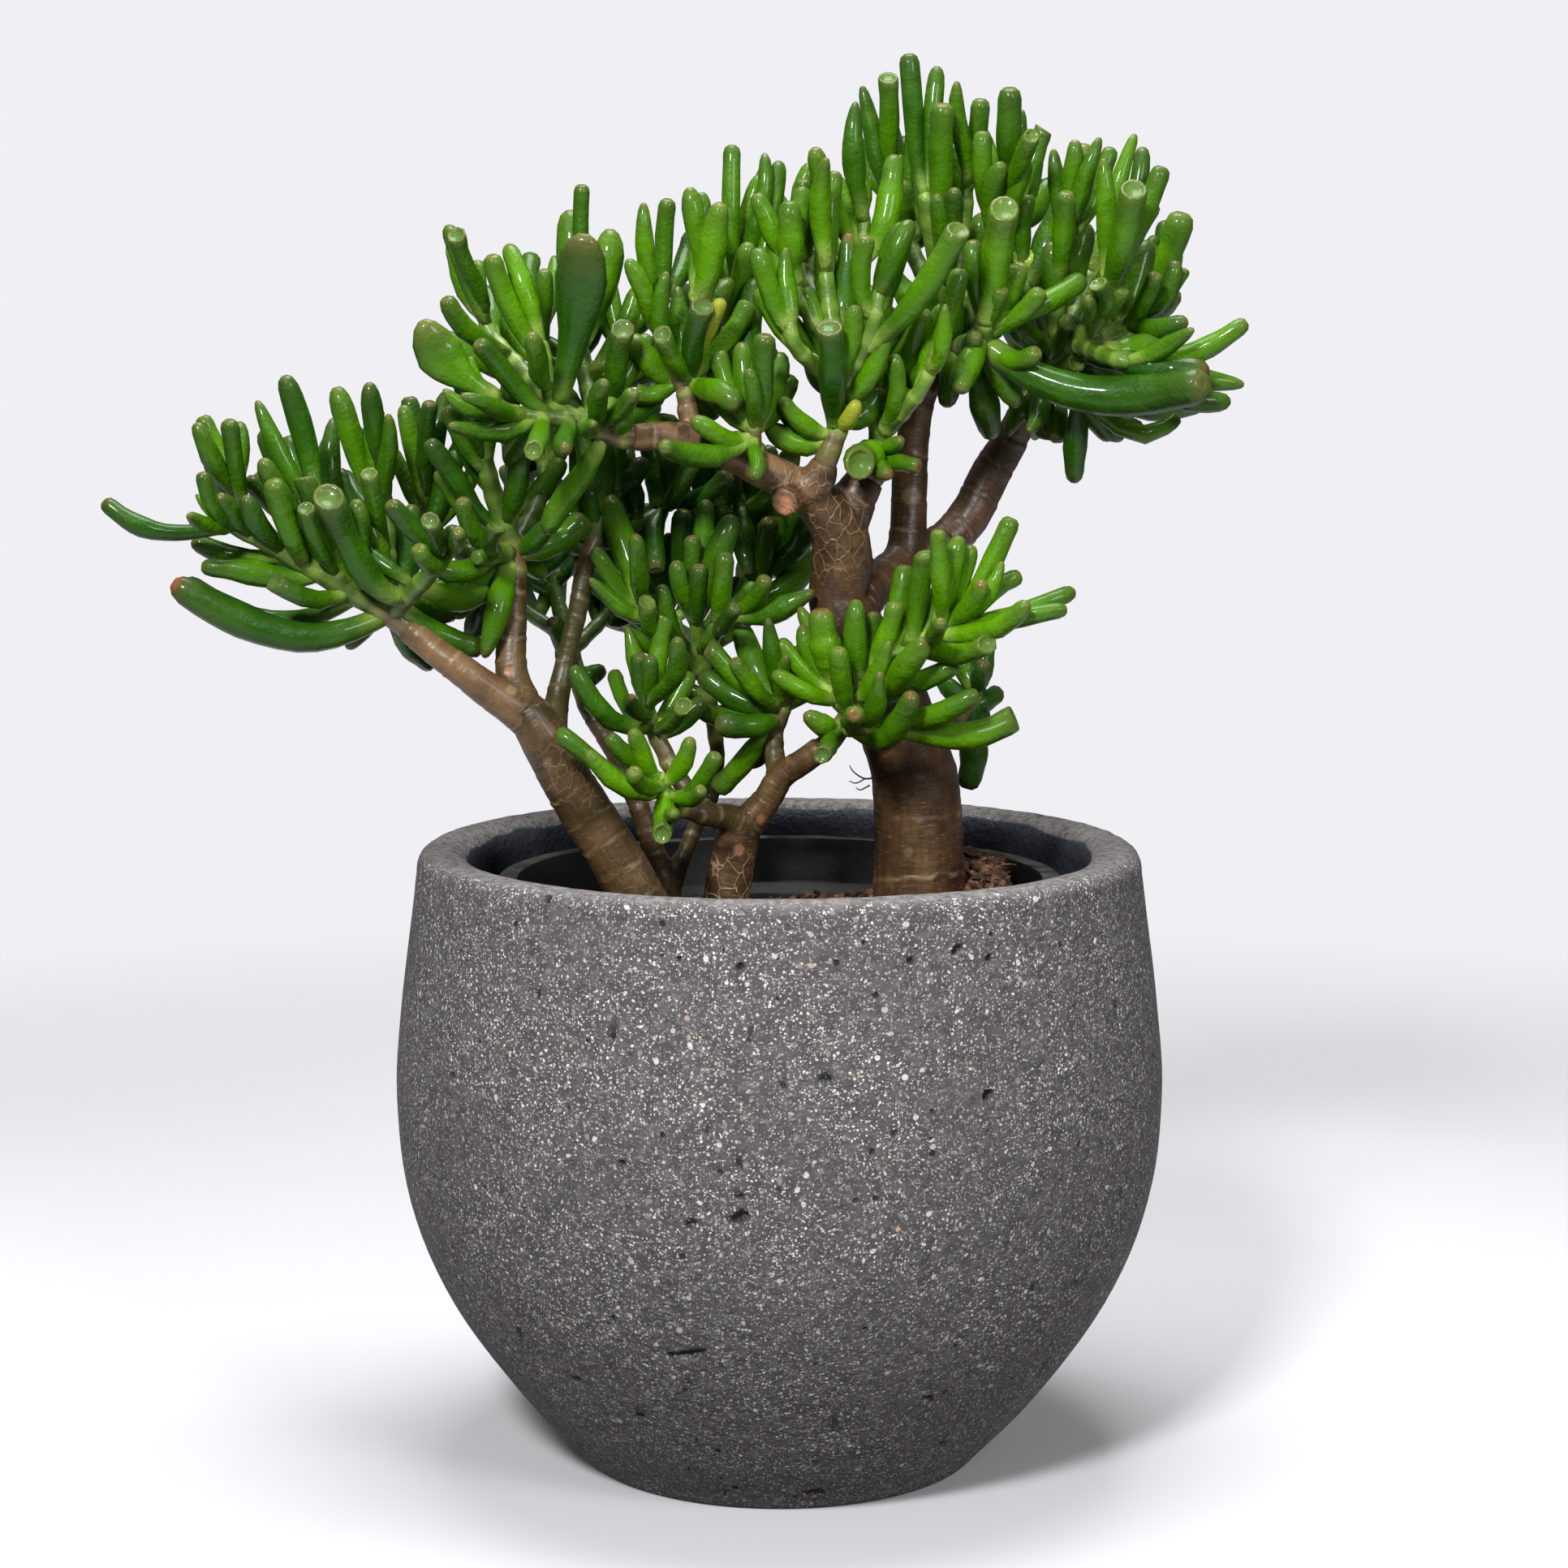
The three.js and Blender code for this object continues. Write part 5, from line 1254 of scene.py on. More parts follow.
def ring_by_ring(name: str, rings: Sequence[tuple[float, float, float]], sides: int) -> Object:
    """Models a closed form from a circle that is extruded and resized ring by ring.

    Args:
        name: the piece's name.
        rings: (height, half width, half depth) of each ring, in the order of the extrusion.
        sides: faces round the form.

    Returns:
        The new object, with ring n in points n * sides to (n + 1) * sides.
    """
    choose()
    height, wide, deep = rings[0]
    bpy.ops.mesh.primitive_circle_add(vertices=sides, radius=1, calc_uvs=False)
    piece = bpy.context.object
    piece.name = piece.data.name = name
    with editing(piece):
        bpy.ops.transform.resize(value=(wide, deep, 1), center_override=(0, 0, 0))
        bpy.ops.transform.translate(value=(0, 0, height))
        for low, high in zip(rings, rings[1:]):
            bpy.ops.mesh.extrude_region_move(TRANSFORM_OT_translate={"value": (0, 0, high[0] - low[0])})
            grown = (high[1] / low[1], high[2] / low[2], 1)
            bpy.ops.transform.resize(value=grown, center_override=(0, 0, 0))
        bpy.ops.mesh.select_all(action="SELECT")
        bpy.ops.mesh.fill_holes(sides=0)
        bpy.ops.mesh.select_all(action="SELECT")
        bpy.ops.mesh.normals_make_consistent(inside=False)
    bpy.ops.object.shade_smooth()
    return piece


class Copies:
    """Copies of patterns, each with a mesh of its own, until they are joined in one piece."""

    def __init__(self, *first: Object) -> None:
        """Starts with these objects, or with none."""
        self.objects: list[Object] = list(first)

    def add(self, pattern: Object, points: Array) -> bpy.types.Mesh:
        """Adds a copy of a pattern.

        Args:
            pattern: the pattern.
            points: the places of the copy's points, in metres.

        Returns:
            The copy's mesh.
        """
        mesh = pattern.data.copy()
        move_points(mesh, points)
        copy = bpy.data.objects.new(pattern.name, mesh)
        bpy.context.scene.collection.objects.link(copy)
        self.objects.append(copy)
        return mesh

    def joined(self, name: str) -> Object:
        """Gives the copies, joined in one object of that name.

        Args:
            name: The object's name.

        Returns:
            The object.
        """
        choose(*self.objects)
        bpy.ops.object.join()
        piece = bpy.context.object
        piece.name = piece.data.name = name
        return piece


class Line:
    """A centre line, in millimetres, with a side and a front direction carried along it."""

    BLOCK = 20000

    def __init__(self, chain: Chain) -> None:
        """Measures a chain's line and carries its first, level side along it.

        Args:
            chain: The chain.
        """
        points = self.points = chain.points
        self.radii = chain.radii
        self.run = np.concatenate(([0.0], np.cumsum(np.linalg.norm(np.diff(points, axis=0), axis=1))))
        self.along = np.array([unit(way) for way in np.gradient(points, axis=0)])
        side = np.cross(self.along[0], (0, 1, 0))
        if np.linalg.norm(side) < RULE.end_on_limit:
            side = np.array((1.0, 0, 0))
        self.sides = np.empty_like(points)
        for i, way in enumerate(self.along):
            side = unit(side - way * side.dot(way))
            self.sides[i] = side
        self.fronts = np.cross(self.sides, self.along)

    @property
    def length(self) -> float:
        """The line's length."""
        return float(self.run[-1])

    def _at(self, values: Array, run: Array) -> Array:
        """Returns a row of values, such as the points, at distances along the line."""
        return np.stack([np.interp(run, self.run, column) for column in values.T], axis=1)

    def wrap(self, across: Array, front: Array, run: Array) -> Array:
        """Finds places beside the line.

        Args:
            across: how far each point lies to the side.
            front: how far it lies to the front.
            run: how far along the line, which goes on straight past its ends.

        Returns:
            The points.
        """
        inside = np.clip(run, 0, self.length)
        past = (run - inside)[:, None] * self._at(self.along, inside)
        sides = self._at(self.sides, inside) * across[:, None]
        return self._at(self.points, inside) + past + sides + self._at(self.fronts, inside) * front[:, None]

    def tube(self, pattern: Array) -> Array:
        """Gives a pattern's points, with heights from 0 to 1, as a tube round the line.

        Args:
            pattern: The pattern's points.

        Returns:
            The points of the tube.
        """
        run = pattern[:, 2] * self.length
        radii = np.interp(run, self.run, self.radii)
        return self.wrap(pattern[:, 0] * radii, pattern[:, 1] * radii, run)

    def seek(self, points: Array) -> tuple[Array, Array, Array, Array]:
        """Finds the nearest place on the line for each point.

        Args:
            points: rows of three.

        Returns:
            The distance from the line, the run along it, the side offset and the front offset.
        """
        nearest = np.empty(len(points), int)
        for start in range(0, len(points), self.BLOCK):
            block = points[start:start + self.BLOCK, None] - self.points[None]
            nearest[start:start + self.BLOCK] = np.einsum("ijk,ijk->ij", block, block).argmin(1)
        offset = points - self.points[nearest]
        ahead, across, front = (
            np.einsum("ij,ij->i", offset, way[nearest]) for way in (self.along, self.sides, self.fronts)
        )
        return np.linalg.norm(offset, axis=1), self.run[nearest] + ahead, across, front


# Finishes


def paint(red: int, green: int, blue: int) -> Paint:
    """Gives a screen colour as the linear colour that a shader takes.

    Args:
        red: The red part, from 0 to 255.
        green: The green part.
        blue: The blue part.

    Returns:
        The linear colour, with full cover.
    """
    def linear(part: int) -> float:
        """Undoes the screen's curve (the sRGB one) for one part of the colour."""
        share = part / 255
        return share / 12.92 if share <= 0.04045 else ((share + 0.055) / 1.055) ** 2.4
    return linear(red), linear(green), linear(blue), 1.0


@dataclass(frozen=True)
class Grains:
    """Grains or pores in random cells.

    The scale is in cells a metre, least is the share of cells that hold none, widest is the widest one
    as a part of its cell, and edge is how soft its edge is.
    """

    scale: float
    least: float
    widest: float
    edge: float = 0.06


class Recipe:
    """One material, put together node by node."""

    def __init__(self, name: str, **shader: float | Paint) -> None:
        """Starts a material, with what is the same all over it set on the shader itself.

        Args:
            name: The material's name.
            shader: The shader's settings by name.
        """
        self.material = bpy.data.materials.new(name)
        self.material.use_nodes = True
        self.tree = self.material.node_tree
        self.shader = self.tree.nodes["Principled BSDF"]
        for socket, value in shader.items():
            self.shader.inputs[socket.replace("_", " ")].default_value = value
        self.place = self.tree.nodes.new("ShaderNodeTexCoord").outputs["Object"]

    def node(self, kind: str, inputs: dict[str | int, object], **settings: object) -> bpy.types.Node:
        """Adds a node.

        Args:
            kind: the node's type.
            inputs: a value or a socket for each input that isn't left as it is.
            settings: its other settings.

        Returns:
            The node.
        """
        made = self.tree.nodes.new(kind)
        for name, value in settings.items():
            setattr(made, name, value)
        for name, value in inputs.items():
            if isinstance(value, Socket):
                self.tree.links.new(value, made.inputs[name])
            else:
                made.inputs[name].default_value = value
        return made

    def parts(self, value: Socket, kind: str = "XYZ") -> list[Socket]:
        """Returns the three parts of a vector, or of a colour if the kind is Color."""
        return list(self.node(f"ShaderNodeSeparate{kind}", {0: value}).outputs)

    def vector(self, name: str) -> Socket:
        """Returns the vector that a mesh holds under a name."""
        return self.node("ShaderNodeAttribute", {}, attribute_name=name).outputs["Vector"]

    def attribute(self, name: str) -> list[Socket]:
        """Returns the three numbers that a mesh holds under a name."""
        return self.parts(self.vector(name))

    def noise(self, scale: float, detail: float = 2.0, at: Socket | None = None) -> Socket:
        """Returns soft noise round a half, with its scale in cells a metre."""
        inputs = {"Vector": at or self.place, "Scale": scale, "Detail": detail}
        return self.node("ShaderNodeTexNoise", inputs).outputs["Fac"]

    def cells(self, scale: float, feature: str = "F1", at: Socket | None = None) -> bpy.types.Node:
        """Returns a node of random cells, with its scale in cells a metre."""
        inputs = {"Vector": at or self.place, "Scale": scale}
        return self.node("ShaderNodeTexVoronoi", inputs, feature=feature)

    def grains(self, kind: Grains, at: Socket | None = None) -> tuple[Socket, Socket]:
        """Strews grains or pores.

        Args:
            kind: what they are like.
            at: the place to look them up at, if it isn't the plain one.

        Returns:
            How far a place is in one of them, and a random number for each.
        """
        cells = self.cells(kind.scale, at=at)
        lot = self.parts(cells.outputs["Color"], "Color")
        reach = self.times(self.step(lot[0], kind.least, 1.0), kind.widest)
        inside = self.sum("SUBTRACT", reach, cells.outputs["Distance"])
        return self.step(inside, 0.0, kind.edge), lot[1]

    def warped(self, scale: float, reach: float) -> Socket:
        """Gives the place moved by soft noise, so that cells don't line up with the axes.

        Args:
            scale: The noise's cells a metre.
            reach: How far it moves a place, in metres.

        Returns:
            The moved place.
        """
        drift = self.node("ShaderNodeTexNoise", {"Vector": self.place, "Scale": scale}).outputs["Color"]
        inputs = {0: drift, 1: (reach,) * 3, 2: self.place}
        return self.node("ShaderNodeVectorMath", inputs, operation="MULTIPLY_ADD").outputs[0]

    def stretched(self, vector: Socket, factors: Row) -> Socket:
        """Returns a vector with each part multiplied by a factor."""
        return self.node("ShaderNodeVectorMath", {0: vector, 1: factors}, operation="MULTIPLY").outputs[0]

    def sum(self, kind: str, first: object, second: object = 0.0, clamp: bool = False) -> Socket:
        """Returns a sum of two numbers, of a kind such as SUBTRACT."""
        node = self.node("ShaderNodeMath", {0: first, 1: second}, operation=kind, use_clamp=clamp)
        return node.outputs[0]

    def times(self, first: object, second: object) -> Socket:
        """Returns two numbers multiplied."""
        return self.sum("MULTIPLY", first, second)

    def plus(self, base: object, value: object, share: float) -> Socket:
        """Returns a number and a share of another one on top of it."""
        return self.sum("ADD", base, self.times(value, share))

    def step(self, value: object, low: float, high: float) -> Socket:
        """Gives a soft step of a value, from 0 at low to 1 at high.

        Args:
            value: The value.
            low: Where the step starts.
            high: Where it ends.

        Returns:
            The step.
        """
        inputs = {"Value": value, "From Min": low, "From Max": high}
        node = self.node("ShaderNodeMapRange", inputs, interpolation_type="SMOOTHSTEP")
        return node.outputs["Result"]

    def ramp(self, value: Socket, stops: Sequence[tuple[float, Paint]]) -> Socket:
        """Lays colours along a value.

        Args:
            value: the value, from 0 to 1.
            stops: where along it each colour stands.

        Returns:
            The colour.
        """
        node = self.node("ShaderNodeValToRGB", {"Fac": value})
        band = node.color_ramp.elements
        while len(band) < len(stops):
            band.new(0.5)
        for element, (position, colour) in zip(band, stops):
            element.position = position
            element.color = colour
        return node.outputs["Color"]

    def mix(self, share: object, first: object, second: object) -> Socket:
        """Returns a mix of two colours."""
        return self.node("ShaderNodeMix", {0: share, 6: first, 7: second}, data_type="RGBA").outputs[2]

    def cover(self, colour: Socket, other: object, where: Socket, share: float) -> Socket:
        """Returns a colour with at most a share of another one over it."""
        return self.mix(self.times(where, share), colour, other)

    def bump(self, height: Socket, depth: float, under: Socket | None = None) -> Socket:
        """Gives a normal with relief of a depth in metres, on top of another relief.

        Args:
            height: The height, from 0 to 1.
            depth: The relief's depth in metres.
            under: The normal of another relief, if there is one.

        Returns:
            The normal.
        """
        inputs = {"Height": height, "Distance": depth, "Strength": 1.0}
        if under is not None:
            inputs["Normal"] = under
        return self.node("ShaderNodeBump", inputs).outputs["Normal"]

    def relief(self, form: Row, under: Socket | None = None) -> Socket:
        """Returns a normal with the relief of a (scale, detail, depth), on top of another relief."""
        return self.bump(self.noise(*form[:2]), form[2], under)

    def finish(self, colour: Socket, roughness: Socket, normal: Socket) -> bpy.types.Material:
        """Feeds the shader and returns the material.

        Args:
            colour: The colour.
            roughness: The roughness.
            normal: The normal.

        Returns:
            The material.
        """
        for name, socket in (("Base Color", colour), ("Roughness", roughness), ("Normal", normal)):
            self.tree.links.new(socket, self.shader.inputs[name])
        return self.material


# In the finishes a texture is (cells a metre, detail), an edge is where a soft step starts and ends, and
# a relief is (cells a metre, detail, depth in metres).


@dataclass(frozen=True)
class StoneFinish:
    """Cast stone full of fine pale chips, with pits darkened by painted shade, a smoother rim whose paler
    top is partly wear and partly painted highlight, and a slate-dark inside.
    """

    body: Paint = paint(80, 77, 79)
    smear: Paint = paint(106, 102, 104)
    rim: Paint = paint(150, 144, 141)
    pit: Paint = paint(24, 23, 25)
    slate: Paint = paint(54, 57, 66)
    grey_chip: Paint = paint(146, 143, 144)
    white_chip: Paint = paint(230, 227, 225)
    cream_chip: Paint = paint(206, 178, 148)
    chips: tuple[Grains, ...] = (Grains(1150, 0.2, 0.55), Grains(720, 0.32, 0.52), Grains(300, 0.8, 0.42))
    chip_drift: Row = (30, 0.012)
    pores: Grains = Grains(130, 0.86, 0.2, 0.05)
    patches: Row = (24, 4)
    patch_edge: Row = (0.36, 0.62)
    smears: Row = (160, 5)
    smear_edge: Row = (0.3, 0.8)
    wear: Row = (300, 5)
    wear_edge: Row = (0.3, 0.7)
    lining_edge: Row = (0.3, 0.7)
    bare_share: float = 0.45
    bare_rim: float = 0.8
    worn_and_highlight_share: float = 0.7
    hollow_shade_share: float = 0.85
    roughness: float = 0.86
    smoother_inside: float = -0.3
    coarse: Row = (260, 3, 0.0012)
    fine: Row = (900, 3, 0.0005)
    pore_depth: float = 0.0012

    def material(self) -> bpy.types.Material:
        """Builds the material.

        Returns:
            The material.
        """
        recipe = Recipe("cast_stone", Specular_IOR_Level=0.3)
        inner, pit, top = recipe.attribute("planter_place")
        patches = recipe.step(recipe.noise(*self.patches), *self.patch_edge)
        smeared = recipe.step(recipe.noise(*self.smears), *self.smear_edge)
        colour = recipe.mix(smeared, self.body, self.smear)
        bare = recipe.times(recipe.sum("SUBTRACT", 1.0, patches), self.bare_share)
        fewer = recipe.sum("MAXIMUM", bare, recipe.times(top, self.bare_rim))
        covered = recipe.sum("SUBTRACT", 1.0, fewer, clamp=True)
        stops = [(0.0, self.grey_chip), (0.5, self.grey_chip), (0.72, self.white_chip),
                 (0.93, self.white_chip), (0.96, self.cream_chip), (1.0, self.cream_chip)]
        drifted = recipe.warped(*self.chip_drift)
        for chips in self.chips:
            inside, lot = recipe.grains(chips, drifted)
            colour = recipe.mix(recipe.times(inside, covered), colour, recipe.ramp(lot, stops))
        # Paler rim top: partly wear, partly a painted highlight on the top that faces the light.
        worn_and_highlit = recipe.times(top, recipe.step(recipe.noise(*self.wear), *self.wear_edge))
        colour = recipe.cover(colour, self.rim, worn_and_highlit, self.worn_and_highlight_share)
        lining = recipe.step(inner, *self.lining_edge)
        colour = recipe.mix(lining, colour, self.slate)
        # Painted shade: pores and pits are darkened as if shadowed in their hollows.
        pore, _ = recipe.grains(self.pores)
        shaded_hollow = recipe.sum("MAXIMUM", pore, pit, clamp=True)
        colour = recipe.cover(colour, self.pit, shaded_hollow, self.hollow_shade_share)
        grain = recipe.relief(self.fine, recipe.relief(self.coarse))
        normal = recipe.bump(recipe.sum("SUBTRACT", 1.0, pore), self.pore_depth, grain)
        return recipe.finish(colour, recipe.plus(self.roughness, lining, self.smoother_inside), normal)


@dataclass(frozen=True)
class PlasticFinish:
    """Black nursery plastic, satin, with dust on what faces up."""

    black: Paint = paint(8, 9, 10)
    dust: Paint = paint(92, 90, 88)
    dusty_slope: Row = (0.55, 0.98)
    dusting: Row = (70, 5)
    dust_edge: Row = (0.3, 0.72)
    dust_share: float = 0.62
    roughness: float = 0.42
    dust_roughness: float = 0.4
    relief: Row = (400, 3, 0.0001)

    def material(self) -> bpy.types.Material:
        """Builds the material.

        Returns:
            The material.
        """
        recipe = Recipe("nursery_plastic", Specular_IOR_Level=0.35)
        up = recipe.parts(recipe.node("ShaderNodeNewGeometry", {}).outputs["Normal"])[2]
        patches = recipe.step(recipe.noise(*self.dusting), *self.dust_edge)
        dusty = recipe.times(recipe.step(up, *self.dusty_slope), patches)
        colour = recipe.mix(recipe.times(dusty, self.dust_share), self.black, self.dust)
        roughness = recipe.plus(self.roughness, dusty, self.dust_roughness)
        return recipe.finish(colour, roughness, recipe.relief(self.relief))


@dataclass(frozen=True)
class SoilFinish:
    """Dark crumbly potting mix with brown fibre in it."""

    dark: Paint = paint(33, 24, 20)
    brown: Paint = paint(84, 60, 48)
    pale: Paint = paint(138, 102, 76)
    crumbs: Row = (260, 6)
    tone_share: float = 0.34
    roughness: float = 0.8
    uneven_roughness: float = 0.15
    damp: Row = (90, 2)
    relief: Row = (700, 6, 0.0012)

    def material(self) -> bpy.types.Material:
        """Builds the material.

        Returns:
            The material.
        """
        recipe = Recipe("potting_mix", Specular_IOR_Level=0.2)
        lot, _, _ = recipe.attribute("crumb_tone")
        stops = [(0.25, self.dark), (0.52, self.brown), (0.8, self.pale)]
        shade = recipe.plus(recipe.noise(*self.crumbs), lot, self.tone_share)
        colour = recipe.ramp(recipe.sum("SUBTRACT", shade, self.tone_share / 2), stops)
        roughness = recipe.plus(self.roughness, recipe.noise(*self.damp), self.uneven_roughness)
        return recipe.finish(colour, roughness, recipe.relief(self.relief))


@dataclass(frozen=True)
class BarkFinish:
    """Smooth satin bark with fine wrinkles and streaks, pale ring scars, pale nets and raw cuts."""

    deep: Paint = paint(46, 31, 20)
    brown: Paint = paint(80, 56, 34)
    tan: Paint = paint(132, 101, 67)
    young: Paint = paint(142, 111, 77)
    scar: Paint = paint(180, 152, 116)
    raw: Paint = paint(206, 120, 78)
    olive: Paint = paint(74, 80, 36)
    lengthwise: Row = (1, 1, 0.2)
    crosswise: Row = (0.22, 0.22, 1)
    netwise: Row = (1, 1, 0.6)
    streaks: Row = (420, 4)
    wrinkles: Row = (640, 3)
    patches: Row = (60, 4)
    streak_share: float = 0.18
    wrinkle_share: float = 0.12
    patch_share: float = 0.7
    young_edge: Row = (0.25, 0.6)
    green_share: float = 0.7
    net_drift: Row = (110, 0.006)
    net_scale: float = 175
    net_edge: Row = (0.07, 0.02)
    fibres: Row = (1100, 2)
    fibre_edge: Row = (0.63, 0.7)
    fibre_share: float = 0.4
    pale_share: float = 0.62
    dark_share: float = 0.55
    roughness: float = 0.3
    streak_roughness: float = 0.22
    cut_roughness: float = 0.3
    fine_depth: float = 0.0003
    net_depth: float = 0.0006

    def material(self) -> bpy.types.Material:
        """Builds the material.

        Returns:
            The material.
        """
        recipe = Recipe("bark", Specular_IOR_Level=0.35, Coat_Weight=0.18, Coat_Roughness=0.3)
        grain = recipe.vector("bark_grain")
        long, wide = recipe.stretched(grain, self.lengthwise), recipe.stretched(grain, self.crosswise)
        ring, cut, net = recipe.attribute("bark_marks")
        green, dark, tan = recipe.attribute("bark_tone")
        streak, wrinkle = recipe.noise(*self.streaks, long), recipe.noise(*self.wrinkles, wide)
        patch = recipe.noise(*self.patches)
        lines = recipe.plus(recipe.times(streak, self.streak_share), wrinkle, self.wrinkle_share)
        stops = [(0.32, self.deep), (0.52, self.brown), (0.78, self.tan)]
        colour = recipe.ramp(recipe.plus(lines, patch, self.patch_share), stops)
        colour = recipe.mix(recipe.times(tan, recipe.step(patch, *self.young_edge)), colour, self.young)
        colour = recipe.cover(colour, self.olive, green, self.green_share)
        tall = recipe.stretched(recipe.warped(*self.net_drift), self.netwise)
        edge = recipe.cells(self.net_scale, "DISTANCE_TO_EDGE", tall).outputs["Distance"]
        thread = recipe.times(recipe.step(edge, *self.net_edge), net)
        fibre = recipe.step(recipe.noise(*self.fibres, wide), *self.fibre_edge)
        fibre = recipe.times(fibre, self.fibre_share)
        # The pale cover takes nets, fibres and ring marks; one typed ring mark on the main trunk is a
        # painted highlight.
        pale = recipe.sum("MAXIMUM", recipe.sum("MAXIMUM", thread, fibre), ring, clamp=True)
        colour = recipe.cover(colour, self.scar, pale, self.pale_share)
        # Darker tone on marked limbs: partly their own darker bark, partly painted shade on limbs that lie
        # in shadow behind.
        colour = recipe.cover(colour, self.deep, dark, self.dark_share)
        colour = recipe.mix(cut, colour, recipe.mix(recipe.noise(*self.streaks), self.raw, self.scar))
        rough = recipe.plus(self.roughness, streak, self.streak_roughness)
        rough = recipe.plus(rough, cut, self.cut_roughness)
        normal = recipe.bump(streak, self.fine_depth, recipe.bump(thread, self.net_depth))
        return recipe.finish(colour, rough, recipe.bump(wrinkle, self.fine_depth, normal))


@dataclass(frozen=True)
class LeafFinish:
    """Glossy leaf skin: pale at the root, green along the finger, tan or red at the rim of its tip."""

    pale: Paint = paint(176, 204, 94)
    dark_root: Paint = paint(108, 142, 48)
    dark: Paint = paint(34, 78, 4)
    dark_tip: Paint = paint(50, 78, 26)
    light: Paint = paint(90, 144, 2)
    light_tip: Paint = paint(82, 118, 30)
    yellow: Paint = paint(212, 214, 60)
    rim: Paint = paint(122, 106, 62)
    red: Paint = paint(136, 82, 52)
    cup: Paint = paint(92, 122, 54)
    mottles: Row = (55, 3)
    mottling: float = 0.7
    cup_share: float = 0.6
    rim_share: float = 0.42
    red_edge: Row = (0.3, 0.6)
    smudges: Row = (150, 3)
    roughness: float = 0.3
    smudge_roughness: float = 0.24
    dents: Row = (130, 2, 0.0012)
    skin: Row = (600, 3, 0.0004)

    def material(self) -> bpy.types.Material:
        """Builds the material.

        Returns:
            The material.
        """
        recipe = Recipe(
            "leaf_skin", Specular_IOR_Level=0.14, Subsurface_Weight=0.1, Subsurface_Scale=0.003,
            Coat_Weight=0.36, Coat_Roughness=0.07, Coat_IOR=1.4,
        )
        along, rim, cup = recipe.attribute("leaf_place")
        tint, blush, yellow = recipe.attribute("leaf_tone")
        # The tint picks between the dark and the light green: partly the leaves' own variety, partly
        # painted light and shade carried by the tint from the heads' tones and from leaves that lie deeper.
        dark_stops = [(0, self.dark_root), (0.16, self.dark), (0.65, self.dark), (1, self.dark_tip)]
        light_stops = [(0.07, self.pale), (0.28, self.light), (0.65, self.light), (1, self.light_tip)]
        dark, light = recipe.ramp(along, dark_stops), recipe.ramp(along, light_stops)
        mottle = recipe.noise(*self.mottles)
        share = recipe.plus(tint, recipe.sum("SUBTRACT", mottle, 0.5), self.mottling)
        colour = recipe.mix(yellow, recipe.mix(recipe.step(share, 0.0, 1.0), dark, light), self.yellow)
        colour = recipe.cover(colour, self.cup, cup, self.cup_share)
        colour = recipe.cover(colour, self.rim, rim, self.rim_share)
        reddened = recipe.times(recipe.times(rim, blush), recipe.step(mottle, *self.red_edge))
        colour = recipe.mix(reddened, colour, self.red)
        roughness = recipe.plus(self.roughness, recipe.noise(*self.smudges), self.smudge_roughness)
        return recipe.finish(colour, roughness, recipe.relief(self.skin, recipe.relief(self.dents)))


@dataclass(frozen=True)
class TwigFinish:
    """Green twig skin: bark brown where it leaves the limb, pale yellow-green at its joints."""

    bark: Paint = paint(98, 80, 52)
    dull: Paint = paint(58, 82, 22)
    fresh: Paint = paint(104, 146, 34)
    joint: Paint = paint(164, 194, 84)
    fresh_edge: Row = (0.1, 0.8)
    dull_share: float = 0.9
    rags: Row = (120, 4)
    raggedness: float = 0.5
    bark_edge: Row = (0.55, 0.95)
    smudges: Row = (150, 3)
    roughness: float = 0.32
    smudge_roughness: float = 0.2
    relief: Row = (300, 3, 0.0006)

    def material(self) -> bpy.types.Material:
        """Builds the material.

        Returns:
            The material.
        """
        recipe = Recipe(
            "twig_skin", Specular_IOR_Level=0.5, Subsurface_Weight=0.08, Subsurface_Scale=0.003,
            Coat_Weight=0.15, Coat_Roughness=0.2,
        )
        along, joint, _ = recipe.attribute("leaf_place")
        tint, woody, _ = recipe.attribute("leaf_tone")
        colour = recipe.mix(recipe.step(along, *self.fresh_edge), self.dull, self.fresh)
        # Painted shade: twigs of darker heads are covered with the dull green, and their pale joints are
        # weakened.
        colour = recipe.cover(colour, self.dull, recipe.sum("SUBTRACT", 1.0, tint), self.dull_share)
        ragged = recipe.plus(woody, recipe.noise(*self.rags), self.raggedness)
        colour = recipe.mix(recipe.step(ragged, *self.bark_edge), colour, self.bark)
        colour = recipe.mix(recipe.times(joint, tint), colour, self.joint)
        roughness = recipe.plus(self.roughness, recipe.noise(*self.smudges), self.smudge_roughness)
        return recipe.finish(colour, roughness, recipe.relief(self.relief))


def set_in_place(piece: Object, finishes: Sequence[bpy.types.Material], node: str) -> None:
    """Dresses a finished piece and lets it stand for a solid of the frame.

    Args:
        piece: the finished piece.
        finishes: its materials, in the order of its slots, or none to keep those that it has.
        node: the solid that it stands for.
    """
    for finish in finishes:
        piece.data.materials.append(finish)
    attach(piece, BODY)
    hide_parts(node)
    piece.data.calc_loop_triangles()
    LOG.info("%s: %d triangles", piece.name, len(piece.data.loop_triangles))


# The pots


def smooth_outline(rows: Rows, steps: int) -> list[tuple[float, float]]:
    """Returns a smooth curve through an outline's (radius, height) points."""
    flat = Chain(np.array([(radius, 0, height) for radius, height in rows], float), np.zeros(len(rows)))
    return [(float(point[0]), float(point[2])) for point in flat.smoothed(steps).points]


def turned(name: str, outline: Sequence[tuple[float, float]], segments: int) -> Object:
    """Turns an outline of (radius, height) points, in millimetres, and closes its two ends."""
    return ring_by_ring(name, [(h * MM, r * MM, r * MM) for r, h in outline], segments)


def outward(points: Array) -> Array:
    """Returns the level direction away from the planter's axis at each point."""
    level = points * (1, 1, 0)
    return level / np.maximum(np.linalg.norm(level, axis=1), TINY)[:, None]


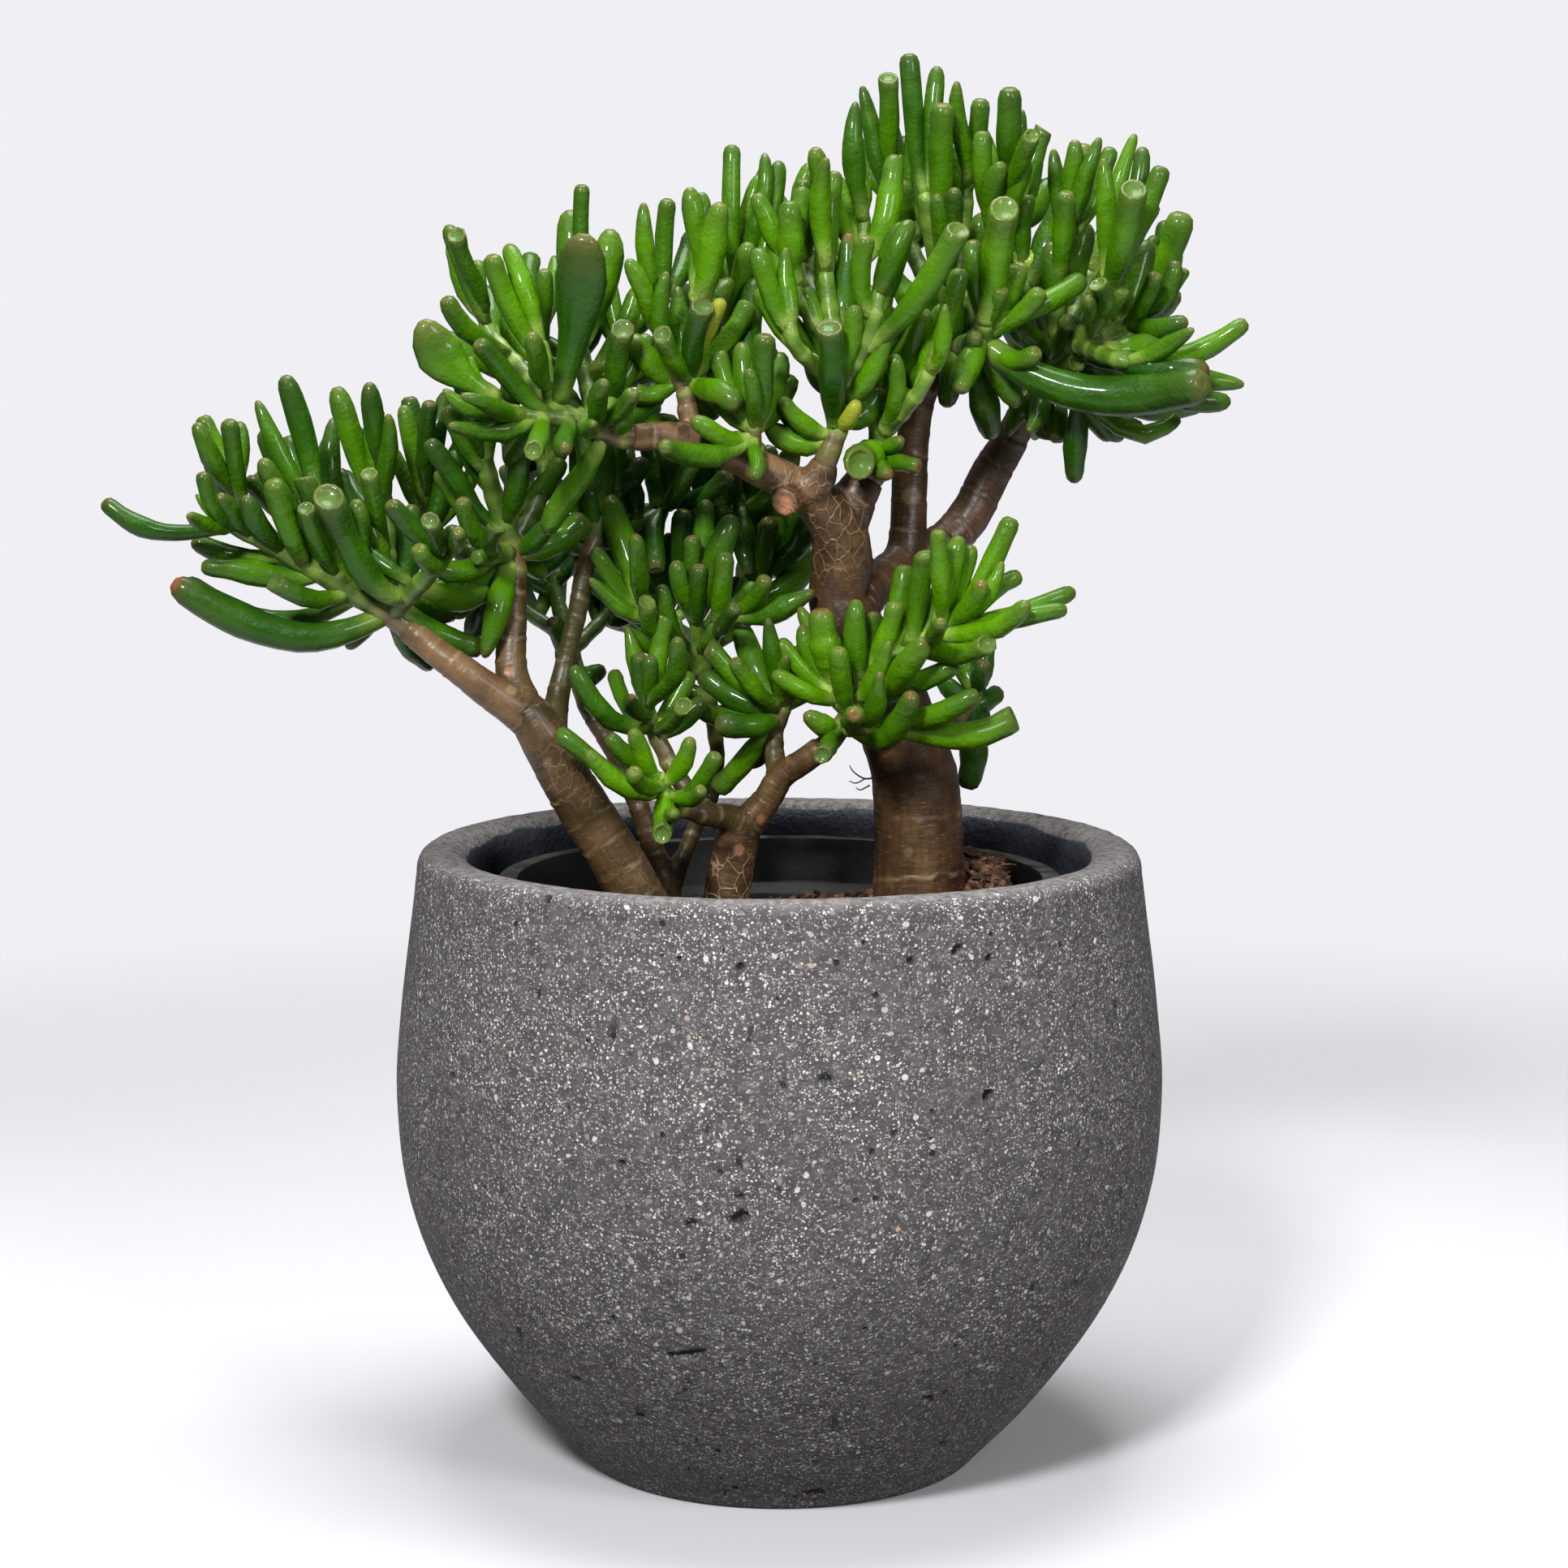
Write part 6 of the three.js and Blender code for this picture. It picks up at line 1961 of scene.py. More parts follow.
@dataclass(frozen=True)
class Pit:
    """A pit in the cast wall: its centre, half width, half height and turn."""

    centre: Array
    wide: float
    high: float
    turn: float

    def near(self, points: Array, share: float, more: float = 0.0) -> Array:
        """Tells which points lie within a share of the pit's half size, and a bit more, of its centre."""
        return np.linalg.norm(points - self.centre, axis=1) < max(self.wide, self.high) * share + more


@dataclass
class Planter:
    """The round cast-stone planter with its thick soft rim and its pits, in millimetres.

    An outline's row is (radius, height). A typed pit's row is (across, up, half width, half height,
    turn in degrees) as the eye sees it.
    """

    base_radius: float = 86.2
    foot: Rows = ((88.2, 0.5), (89.8, 1.9))
    outside: Rows = (
        (91.5, 4), (117.5, 32), (148, 76), (165.3, 120), (170.6, 165), (168.3, 205), (162.8, 250),
        (160.8, 266),
    )
    rim: Rows = (
        (160.8, 266), (160.4, 270), (158.6, 273.4), (154.8, 275), (149.6, 275.2), (143.6, 274.4),
        (139, 271.6), (137.4, 267),
    )
    inside: Rows = (
        (137.4, 264), (141, 245), (147.6, 205), (149.6, 165), (145, 120), (128, 80), (106, 49),
        (94, 38.5),
    )
    floor: tuple[float, float] = (89, 36)
    segments: int = 256
    outside_steps: int = 6
    inside_steps: int = 3
    rim_steps: int = 2
    smooth_angle: float = 45
    widest: float = 165
    swell: Noise = Noise(85, 3, 0.5)
    ripple: Noise = Noise(21, 4, 0.16)
    rim_dip: Noise = Noise(38, 5)
    dip_depth: float = 0.4
    rim_grain: Noise = Noise(5, 9, 0.22)
    above_foot: tuple[float, float] = (3, 20)
    in_rim: tuple[float, float] = (240, 273)
    back_lift: float = 2.0
    lifted: tuple[float, float] = (-110, 150)
    wall: tuple[float, float] = (21.2, 23)
    wall_edge: Noise = Noise(12, 7, 0.7)
    rim_top_from: float = 250
    rim_top_depth: tuple[float, float] = (1, 6)
    rim_top_edge: Noise = Noise(4, 8, 1.6)
    sight_steps: int = 900
    pit_cuts: int = 4
    pit_surround: float = 2.6
    pit_reach: float = 1.6
    pit_edge: Noise = Noise(1.7, 6, 0.35)
    pit_slope: tuple[float, float] = (0.5, 1.1)
    pit_shade: tuple[float, float] = (0.6, 1.15)
    pit_depth: tuple[float, float] = (1.1, 0.4)
    other_pits: int = 90
    pit_seed: int = 12
    other_heights: tuple[float, float] = (8, 250)
    other_lowness: float = 1.7
    other_sizes: tuple[float, float] = (0.8, 2.2)
    other_smallness: float = 3
    other_form: tuple[float, float] = (1.3, 0.8)
    front_sine: float = -0.2
    front_size: float = 1.1
    pits: Rows = (
        (-104, 251, 1.7, 1.7, 0), (80, 228, 3.1, 1.7, 40), (59, 223, 2, 1.4, 0), (94, 224, 1.7, 2, 0),
        (95, 235, 1.4, 1, 0), (38, 231, 1, 1, 0), (-18, 220, 2, 1.7, 0), (-108, 208, 1.7, 1.4, 0),
        (-75, 189, 2, 1.7, 0), (151, 203, 1.4, 2.4, 0), (-14, 186, 1.7, 1, 10), (21, 169, 4.4, 1.7, -10),
        (2, 166, 2, 1, 0), (94, 162, 2.7, 2.4, 30), (-147, 171, 2, 1.4, 0), (42, 135, 1.4, 1.4, 0),
        (-71, 130, 3.1, 1.4, 0), (-18, 129, 2, 2, 0), (-40, 102, 3.1, 1.7, 30), (-18, 105, 4.8, 2.7, 25),
        (-18, 115, 2.7, 1.4, 0), (154, 117, 1.4, 1.7, 0), (0, 117, 2, 1, 0), (134, 76, 1, 1.7, 0),
        (-40, 42, 8.8, 1.7, 12), (-49, 41, 2, 1.4, 0), (-75, 58, 1.7, 1, 0), (-92, 30, 2.7, 1.4, 20),
        (68, 21, 3.1, 1.4, -15), (25, 10, 1.7, 1, 0), (127, 31, 1.7, 1.4, 0), (16, -23, 5.1, 2, 0),
        (-20, -21, 2, 1, 0), (74, 0, 2.7, 1, -20), (-28, -4, 2, 1, 0), (114, 72, 1.4, 1.4, 0),
        (105, 30, 3.1, 1, -30), (-118, 53, 2, 1.4, 30), (39, 53, 1.4, 1, 0), (-147, 90, 1.4, 1.7, 0),
        (-133, 119, 1.4, 1, 0), (69, 154, 1, 1, 0), (135, 139, 1, 1.7, 0), (-95, 156, 1, 1, 0),
        (-45, 224, 1.4, 1, 0), (-33, 145, 1.4, 1, 0), (140, 180, 1, 1.4, 0), (-63, 13, 2.4, 1, 10),
    )

    def build(self) -> Object:
        """Models the wall and opens its pits.

        Returns:
            The finished wall.
        """
        outline = [(self.base_radius, 0.0), *self.foot, *smooth_outline(self.outside, self.outside_steps)]
        outline += smooth_outline(self.rim, self.rim_steps)[1:]
        outline += [*smooth_outline(self.inside, self.inside_steps), self.floor]
        piece = turned("planter_wall", outline, self.segments)
        self._swell(piece)
        pits = [*self._typed_pits(), *self._other_pits()]
        self._cut_round(piece, pits)
        self._sink(piece, pits)
        return shade_by_angle(piece, self.smooth_angle)

    def dress(self, piece: Object) -> None:
        """Gives the wall its cast stone."""
        set_in_place(piece, (StoneFinish().material(),), "planter")

    def _profile(self, height: Array) -> Array:
        """Returns the outer radius at heights."""
        radii, heights = np.array(smooth_outline(self.outside, self.outside_steps)).T
        return np.interp(height, heights, radii)

    def _swell(self, piece: Object) -> None:
        """Gives the cast wall its slight unevenness.

        Args:
            piece: The planter.
        """
        points = points_of(piece.data) / MM
        swell = self.swell.at(points) + self.ripple.at(points)
        points += outward(points) * (swell * smooth_step(points[:, 2], *self.above_foot))[:, None]
        upper = smooth_step(points[:, 2], *self.in_rim)
        points[:, 2] += (self.rim_dip.at(points) - 1) * self.dip_depth * upper
        points[:, 2] += self.back_lift * smooth_step(points[:, 1], *self.lifted) * upper
        points += (self.rim_grain.at(points) * upper)[:, None]
        move_points(piece.data, points * MM)

    def _typed_pits(self) -> Iterator[Pit]:
        """Yields the typed pits, each where the eye's sight line meets the wall.

        Returns:
            The pits, one by one.
        """
        for across, up, wide, high, turn in self.pits:
            depths = np.linspace(-self._profile(self.widest), 0, self.sight_steps)
            sight = np.array([place(across, up, depth) for depth in depths])
            met = np.hypot(sight[:, 0], sight[:, 1]) <= self._profile(sight[:, 2])
            yield Pit(sight[met.argmax()], wide, high, math.radians(turn))

    def _other_pits(self) -> Iterator[Pit]:
        """Yields small pits all round, most of them low on the wall and at the back.

        Returns:
            The pits, one by one.
        """
        stream = Stream(self.pit_seed)
        (lowest, rise), (least, more), (wide, high) = self.other_heights, self.other_sizes, self.other_form
        for _ in range(self.other_pits):
            height = lowest + rise * stream.draw() ** self.other_lowness
            angle = stream.angle()
            size = least + more * stream.draw() ** self.other_smallness
            turn = stream.about(0, math.pi)
            if math.sin(angle) < self.front_sine and size > self.front_size:
                size = least
            radius = float(self._profile(height))
            centre = np.array((radius * math.cos(angle), radius * math.sin(angle), height))
            yield Pit(centre, size * wide, size * high, turn)

    def _cut_round(self, piece: Object, pits: Sequence[Pit]) -> None:
        """Cuts the wall's faces finer round each pit.

        Args:
            piece: The planter.
            pits: The pits.
        """
        centres = np.array([face.center for face in piece.data.polygons]) / MM
        near = np.any([pit.near(centres, 1.0, self.pit_surround) for pit in pits], axis=0)
        with editing(piece):
            bpy.ops.mesh.select_all(action="DESELECT")
        piece.data.polygons.foreach_set("select", near)
        bpy.ops.object.mode_set(mode="EDIT")
        bpy.ops.mesh.subdivide(number_cuts=self.pit_cuts)
        bpy.ops.object.mode_set(mode="OBJECT")

    def _sink(self, piece: Object, pits: Sequence[Pit]) -> None:
        """Sinks the pits and notes where the wall is its inside, where painted shade darkens a pit, and its
        top.

        Args:
            piece: the wall.
            pits: its pits.
        """
        points, normals = points_of(piece.data) / MM, points_of(piece.data, "normal")
        ragged = 1 + self.pit_edge.at(points)
        depth, shade = np.zeros(len(points)), np.zeros(len(points))
        steeper, least = self.pit_depth
        for pit in pits:
            near = np.flatnonzero(pit.near(points, self.pit_reach))
            level = np.cross((0, 0, 1), outward(pit.centre[None])[0])
            offset = points[near] - pit.centre
            right, up = offset @ level, offset[:, 2]
            across = right * math.cos(pit.turn) + up * math.sin(pit.turn)
            along = up * math.cos(pit.turn) - right * math.sin(pit.turn)
            reach = np.hypot(across / pit.wide, along / pit.high) * ragged[near]
            deepest = min(pit.wide, pit.high) * steeper + least
            depth[near] = np.maximum(depth[near], deepest * (1 - smooth_step(reach, *self.pit_slope)))
            shade[near] = np.maximum(shade[near], 1 - smooth_step(reach, *self.pit_shade))
        wall = self._profile(points[:, 2]) - np.hypot(points[:, 0], points[:, 1])
        wall += self.wall_edge.at(points)
        inner = smooth_step(wall, *self.wall)
        top = smooth_step(wall + self.rim_top_edge.at(points), *self.rim_top_depth)
        top *= (points[:, 2] > self.rim_top_from) * (1 - inner)
        move_points(piece.data, (points - normals * depth[:, None]) * MM)
        write_attribute(piece.data, "planter_place", inner, shade, top)


@dataclass
class NurseryPot:
    """The black plastic nursery pot: tapered body, step, band and flange, in millimetres."""

    foot: float = 36.35
    base_radius: float = 84
    step: tuple[float, float] = (112, 234)
    band: tuple[float, float] = (117, 239)
    band_top: tuple[float, float] = (118.5, 258)
    flange_radius: float = 125
    flange_inner: float = 116.5
    top: float = 262
    wall: float = 2.4
    step_inside: float = 236
    band_inside: float = 241
    floor: float = 3
    segments: int = 112
    round_edge: float = 0.7
    round_segments: int = 2
    round_from: float = 25
    smooth_angle: float = 40
    holes: int = 6
    hole_radius: float = 6
    hole_ring: float = 58
    hole_sides: int = 24
    drill_length: float = 20
    bent_from: float = 225
    rise: Noise = Noise(46, 9, 0.5)
    bulge: Noise = Noise(60, 10, 0.7)

    def build(self) -> Object:
        """Models the wall, softens its edges and drills the drain holes.

        Returns:
            The finished pot.
        """
        outline = [
            (self.base_radius, self.foot), self.step, self.band, self.band_top,
            (self.flange_radius, self.band_top[1]), (self.flange_radius, self.top),
            (self.flange_inner, self.top), (self.band[0] - self.wall, self.band_inside),
            (self.step[0] - self.wall, self.step_inside),
            (self.base_radius - self.wall, self.foot + self.floor),
        ]
        piece = turned("nursery_pot_wall", outline, self.segments)
        drill = self._drill()
        apply_modifier(piece, "BOOLEAN", object=drill, operation="DIFFERENCE", solver="EXACT")
        bpy.data.objects.remove(drill)
        apply_modifier(
            piece, "BEVEL", width=self.round_edge * MM, segments=self.round_segments,
            limit_method="ANGLE", angle_limit=math.radians(self.round_from),
        )
        points = points_of(piece.data) / MM
        high = smooth_step(points[:, 2], self.bent_from, self.top)
        points[:, 2] += self.rise.at(points) * high
        points += outward(points) * (self.bulge.at(points) * high)[:, None]
        move_points(piece.data, points * MM)
        return shade_by_angle(piece, self.smooth_angle)

    def dress(self, piece: Object) -> None:
        """Gives the pot its dusty black plastic."""
        set_in_place(piece, (PlasticFinish().material(),), "nursery_pot")

    def _drill(self) -> Object:
        """Makes the form of all the drain holes.

        Returns:
            The form.
        """
        drills = Copies()
        for k in range(self.holes):
            angle = k / self.holes * 2 * math.pi
            centre = (self.hole_ring * math.cos(angle) * MM, self.hole_ring * math.sin(angle) * MM)
            choose()
            bpy.ops.mesh.primitive_cylinder_add(
                vertices=self.hole_sides, radius=self.hole_radius * MM, depth=self.drill_length * MM,
                location=(*centre, self.foot * MM),
            )
            bpy.ops.object.transform_apply(location=True)
            drills.objects.append(bpy.context.object)
        return drills.joined("drain_drill")


@dataclass
class PottingMix:
    """The potting mix: a heaped body with crumbs, bark chips and fibres on it, in millimetres.

    A tilt is the steepest one, in radians. A share on the heap is the share of the bits that lie there.
    """

    foot: float = 39.7
    foot_radius: float = 80.9
    edge_radius: float = 108.6
    edge_height: float = 234
    centre_radius: float = 0.4
    margin: float = 3
    segments: int = 96
    rings: int = 30
    smooth_angle: float = 50
    heap: tuple[float, float] = (82, 40)
    heap_height: float = 30
    heap_spread: float = 31
    heap_reach: float = 34
    wave: tuple[float, float] = (1.6, 17)
    lumps: Noise = Noise(5.5, 21, 0.9)
    grit: Noise = Noise(2.6, 22, 0.5)
    seed: int = 5
    crumbs: int = 1500
    crumb_size: tuple[float, float] = (0.8, 3.6)
    crumb_shrink: tuple[float, float] = (0.5, 1)
    crumb_form: tuple[float, float] = (1.2, 0.75)
    crumb_edge: Noise = Noise(0.7, 23, 0.5)
    crumb_step: float = 3.7
    crumb_tilt: float = 1.2
    crumbs_on_heap: float = 0.4
    crumb_lift: float = 0.2
    chips: int = 150
    chip_size: tuple[float, float] = (3, 13)
    chip_width: tuple[float, float] = (0.35, 0.3)
    chip_thickness: tuple[float, float] = (0.14, 0.1)
    chip_bevel: float = 0.12
    chip_edge: Noise = Noise(0.5, 24, 0.35)
    chip_step: float = 5.1
    chip_tilt: float = 0.6
    chips_on_heap: float = 0.5
    chip_lift: float = 0.9
    chip_tone: float = 1.3
    fibres: int = 60
    fibre_spans: int = 5
    fibre_sides: int = 4
    fibre_length: tuple[float, float] = (7, 14)
    fibre_radius: float = 0.3
    fibre_bow: float = 3
    fibre_curl: tuple[float, float] = (1.2, 5)
    fibre_tilt: float = 0.3
    fibres_on_heap: float = 0.5
    fibre_lift: float = 1.4
    fibre_tone: float = 0.9

    def build(self) -> Object:
        """Models the body and strews the loose bits over it.

        Returns:
            The finished mix.
        """
        outline = [(self.foot_radius, self.foot), (self.edge_radius, self.edge_height)]
        outline += [
            (self.edge_radius * (1 - k / self.rings) + self.centre_radius, self.edge_height)
            for k in range(1, self.rings + 1)
        ]
        body = turned("mix_body", outline, self.segments)
        points = points_of(body.data) / MM
        upper = points[:, 2] > self.edge_height - 1
        points[upper, 2] = self.surface(points[upper, 0], points[upper, 1])
        points[:, 2] += np.where(upper, self.lumps.at(points) + self.grit.at(points), 0)
        move_points(body.data, points * MM)
        write_attribute(body.data, "crumb_tone", 0, 0, 0)
        bits, stream = Copies(body), Stream(self.seed)
        self._strew_crumbs(bits, stream)
        self._strew_chips(bits, stream)
        self._strew_fibres(bits, stream)
        return shade_by_angle(bits.joined("potting_mix_heap"), self.smooth_angle)

    def dress(self, piece: Object) -> None:
        """Gives the mix its crumbly brown."""
        set_in_place(piece, (SoilFinish().material(),), "potting_mix")

    def surface(self, across: Array, depth: Array) -> Array:
        """Finds the height of the mix at places in the pot.

        Args:
            across: How far the places are to the right.
            depth: How far they are to the back.

        Returns:
            The heights.
        """
        away = (across - self.heap[0]) ** 2 + (depth - self.heap[1]) ** 2
        rise = self.heap_height * np.exp(-away / (2 * self.heap_spread**2))
        height, length = self.wave
        return self.edge_height + rise + height * np.sin(across / length) * np.cos(depth / length)

    def _spot(self, stream: Stream, on_heap: float, lift: float) -> Array:
        """Draws a place on the mix.

        Args:
            stream: what it is drawn from.
            on_heap: the share of the draws that fall on the heap.
            lift: how far above the mix the place lies.

        Returns:
            The place.
        """
        widest = self.edge_radius - self.margin
        reach, (across, depth) = (
            (self.heap_reach, self.heap) if stream.draw() < on_heap else (widest, (0.0, 0.0)))
        angle, away = stream.angle(), math.sqrt(stream.draw()) * reach
        spot = np.array((across + away * math.cos(angle), depth + away * math.sin(angle)))
        spot *= min(1.0, widest / max(1.0, float(np.hypot(*spot))))
        return np.array((*spot, float(self.surface(*spot)) + lift))

    @staticmethod
    def _turned_points(points: Array, stream: Stream, tilt: float) -> Array:
        """Tilts a bit and turns it any way round the upright.

        Args:
            points: its points.
            stream: what turn and tilt are drawn from.
            tilt: the steepest tilt.

        Returns:
            The turned points.
        """
        turn, lean = stream.angle(), stream.either_side(tilt)
        flat = points.copy()
        flat[:, 0] = points[:, 0] * math.cos(lean) + points[:, 2] * math.sin(lean)
        flat[:, 2] = points[:, 2] * math.cos(lean) - points[:, 0] * math.sin(lean)
        found = flat.copy()
        found[:, 0] = flat[:, 0] * math.cos(turn) - flat[:, 1] * math.sin(turn)
        found[:, 1] = flat[:, 0] * math.sin(turn) + flat[:, 1] * math.cos(turn)
        return found

    def _strew(self, bits: Copies, pattern: Object, points: Array, spot: Array, tone: float) -> None:
        """Adds one bit at a spot with its tone."""
        mesh = bits.add(pattern, (points + spot) * MM)
        write_attribute(mesh, "crumb_tone", tone, tone, tone)

    def _strew_crumbs(self, bits: Copies, stream: Stream) -> None:
        """Strews small ragged crumbs.

        Args:
            bits: The copies that the crumbs join.
            stream: The stream of draws.
        """
        choose()
        bpy.ops.mesh.primitive_ico_sphere_add(subdivisions=1, radius=1)
        pattern = bpy.context.object
        form = points_of(pattern.data)
        long, flat = self.crumb_form
        for k in range(self.crumbs):
            size = stream.between(self.crumb_size) * stream.between(self.crumb_shrink)
            ragged = form * (1 + self.crumb_edge.at(form + k * self.crumb_step)[:, None])
            points = self._turned_points(ragged * (size * long, size, size * flat), stream, self.crumb_tilt)
            spot = self._spot(stream, self.crumbs_on_heap, size * self.crumb_lift)
            self._strew(bits, pattern, points, spot, stream.draw())
        bpy.data.objects.remove(pattern)

    def _strew_chips(self, bits: Copies, stream: Stream) -> None:
        """Strews flat splinters of bark.

        Args:
            bits: The copies that the chips join.
            stream: The stream of draws.
        """
        choose()
        bpy.ops.mesh.primitive_cube_add(size=1)
        pattern = bpy.context.object
        apply_modifier(pattern, "BEVEL", width=self.chip_bevel, segments=1)
        form = points_of(pattern.data)
        (wide, wider), (thick, thicker) = self.chip_width, self.chip_thickness
        for k in range(self.chips):
            length = stream.between(self.chip_size)
            width = length * (wide + wider * stream.draw())
            size = (length, width, length * (thick + thicker * stream.draw()))
            ragged = form * (1 + self.chip_edge.at(form + k * self.chip_step)[:, None]) * size
            points = self._turned_points(ragged, stream, self.chip_tilt)
            spot = self._spot(stream, self.chips_on_heap, self.chip_lift)
            self._strew(bits, pattern, points, spot, self.chip_tone * stream.draw() ** 2)
        bpy.data.objects.remove(pattern)

    def _strew_fibres(self, bits: Copies, stream: Stream) -> None:
        """Strews thin bent fibres.

        Args:
            bits: The copies that the fibres join.
            stream: The stream of draws.
        """
        rings = [(k / self.fibre_spans, 1, 1) for k in range(self.fibre_spans + 1)]
        pattern = ring_by_ring("fibre", rings, self.fibre_sides)
        across, front, along = points_of(pattern.data).T
        (shortest, longer), (curl, turns) = self.fibre_length, self.fibre_curl
        for _ in range(self.fibres):
            length, bow = shortest + longer * stream.draw(), stream.either_side(self.fibre_bow)
            bent = np.stack((
                (along - 0.5) * length, across * self.fibre_radius + bow * np.sin(along * math.pi),
                front * self.fibre_radius + curl * np.sin(along * turns),
            ), axis=1)
            points = self._turned_points(bent, stream, self.fibre_tilt)
            spot = self._spot(stream, self.fibres_on_heap, self.fibre_lift)
            self._strew(bits, pattern, points, spot, self.fibre_tone)
        bpy.data.objects.remove(pattern)


# The stems


@dataclass(frozen=True)
class Mark:
    """A typed mark on a stem: (across, up, depth), how far it reaches, and how strong it is."""

    place: tuple[float, float, float]
    reach: float
    strength: float = 1.0


@dataclass(frozen=True)
class ScarRule:
    """How ring scars lie on a limb, in millimetres.

    A lip, groove or pale ring is (how far up from the scar, half width, strength). Each spacing holds
    for limbs of more than a radius.
    """

    seeds: tuple[int, int] = (1000, 97)
    start: float = 6.0
    strength: tuple[float, float] = (0.35, 0.65)
    tilt: float = 0.22
    usual_tilt: float = 0.3
    raggedness: float = 1.5
    lip: tuple[float, float, float] = (0, 1.0, 0.3)
    groove: tuple[float, float, float] = (1.9, 1.1, 0.26)
    pale: tuple[float, float] = (0.6, 0.8)
    broken: float = 1.4
    spacings: tuple[tuple[float, tuple[float, float]], ...] = ((14, (28, 45)), (8, (12, 21)), (0, (8, 13)))

    def spacing(self, radius: float) -> tuple[float, float]:
        """Returns the least and the most room between two scars of a limb."""
        return next(limits for thicker, limits in self.spacings if radius > thicker)


SCARS = ScarRule()


def bell(value: Array, middle: float, width: float) -> Array:
    """Returns a soft hump that is 1 where a value is at its middle."""
    return np.exp(-((value - middle) / width) ** 2)


@dataclass
class Stem:
    """A knotted stem with its limbs: one piece of bark with ring scars, nets and cuts."""

    name: str
    voxel: float = 1.1
    quick_voxel: float = 1.7
    steps: int = 6
    smoothing: int = 4
    smooth_factor: float = 0.5
    cuts: tuple[Mark, ...] = ()
    nets: tuple[Mark, ...] = ()
    rings: tuple[Mark, ...] = ()
    green: dict[str, float] = field(default_factory=dict)
    # Darker tone by limb: partly darker bark, partly painted shade for limbs that lie in shadow.
    dark: dict[str, float] = field(default_factory=dict)
    tan: dict[str, float] = field(default_factory=dict)
    rootlets: tuple[Rows, ...] = ()
    rootlet_steps: int = 4
    seed: int = 3
    uneven: Noise = Noise(5, 31)
    uneven_share: float = 0.2
    gnarls: Noise = Noise(15, 32, 0.42)
    grit: Noise = Noise(2.6, 33, 0.1)
    cut_depth: float = 0.8
    spot_noise: int = 34
    spot_edge: float = 0.12
    spot_core: float = 0.7

    def build(self, tube: Object) -> Object:
        """Models the limbs, melts them in one piece and gives it its relief.

        Args:
            tube: the pattern of a limb, from 0 to 1 in height.

        Returns:
            The finished stem.
        """
        form = points_of(tube.data)
        plan = STEMS[self.name]
        lines = {name: Line(Chain.typed(rows).smoothed(self.steps)) for name, rows in plan.items()}
        limbs = Copies()
        for line in lines.values():
            limbs.add(tube, line.tube(form) * MM)
        piece = limbs.joined(f"{self.name}_bark")
        voxel = self.voxel * 1
        apply_modifier(piece, "REMESH", mode="VOXEL", voxel_size=voxel * MM)
        apply_modifier(piece, "SMOOTH", factor=self.smooth_factor, iterations=self.smoothing)
        self._carve(piece, lines)
        if self.rootlets:
            piece = self._with_rootlets(piece, tube)
        choose(piece)
        bpy.ops.object.shade_smooth()
        return piece

    def dress(self, piece: Object, bark: bpy.types.Material) -> None:
        """Gives the stem its bark."""
        set_in_place(piece, (bark,), self.name)

    def _carve(self, piece: Object, lines: dict[str, Line]) -> None:
        """Carves ring scars and gnarls, and notes the bark's grain, marks and tone.

        Args:
            piece: the stem.
            lines: the centre line of each limb.
        """
        points, normals = points_of(piece.data) / MM, points_of(piece.data, "normal")
        count = len(points)
        gap, relief, scar = np.full(count, np.inf), np.zeros(count), np.zeros(count)
        grain, tones = np.zeros((count, 3)), np.zeros((count, 3))
        uneven = self.uneven.at(points)
        for index, (name, line) in enumerate(lines.items()):
            away, run, across, front = line.seek(points)
            inside = np.clip(run, 0, line.length)
            radius = np.interp(inside, line.run, line.radii)
            outside = away - radius + np.abs(run - inside)
            own = outside < gap
            gap = np.where(own, outside, gap)
            carved, pale = self._scars(line, index, (run, across, front), uneven)
            relief, scar = np.where(own, carved, relief), np.where(own, pale, scar)
            turn = np.arctan2(front, across)
            turned_grain = np.stack((np.cos(turn) * radius, np.sin(turn) * radius, run), axis=1)
            grain = np.where(own[:, None], turned_grain, grain)
            tones[own] = [tone.get(name, 0.0) for tone in (self.green, self.dark, self.tan)]
        relief += self.gnarls.at(points) + uneven * self.uneven_share + self.grit.at(points)
        cut, net, ring = (self._spots(points, marks) for marks in (self.cuts, self.nets, self.rings))
        relief -= cut * self.cut_depth
        move_points(piece.data, (points + normals * relief[:, None]) * MM)
        write_attribute(piece.data, "bark_grain", *(grain * MM).T)
        write_attribute(piece.data, "bark_marks", np.maximum(scar, ring), cut, net)
        write_attribute(piece.data, "bark_tone", *tones.T)

    def _scars(
        self, line: Line, index: int, spots: tuple[Array, Array, Array], uneven: Array
    ) -> tuple[Array, Array]:
        """Rings a limb with scars.

        Args:
            line: the limb's centre line.
            index: the limb's number, which seeds its scars.
            spots: each point's place along the limb, and its offsets to the side and to the front.
            uneven: soft noise that breaks the rings up.

        Returns:
            The scars' relief and their paleness.
        """
        run, across, front = spots
        stream = Stream(self.seed * SCARS.seeds[0] + index * SCARS.seeds[1])
        relief, pale = np.zeros(len(run)), np.zeros(len(run))
        (weakest, more), at = SCARS.strength, SCARS.start
        while at < line.length:
            radius = float(np.interp(at, line.run, line.radii))
            phase, strength = stream.angle(), weakest + more * stream.draw()
            tilt = SCARS.tilt * (stream.draw() - SCARS.usual_tilt)
            skew = tilt * (across * math.cos(phase) + front * math.sin(phase))
            ahead = run - at - skew + uneven * SCARS.raggedness
            lip, groove = (bell(ahead, *form[:2]) * form[2] for form in (SCARS.lip, SCARS.groove))
            relief += (lip - groove) * strength
            pale += bell(ahead, *SCARS.pale) * strength * np.clip(uneven * SCARS.broken, 0, 1)
            at += stream.between(SCARS.spacing(radius))
        return relief, np.clip(pale, 0, 1)

